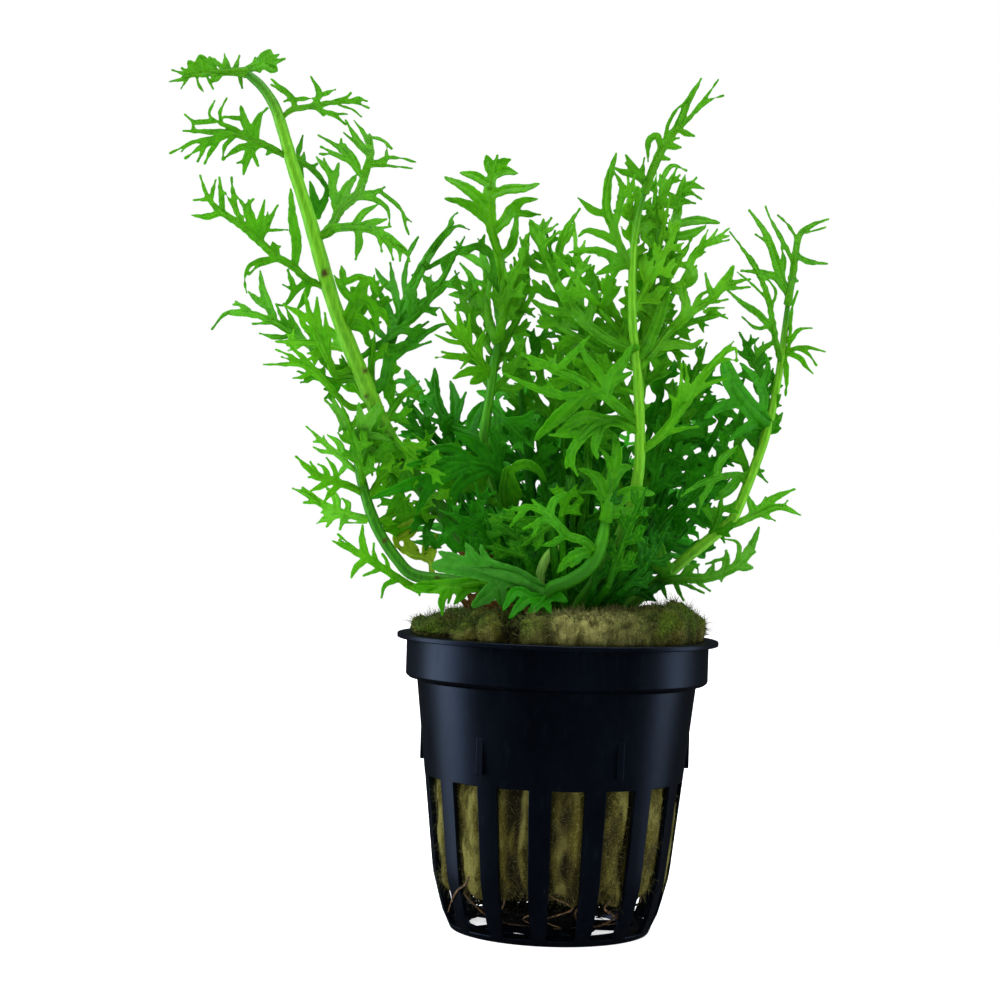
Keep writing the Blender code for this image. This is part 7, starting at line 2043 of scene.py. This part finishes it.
@dataclass(frozen=True)
class Fronds:
    """The leaves between the ones drawn one by one: each is drawn by rule between its foot and its tip.

    Each group is a piece: its name, its tone, and the depths from which and up to which it takes fronds.
    """

    foliage: Foliage
    step: float = 0.26
    ripple: float = 1.2
    crown_height: float = 53.5
    # Deep fronds take the deep tone, a darker green painted as shade.
    groups: tuple[tuple[str, Tone, float, float], ...] = (
        ("fresh", Tone.FRESH, -99, 99), ("bright", Tone.BRIGHT, -99, 99), ("deep", Tone.DEEP, -99, 5),
        ("deep_back", Tone.DEEP, 5, 99), ("glossy", Tone.GLOSSY, -99, 99),
        ("withered", Tone.WITHERED, -99, 99))

    def limbs(self, frond: Frond, rng: Chance) -> list[Limb]:
        """A frond's limbs: a curved stalk, leaflets on both sides in turn, and lobes on each leaflet.

        A leaflet leaves its stalk at about 50 degrees. Its length is the frond's breadth times one less its
        share along the stalk, raised to 0.7. Leaflets stand 1.3 mm and a quarter of the breadth apart.

        Args:
            frond: The frond.
            rng: Where the unevenness comes from.

        Returns:
            The limbs, the stalk first.
        """
        foot, tip = np.array(frond.foot, float), np.array(frond.tip, float)
        chord = tip - foot
        length = np.hypot(*chord)
        middle = foot + 0.5 * chord + np.array((-chord[1], chord[0])) * (frond.bow + rng.uniform(-0.1, 0.1))
        limbs = [(1.2, *foot, *middle, *tip)]
        line = smooth_path(np.array([foot, middle, tip]), 0.4)
        ways = np.gradient(line, axis=0)
        ways /= lengths(ways)
        count = round(length * 0.85 / (1.3 + 0.25 * frond.breadth))
        for k in range(count):
            share = 0.15 + 0.82 * (k + rng.uniform(-0.2, 0.2)) / count
            start, way = (values[int(share * (len(line) - 1))] for values in (line, ways))
            side = 1 if k % 2 else -1
            reach = (frond.breadth * (1.0 - share) ** 0.7 + 1.2) * rng.uniform(0.75, 1.15)
            limbs += self.leaflet(start, way, side * rng.uniform(0.7, 1.05), reach, rng)
        return limbs

    @staticmethod
    def leaflet(start: Array, way: Array, turn: float, reach: float, rng: Chance) -> list[Limb]:
        """One leaflet, bent towards the frond's tip, and its lobes.

        Args:
            start: Where it leaves the stalk.
            way: The stalk's direction there.
            turn: The angle to it in radians.
            reach: The leaflet's length.
            rng: Where the unevenness comes from.

        Returns:
            The leaflet's limb, then its lobes.
        """
        middle = start + turned(way, turn) * reach * 0.5
        end = middle + turned(way, turn * 0.6) * reach * 0.5
        fine = min(1.0, 0.45 + 0.11 * reach)
        limbs = [(fine * min(1.9, 0.9 + 0.12 * reach), *start, *middle, *end)]
        lobes = round(reach / 2.4)
        for j in range(lobes):
            share = 0.32 + 0.6 * j / max(lobes, 1)
            foot = start + (middle - start) * min(1.0, 2 * share) + (end - middle) * max(0.0, 2 * share - 1.0)
            angle = turn * (1.0 - 0.3 * share) + (1 if j % 2 else -1) * rng.uniform(0.55, 0.9)
            size = (0.9 + 0.42 * reach * (1.0 - share)) * rng.uniform(0.8, 1.25)
            width = fine * rng.uniform(0.95, 1.2) * min(1.4, 0.8 + 0.08 * reach)
            limbs.append((width, *foot, *(foot + turned(way, angle) * size)))
        return limbs

    def shell(self, frond: Frond, rng: Chance) -> Shell:
        """One frond at its depth, leaning and twisting a little.

        On a stem it turns to the stem's depth near its foot. From the crown it has a round stalk of its own
        up to its foot, which starts in the plug at half the frond's depth and keeps the tone's deep colour as
        painted shade in the crown.

        Args:
            frond: The frond.
            rng: Where the unevenness comes from.

        Returns:
            Its shell.
        """
        foot = np.array(frond.foot, float)
        crowned = frond.carrier == "crown"
        base, lean, twist = frond.depth, rng.uniform(-4.0, 4.0), rng.uniform(-0.3, 0.3)
        root = base if crowned else self.foliage.stem_point(frond.carrier, *foot)[1]
        phase = offshoot(rng)

        def place(flat: Array, middle: Array) -> Array:
            """The frond's points in space.

            Args:
                flat: Points of the flat leaf.
                middle: Their distances from the nearest midrib.

            Returns:
                A place in millimetres for each.
            """
            away = flat - foot
            run = np.linalg.norm(away, axis=1)
            out = base + lean * run / 25.0 + twist * away[:, 0]
            out = out - self.foliage.fold * np.minimum(middle, FOLD_REACH)
            out += self.ripple * waves(flat, WAVE_LENGTH, phase) * eased(run / 12.0)
            share = eased(run / self.foliage.joint)
            return seen(flat[:, 0], root * (1 - share) + out * share, flat[:, 1])

        shell = leaf_shell(self.limbs(frond, rng), place, self.step, rng)
        if not crowned:
            return shell
        down = foot[1] - self.crown_height
        line = smooth_path(np.array([(foot[0] * 0.45 + 1.0, base * 0.5, self.crown_height),
                                     (foot[0] * 0.7 + 0.6, base * 0.75, self.crown_height + 0.45 * down),
                                     (foot[0], base, foot[1])]), 0.9)
        stalk = tube(seen(*line.T), 0.62 - 0.1 * run_share(line), 8)
        # The crown stalk keeps the tone's deep colour: painted shade in the crown.
        return joined([shell, stalk.valued(vein=0.35, reach=-1.2)])

    @staticmethod
    def tint(frond: Frond) -> float:
        """How much lighter a frond is: painted shade low in the crown and far in front, lighter on one stem.
        """
        low = -0.55 if frond.foot[1] < 60 else -0.25 if frond.foot[1] < 67 else 0.0
        return low + (0.15 * (frond.carrier == "stem_middle") - 0.22 * (frond.depth <= -13))

    def build(self, finishes: dict[Tone, Material]) -> None:
        """Makes the fronds of each group as one piece.

        Args:
            finishes: The finish of each tone.
        """
        for name, tone, near, far in self.groups:
            shells = []
            for frond in FRONDS:
                if frond.tone == tone.value and near <= frond.depth < far:
                    rng = np.random.default_rng(500 + frond.number)
                    shell = self.shell(frond, rng)
                    shells.append(shell.valued(tint=rng.uniform(-0.2, 0.2) + self.tint(frond)))
            joined(shells).put(f"fronds_{name}", finishes[tone], TONE_SLOTS[tone])


@dataclass(frozen=True)
class Roots:
    """The thin roots: one over a bar of the pot at the left, and a tangle in the dark under the plug."""

    pot: NetPot
    count: int = 2200

    def single(self, rng: Chance) -> Shell:
        """The root over the bar and ten that run in under the plug, each thinner towards its end.

        Args:
            rng: Where the unevenness comes from.

        Returns:
            All of them as one shell.
        """
        over = np.array([(-13.9, 8.2), (-14.4, 6.9), (-15.7, 5.9), (-16.6, 4.2), (-17.2, 2.1)])
        place, out = self.pot.on_wall(*over.T)
        paths = [(smooth_path(place + out * 0.15, 0.5), 0.22)]
        height = np.array((8.6, 6.4, 4.2, 2.6, 1.9))
        for turn in np.radians((-118, -103, -79, -70, -61, -40, 20, 90, 160, 215)):
            way = np.array((math.cos(turn), math.sin(turn), 0.0))
            reach = np.array((17.0, 16.9, 15.8, 13.5, 10.5)) + rng.uniform(-0.8, 0.4, 5)
            sway = rng.uniform(-3.0, 3.0, 5) + rng.uniform(-2, 2)
            side = np.array((-way[1], way[0], 0.0)) * sway[:, None]
            knots = way * reach[:, None] + (0, 0, 1) * height[:, None] + side
            paths.append((smooth_path(knots, 0.6), rng.uniform(0.16, 0.32)))
        return joined([tube(path, size * (1.0 - 0.6 * run_share(path)) * (1 + 0.15 * waves(path, 2.0, rng)),
                            8, side_axis=(0.1, 0.2, 1.0)) for path, size in paths])

    def tangle(self, rng: Chance) -> Shell:
        """The hairs in the dark; low ones point upwards, so that none comes out under the pot.

        Args:
            rng: Where the unevenness comes from.

        Returns:
            The hairs as one shell.
        """
        turn, size = rng.uniform(0.0, math.tau, self.count), rng.uniform(2.0, 5.0, self.count)
        away = 13.5 * rng.uniform(size=self.count) ** 0.5
        height = rng.uniform(2.8, 9.5, self.count)
        starts = np.stack([away * np.cos(turn) - 1.0, away * np.sin(turn), height], -1)
        ways = rng.normal(size=starts.shape) * (1.0, 1.0, 0.5)
        ways[:, 2] = np.where(height < 7.8, np.abs(ways[:, 2]) + 0.3, ways[:, 2])
        return hairs(starts, ways, size, rng.uniform(0.08, 0.26, self.count), size * 0.2, rng)

    def build(self, bark: Material, dark: Material) -> None:
        """Makes the single roots as one piece and the tangle as another.

        Args:
            bark: The finish of the single roots.
            dark: The finish of the tangle, painted near black as shade.
        """
        rng = np.random.default_rng(5)
        self.single(rng).put("roots", bark, "root")
        self.tangle(rng).put("root_tangle", dark, "root")


@dataclass(frozen=True)
class Lamp:
    """A softbox: where it stands as seen from the plant, its size in metres and its radiance."""

    name: str
    azimuth: float
    elevation: float
    distance: float
    size: tuple[float, float]
    radiance: float
    mirrored: bool = True
    colour: Colour = (1.0, 1.0, 1.0)


@dataclass(frozen=True)
class Studio:
    """A pale floor, soft lights, a white surround and the camera."""

    lamps: tuple[Lamp, ...] = (
        Lamp("softbox_left", -98.0, 12.0, 0.62, (0.34, 0.80), 4.4, True, (0.70, 0.83, 1.0)),
        Lamp("softbox_right", 98.0, 12.0, 0.66, (0.26, 0.80), 3.2, True, (0.70, 0.83, 1.0)),
        Lamp("fill_left", -84.0, 22.0, 0.70, (0.34, 0.60), 2.6, False),
        Lamp("fill_right", 84.0, 22.0, 0.70, (0.34, 0.60), 2.0, False),
        Lamp("softbox_above", 0.0, 88.0, 0.60, (0.80, 0.60), 3.6),
        Lamp("softbox_back", 180.0, 30.0, 0.85, (0.90, 0.50), 2.4, False),
        Lamp("softbox_front", -20.0, 38.0, 0.90, (0.70, 0.50), 1.5, False),
    )
    middle: tuple[float, float, float] = (0.0, 0.0, 0.075)
    floor_radius: float = 0.9
    floor_corners: int = 96
    ambient: float = 0.30

    def light(self, lamp: Lamp) -> None:
        """Adds a softbox that faces the plant: azimuth 0 is in front, 90 at the right.

        Args:
            lamp: The softbox.
        """
        turn, rise = math.radians(lamp.azimuth), math.radians(lamp.elevation)
        away = np.array((math.sin(turn) * math.cos(rise), -math.cos(turn) * math.cos(rise), math.sin(rise)))
        data = bpy.data.lights.new(lamp.name, "AREA")
        data.shape = "RECTANGLE"
        data.size, data.size_y = lamp.size
        data.energy = lamp.radiance * math.pi * lamp.size[0] * lamp.size[1]
        data.color = lamp.colour
        light = bpy.data.objects.new(lamp.name, data)
        light.location = np.array(self.middle) + away * lamp.distance
        light.rotation_euler = (math.pi / 2 - rise, 0.0, turn)
        light.visible_camera = False
        light.visible_glossy = lamp.mirrored
        bpy.context.scene.collection.objects.link(light)

    def floor(self) -> None:
        """Adds the floor, a wide disc with a matt white finish that glows a little, so that it stays pale."""
        kit = NodeKit("floor")
        paper = kit.node("ShaderNodeBsdfDiffuse", {"Color": (0.86, 0.86, 0.86, 1.0)})
        glow = kit.node("ShaderNodeEmission", {"Color": (1.0, 1.0, 1.0, 1.0), "Strength": 0.62})
        both = kit.node("ShaderNodeAddShader", {0: paper.outputs[0], 1: glow.outputs[0]})
        turn = np.arange(self.floor_corners) * math.tau / self.floor_corners
        points = np.stack([np.cos(turn), np.sin(turn), np.zeros_like(turn)], -1) * self.floor_radius
        mesh = bpy.data.meshes.new("floor")
        mesh.from_pydata(points.tolist(), [], [list(range(self.floor_corners))])
        mesh.materials.append(kit.finish(both.outputs[0]))
        floor = bpy.data.objects.new("floor", mesh)
        bpy.context.scene.collection.objects.link(floor)
        floor.visible_glossy = False

    def surround(self) -> None:
        """Sets the world: white where the camera sees it, dim light otherwise, nearly dark in reflections."""
        world = bpy.data.worlds.new("surround")
        world.use_nodes = True
        bpy.context.scene.world = world
        tree = world.node_tree
        rays = tree.nodes.new("ShaderNodeLightPath")
        ambient = tree.nodes.new("ShaderNodeMapRange")
        ambient.inputs["To Min"].default_value = self.ambient
        ambient.inputs["To Max"].default_value = 0.03
        strength = tree.nodes.new("ShaderNodeMath")
        strength.operation = "MAXIMUM"
        tree.links.new(rays.outputs["Is Glossy Ray"], ambient.inputs["Value"])
        tree.links.new(ambient.outputs["Result"], strength.inputs[0])
        tree.links.new(rays.outputs["Is Camera Ray"], strength.inputs[1])
        back = tree.nodes["Background"]
        back.inputs["Color"].default_value = (1.0, 1.0, 1.0, 1.0)
        tree.links.new(strength.outputs[0], back.inputs["Strength"])

    @staticmethod
    def camera() -> None:
        """Places the camera at the drawing's viewpoint, level and turned a little about its own axis."""
        data = bpy.data.cameras.new("camera")
        data.sensor_width = 36.0
        data.lens = data.sensor_width * VIEW_DISTANCE / FRAME_WIDTH
        data.clip_start = 0.01
        camera = bpy.data.objects.new("camera", data)
        camera.location = (VIEW_X * MM, -VIEW_DISTANCE * MM, VIEW_HEIGHT * MM)
        camera.rotation_euler = (math.pi / 2, VIEW_ROLL, 0.0)
        bpy.context.scene.collection.objects.link(camera)
        bpy.context.scene.camera = camera

    def build(self) -> None:
        """Sets up the whole studio, with plain colours as the lights give them."""
        self.floor()
        self.surround()
        self.camera()
        for lamp in self.lamps:
            self.light(lamp)
        bpy.context.scene.view_settings.view_transform = "Standard"


def main() -> None:
    """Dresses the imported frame, piece by piece, and sets up the studio."""
    logging.basicConfig(level=logging.INFO, format="%(message)s")
    leaf_finishes = {tone: finish.build() for tone, finish in LEAF_FINISHES.items()}
    stem_finishes = {tone: finish.build() for tone, finish in STEM_FINISHES.items()}
    pot = NetPot()
    pot.build(PlasticFinish().build())
    WoolPlug(pot).build(
        WoolFinish().build(),
        FibreFinish("wool_fibres", (0.06, 0.055, 0.010), (0.32, 0.32, 0.10), (0.12, 0.105, 0.018)).build(),
        FibreFinish("moss", (0.010, 0.016, 0.001), (0.150, 0.200, 0.022), (0.020, 0.070, 0.003)).build())
    Roots(pot).build(BarkFinish("roots", (0.030, 0.014, 0.004), (0.160, 0.085, 0.028)).build(),
                     # A darker copy of the root finish for the tangle: painted shade under the plug.
                     BarkFinish("root_tangle_painted_shade", (0.003, 0.002, 0.001), (0.016, 0.010, 0.004)).build())
    stems = Stems()
    stems.build(stem_finishes)
    foliage = Foliage(stems)
    foliage.build(leaf_finishes)
    BackFoliage().build(leaf_finishes[Tone.DEEP])
    Fronds(foliage).build(leaf_finishes)
    Studio().build()


if __name__ == "__main__":
    main()
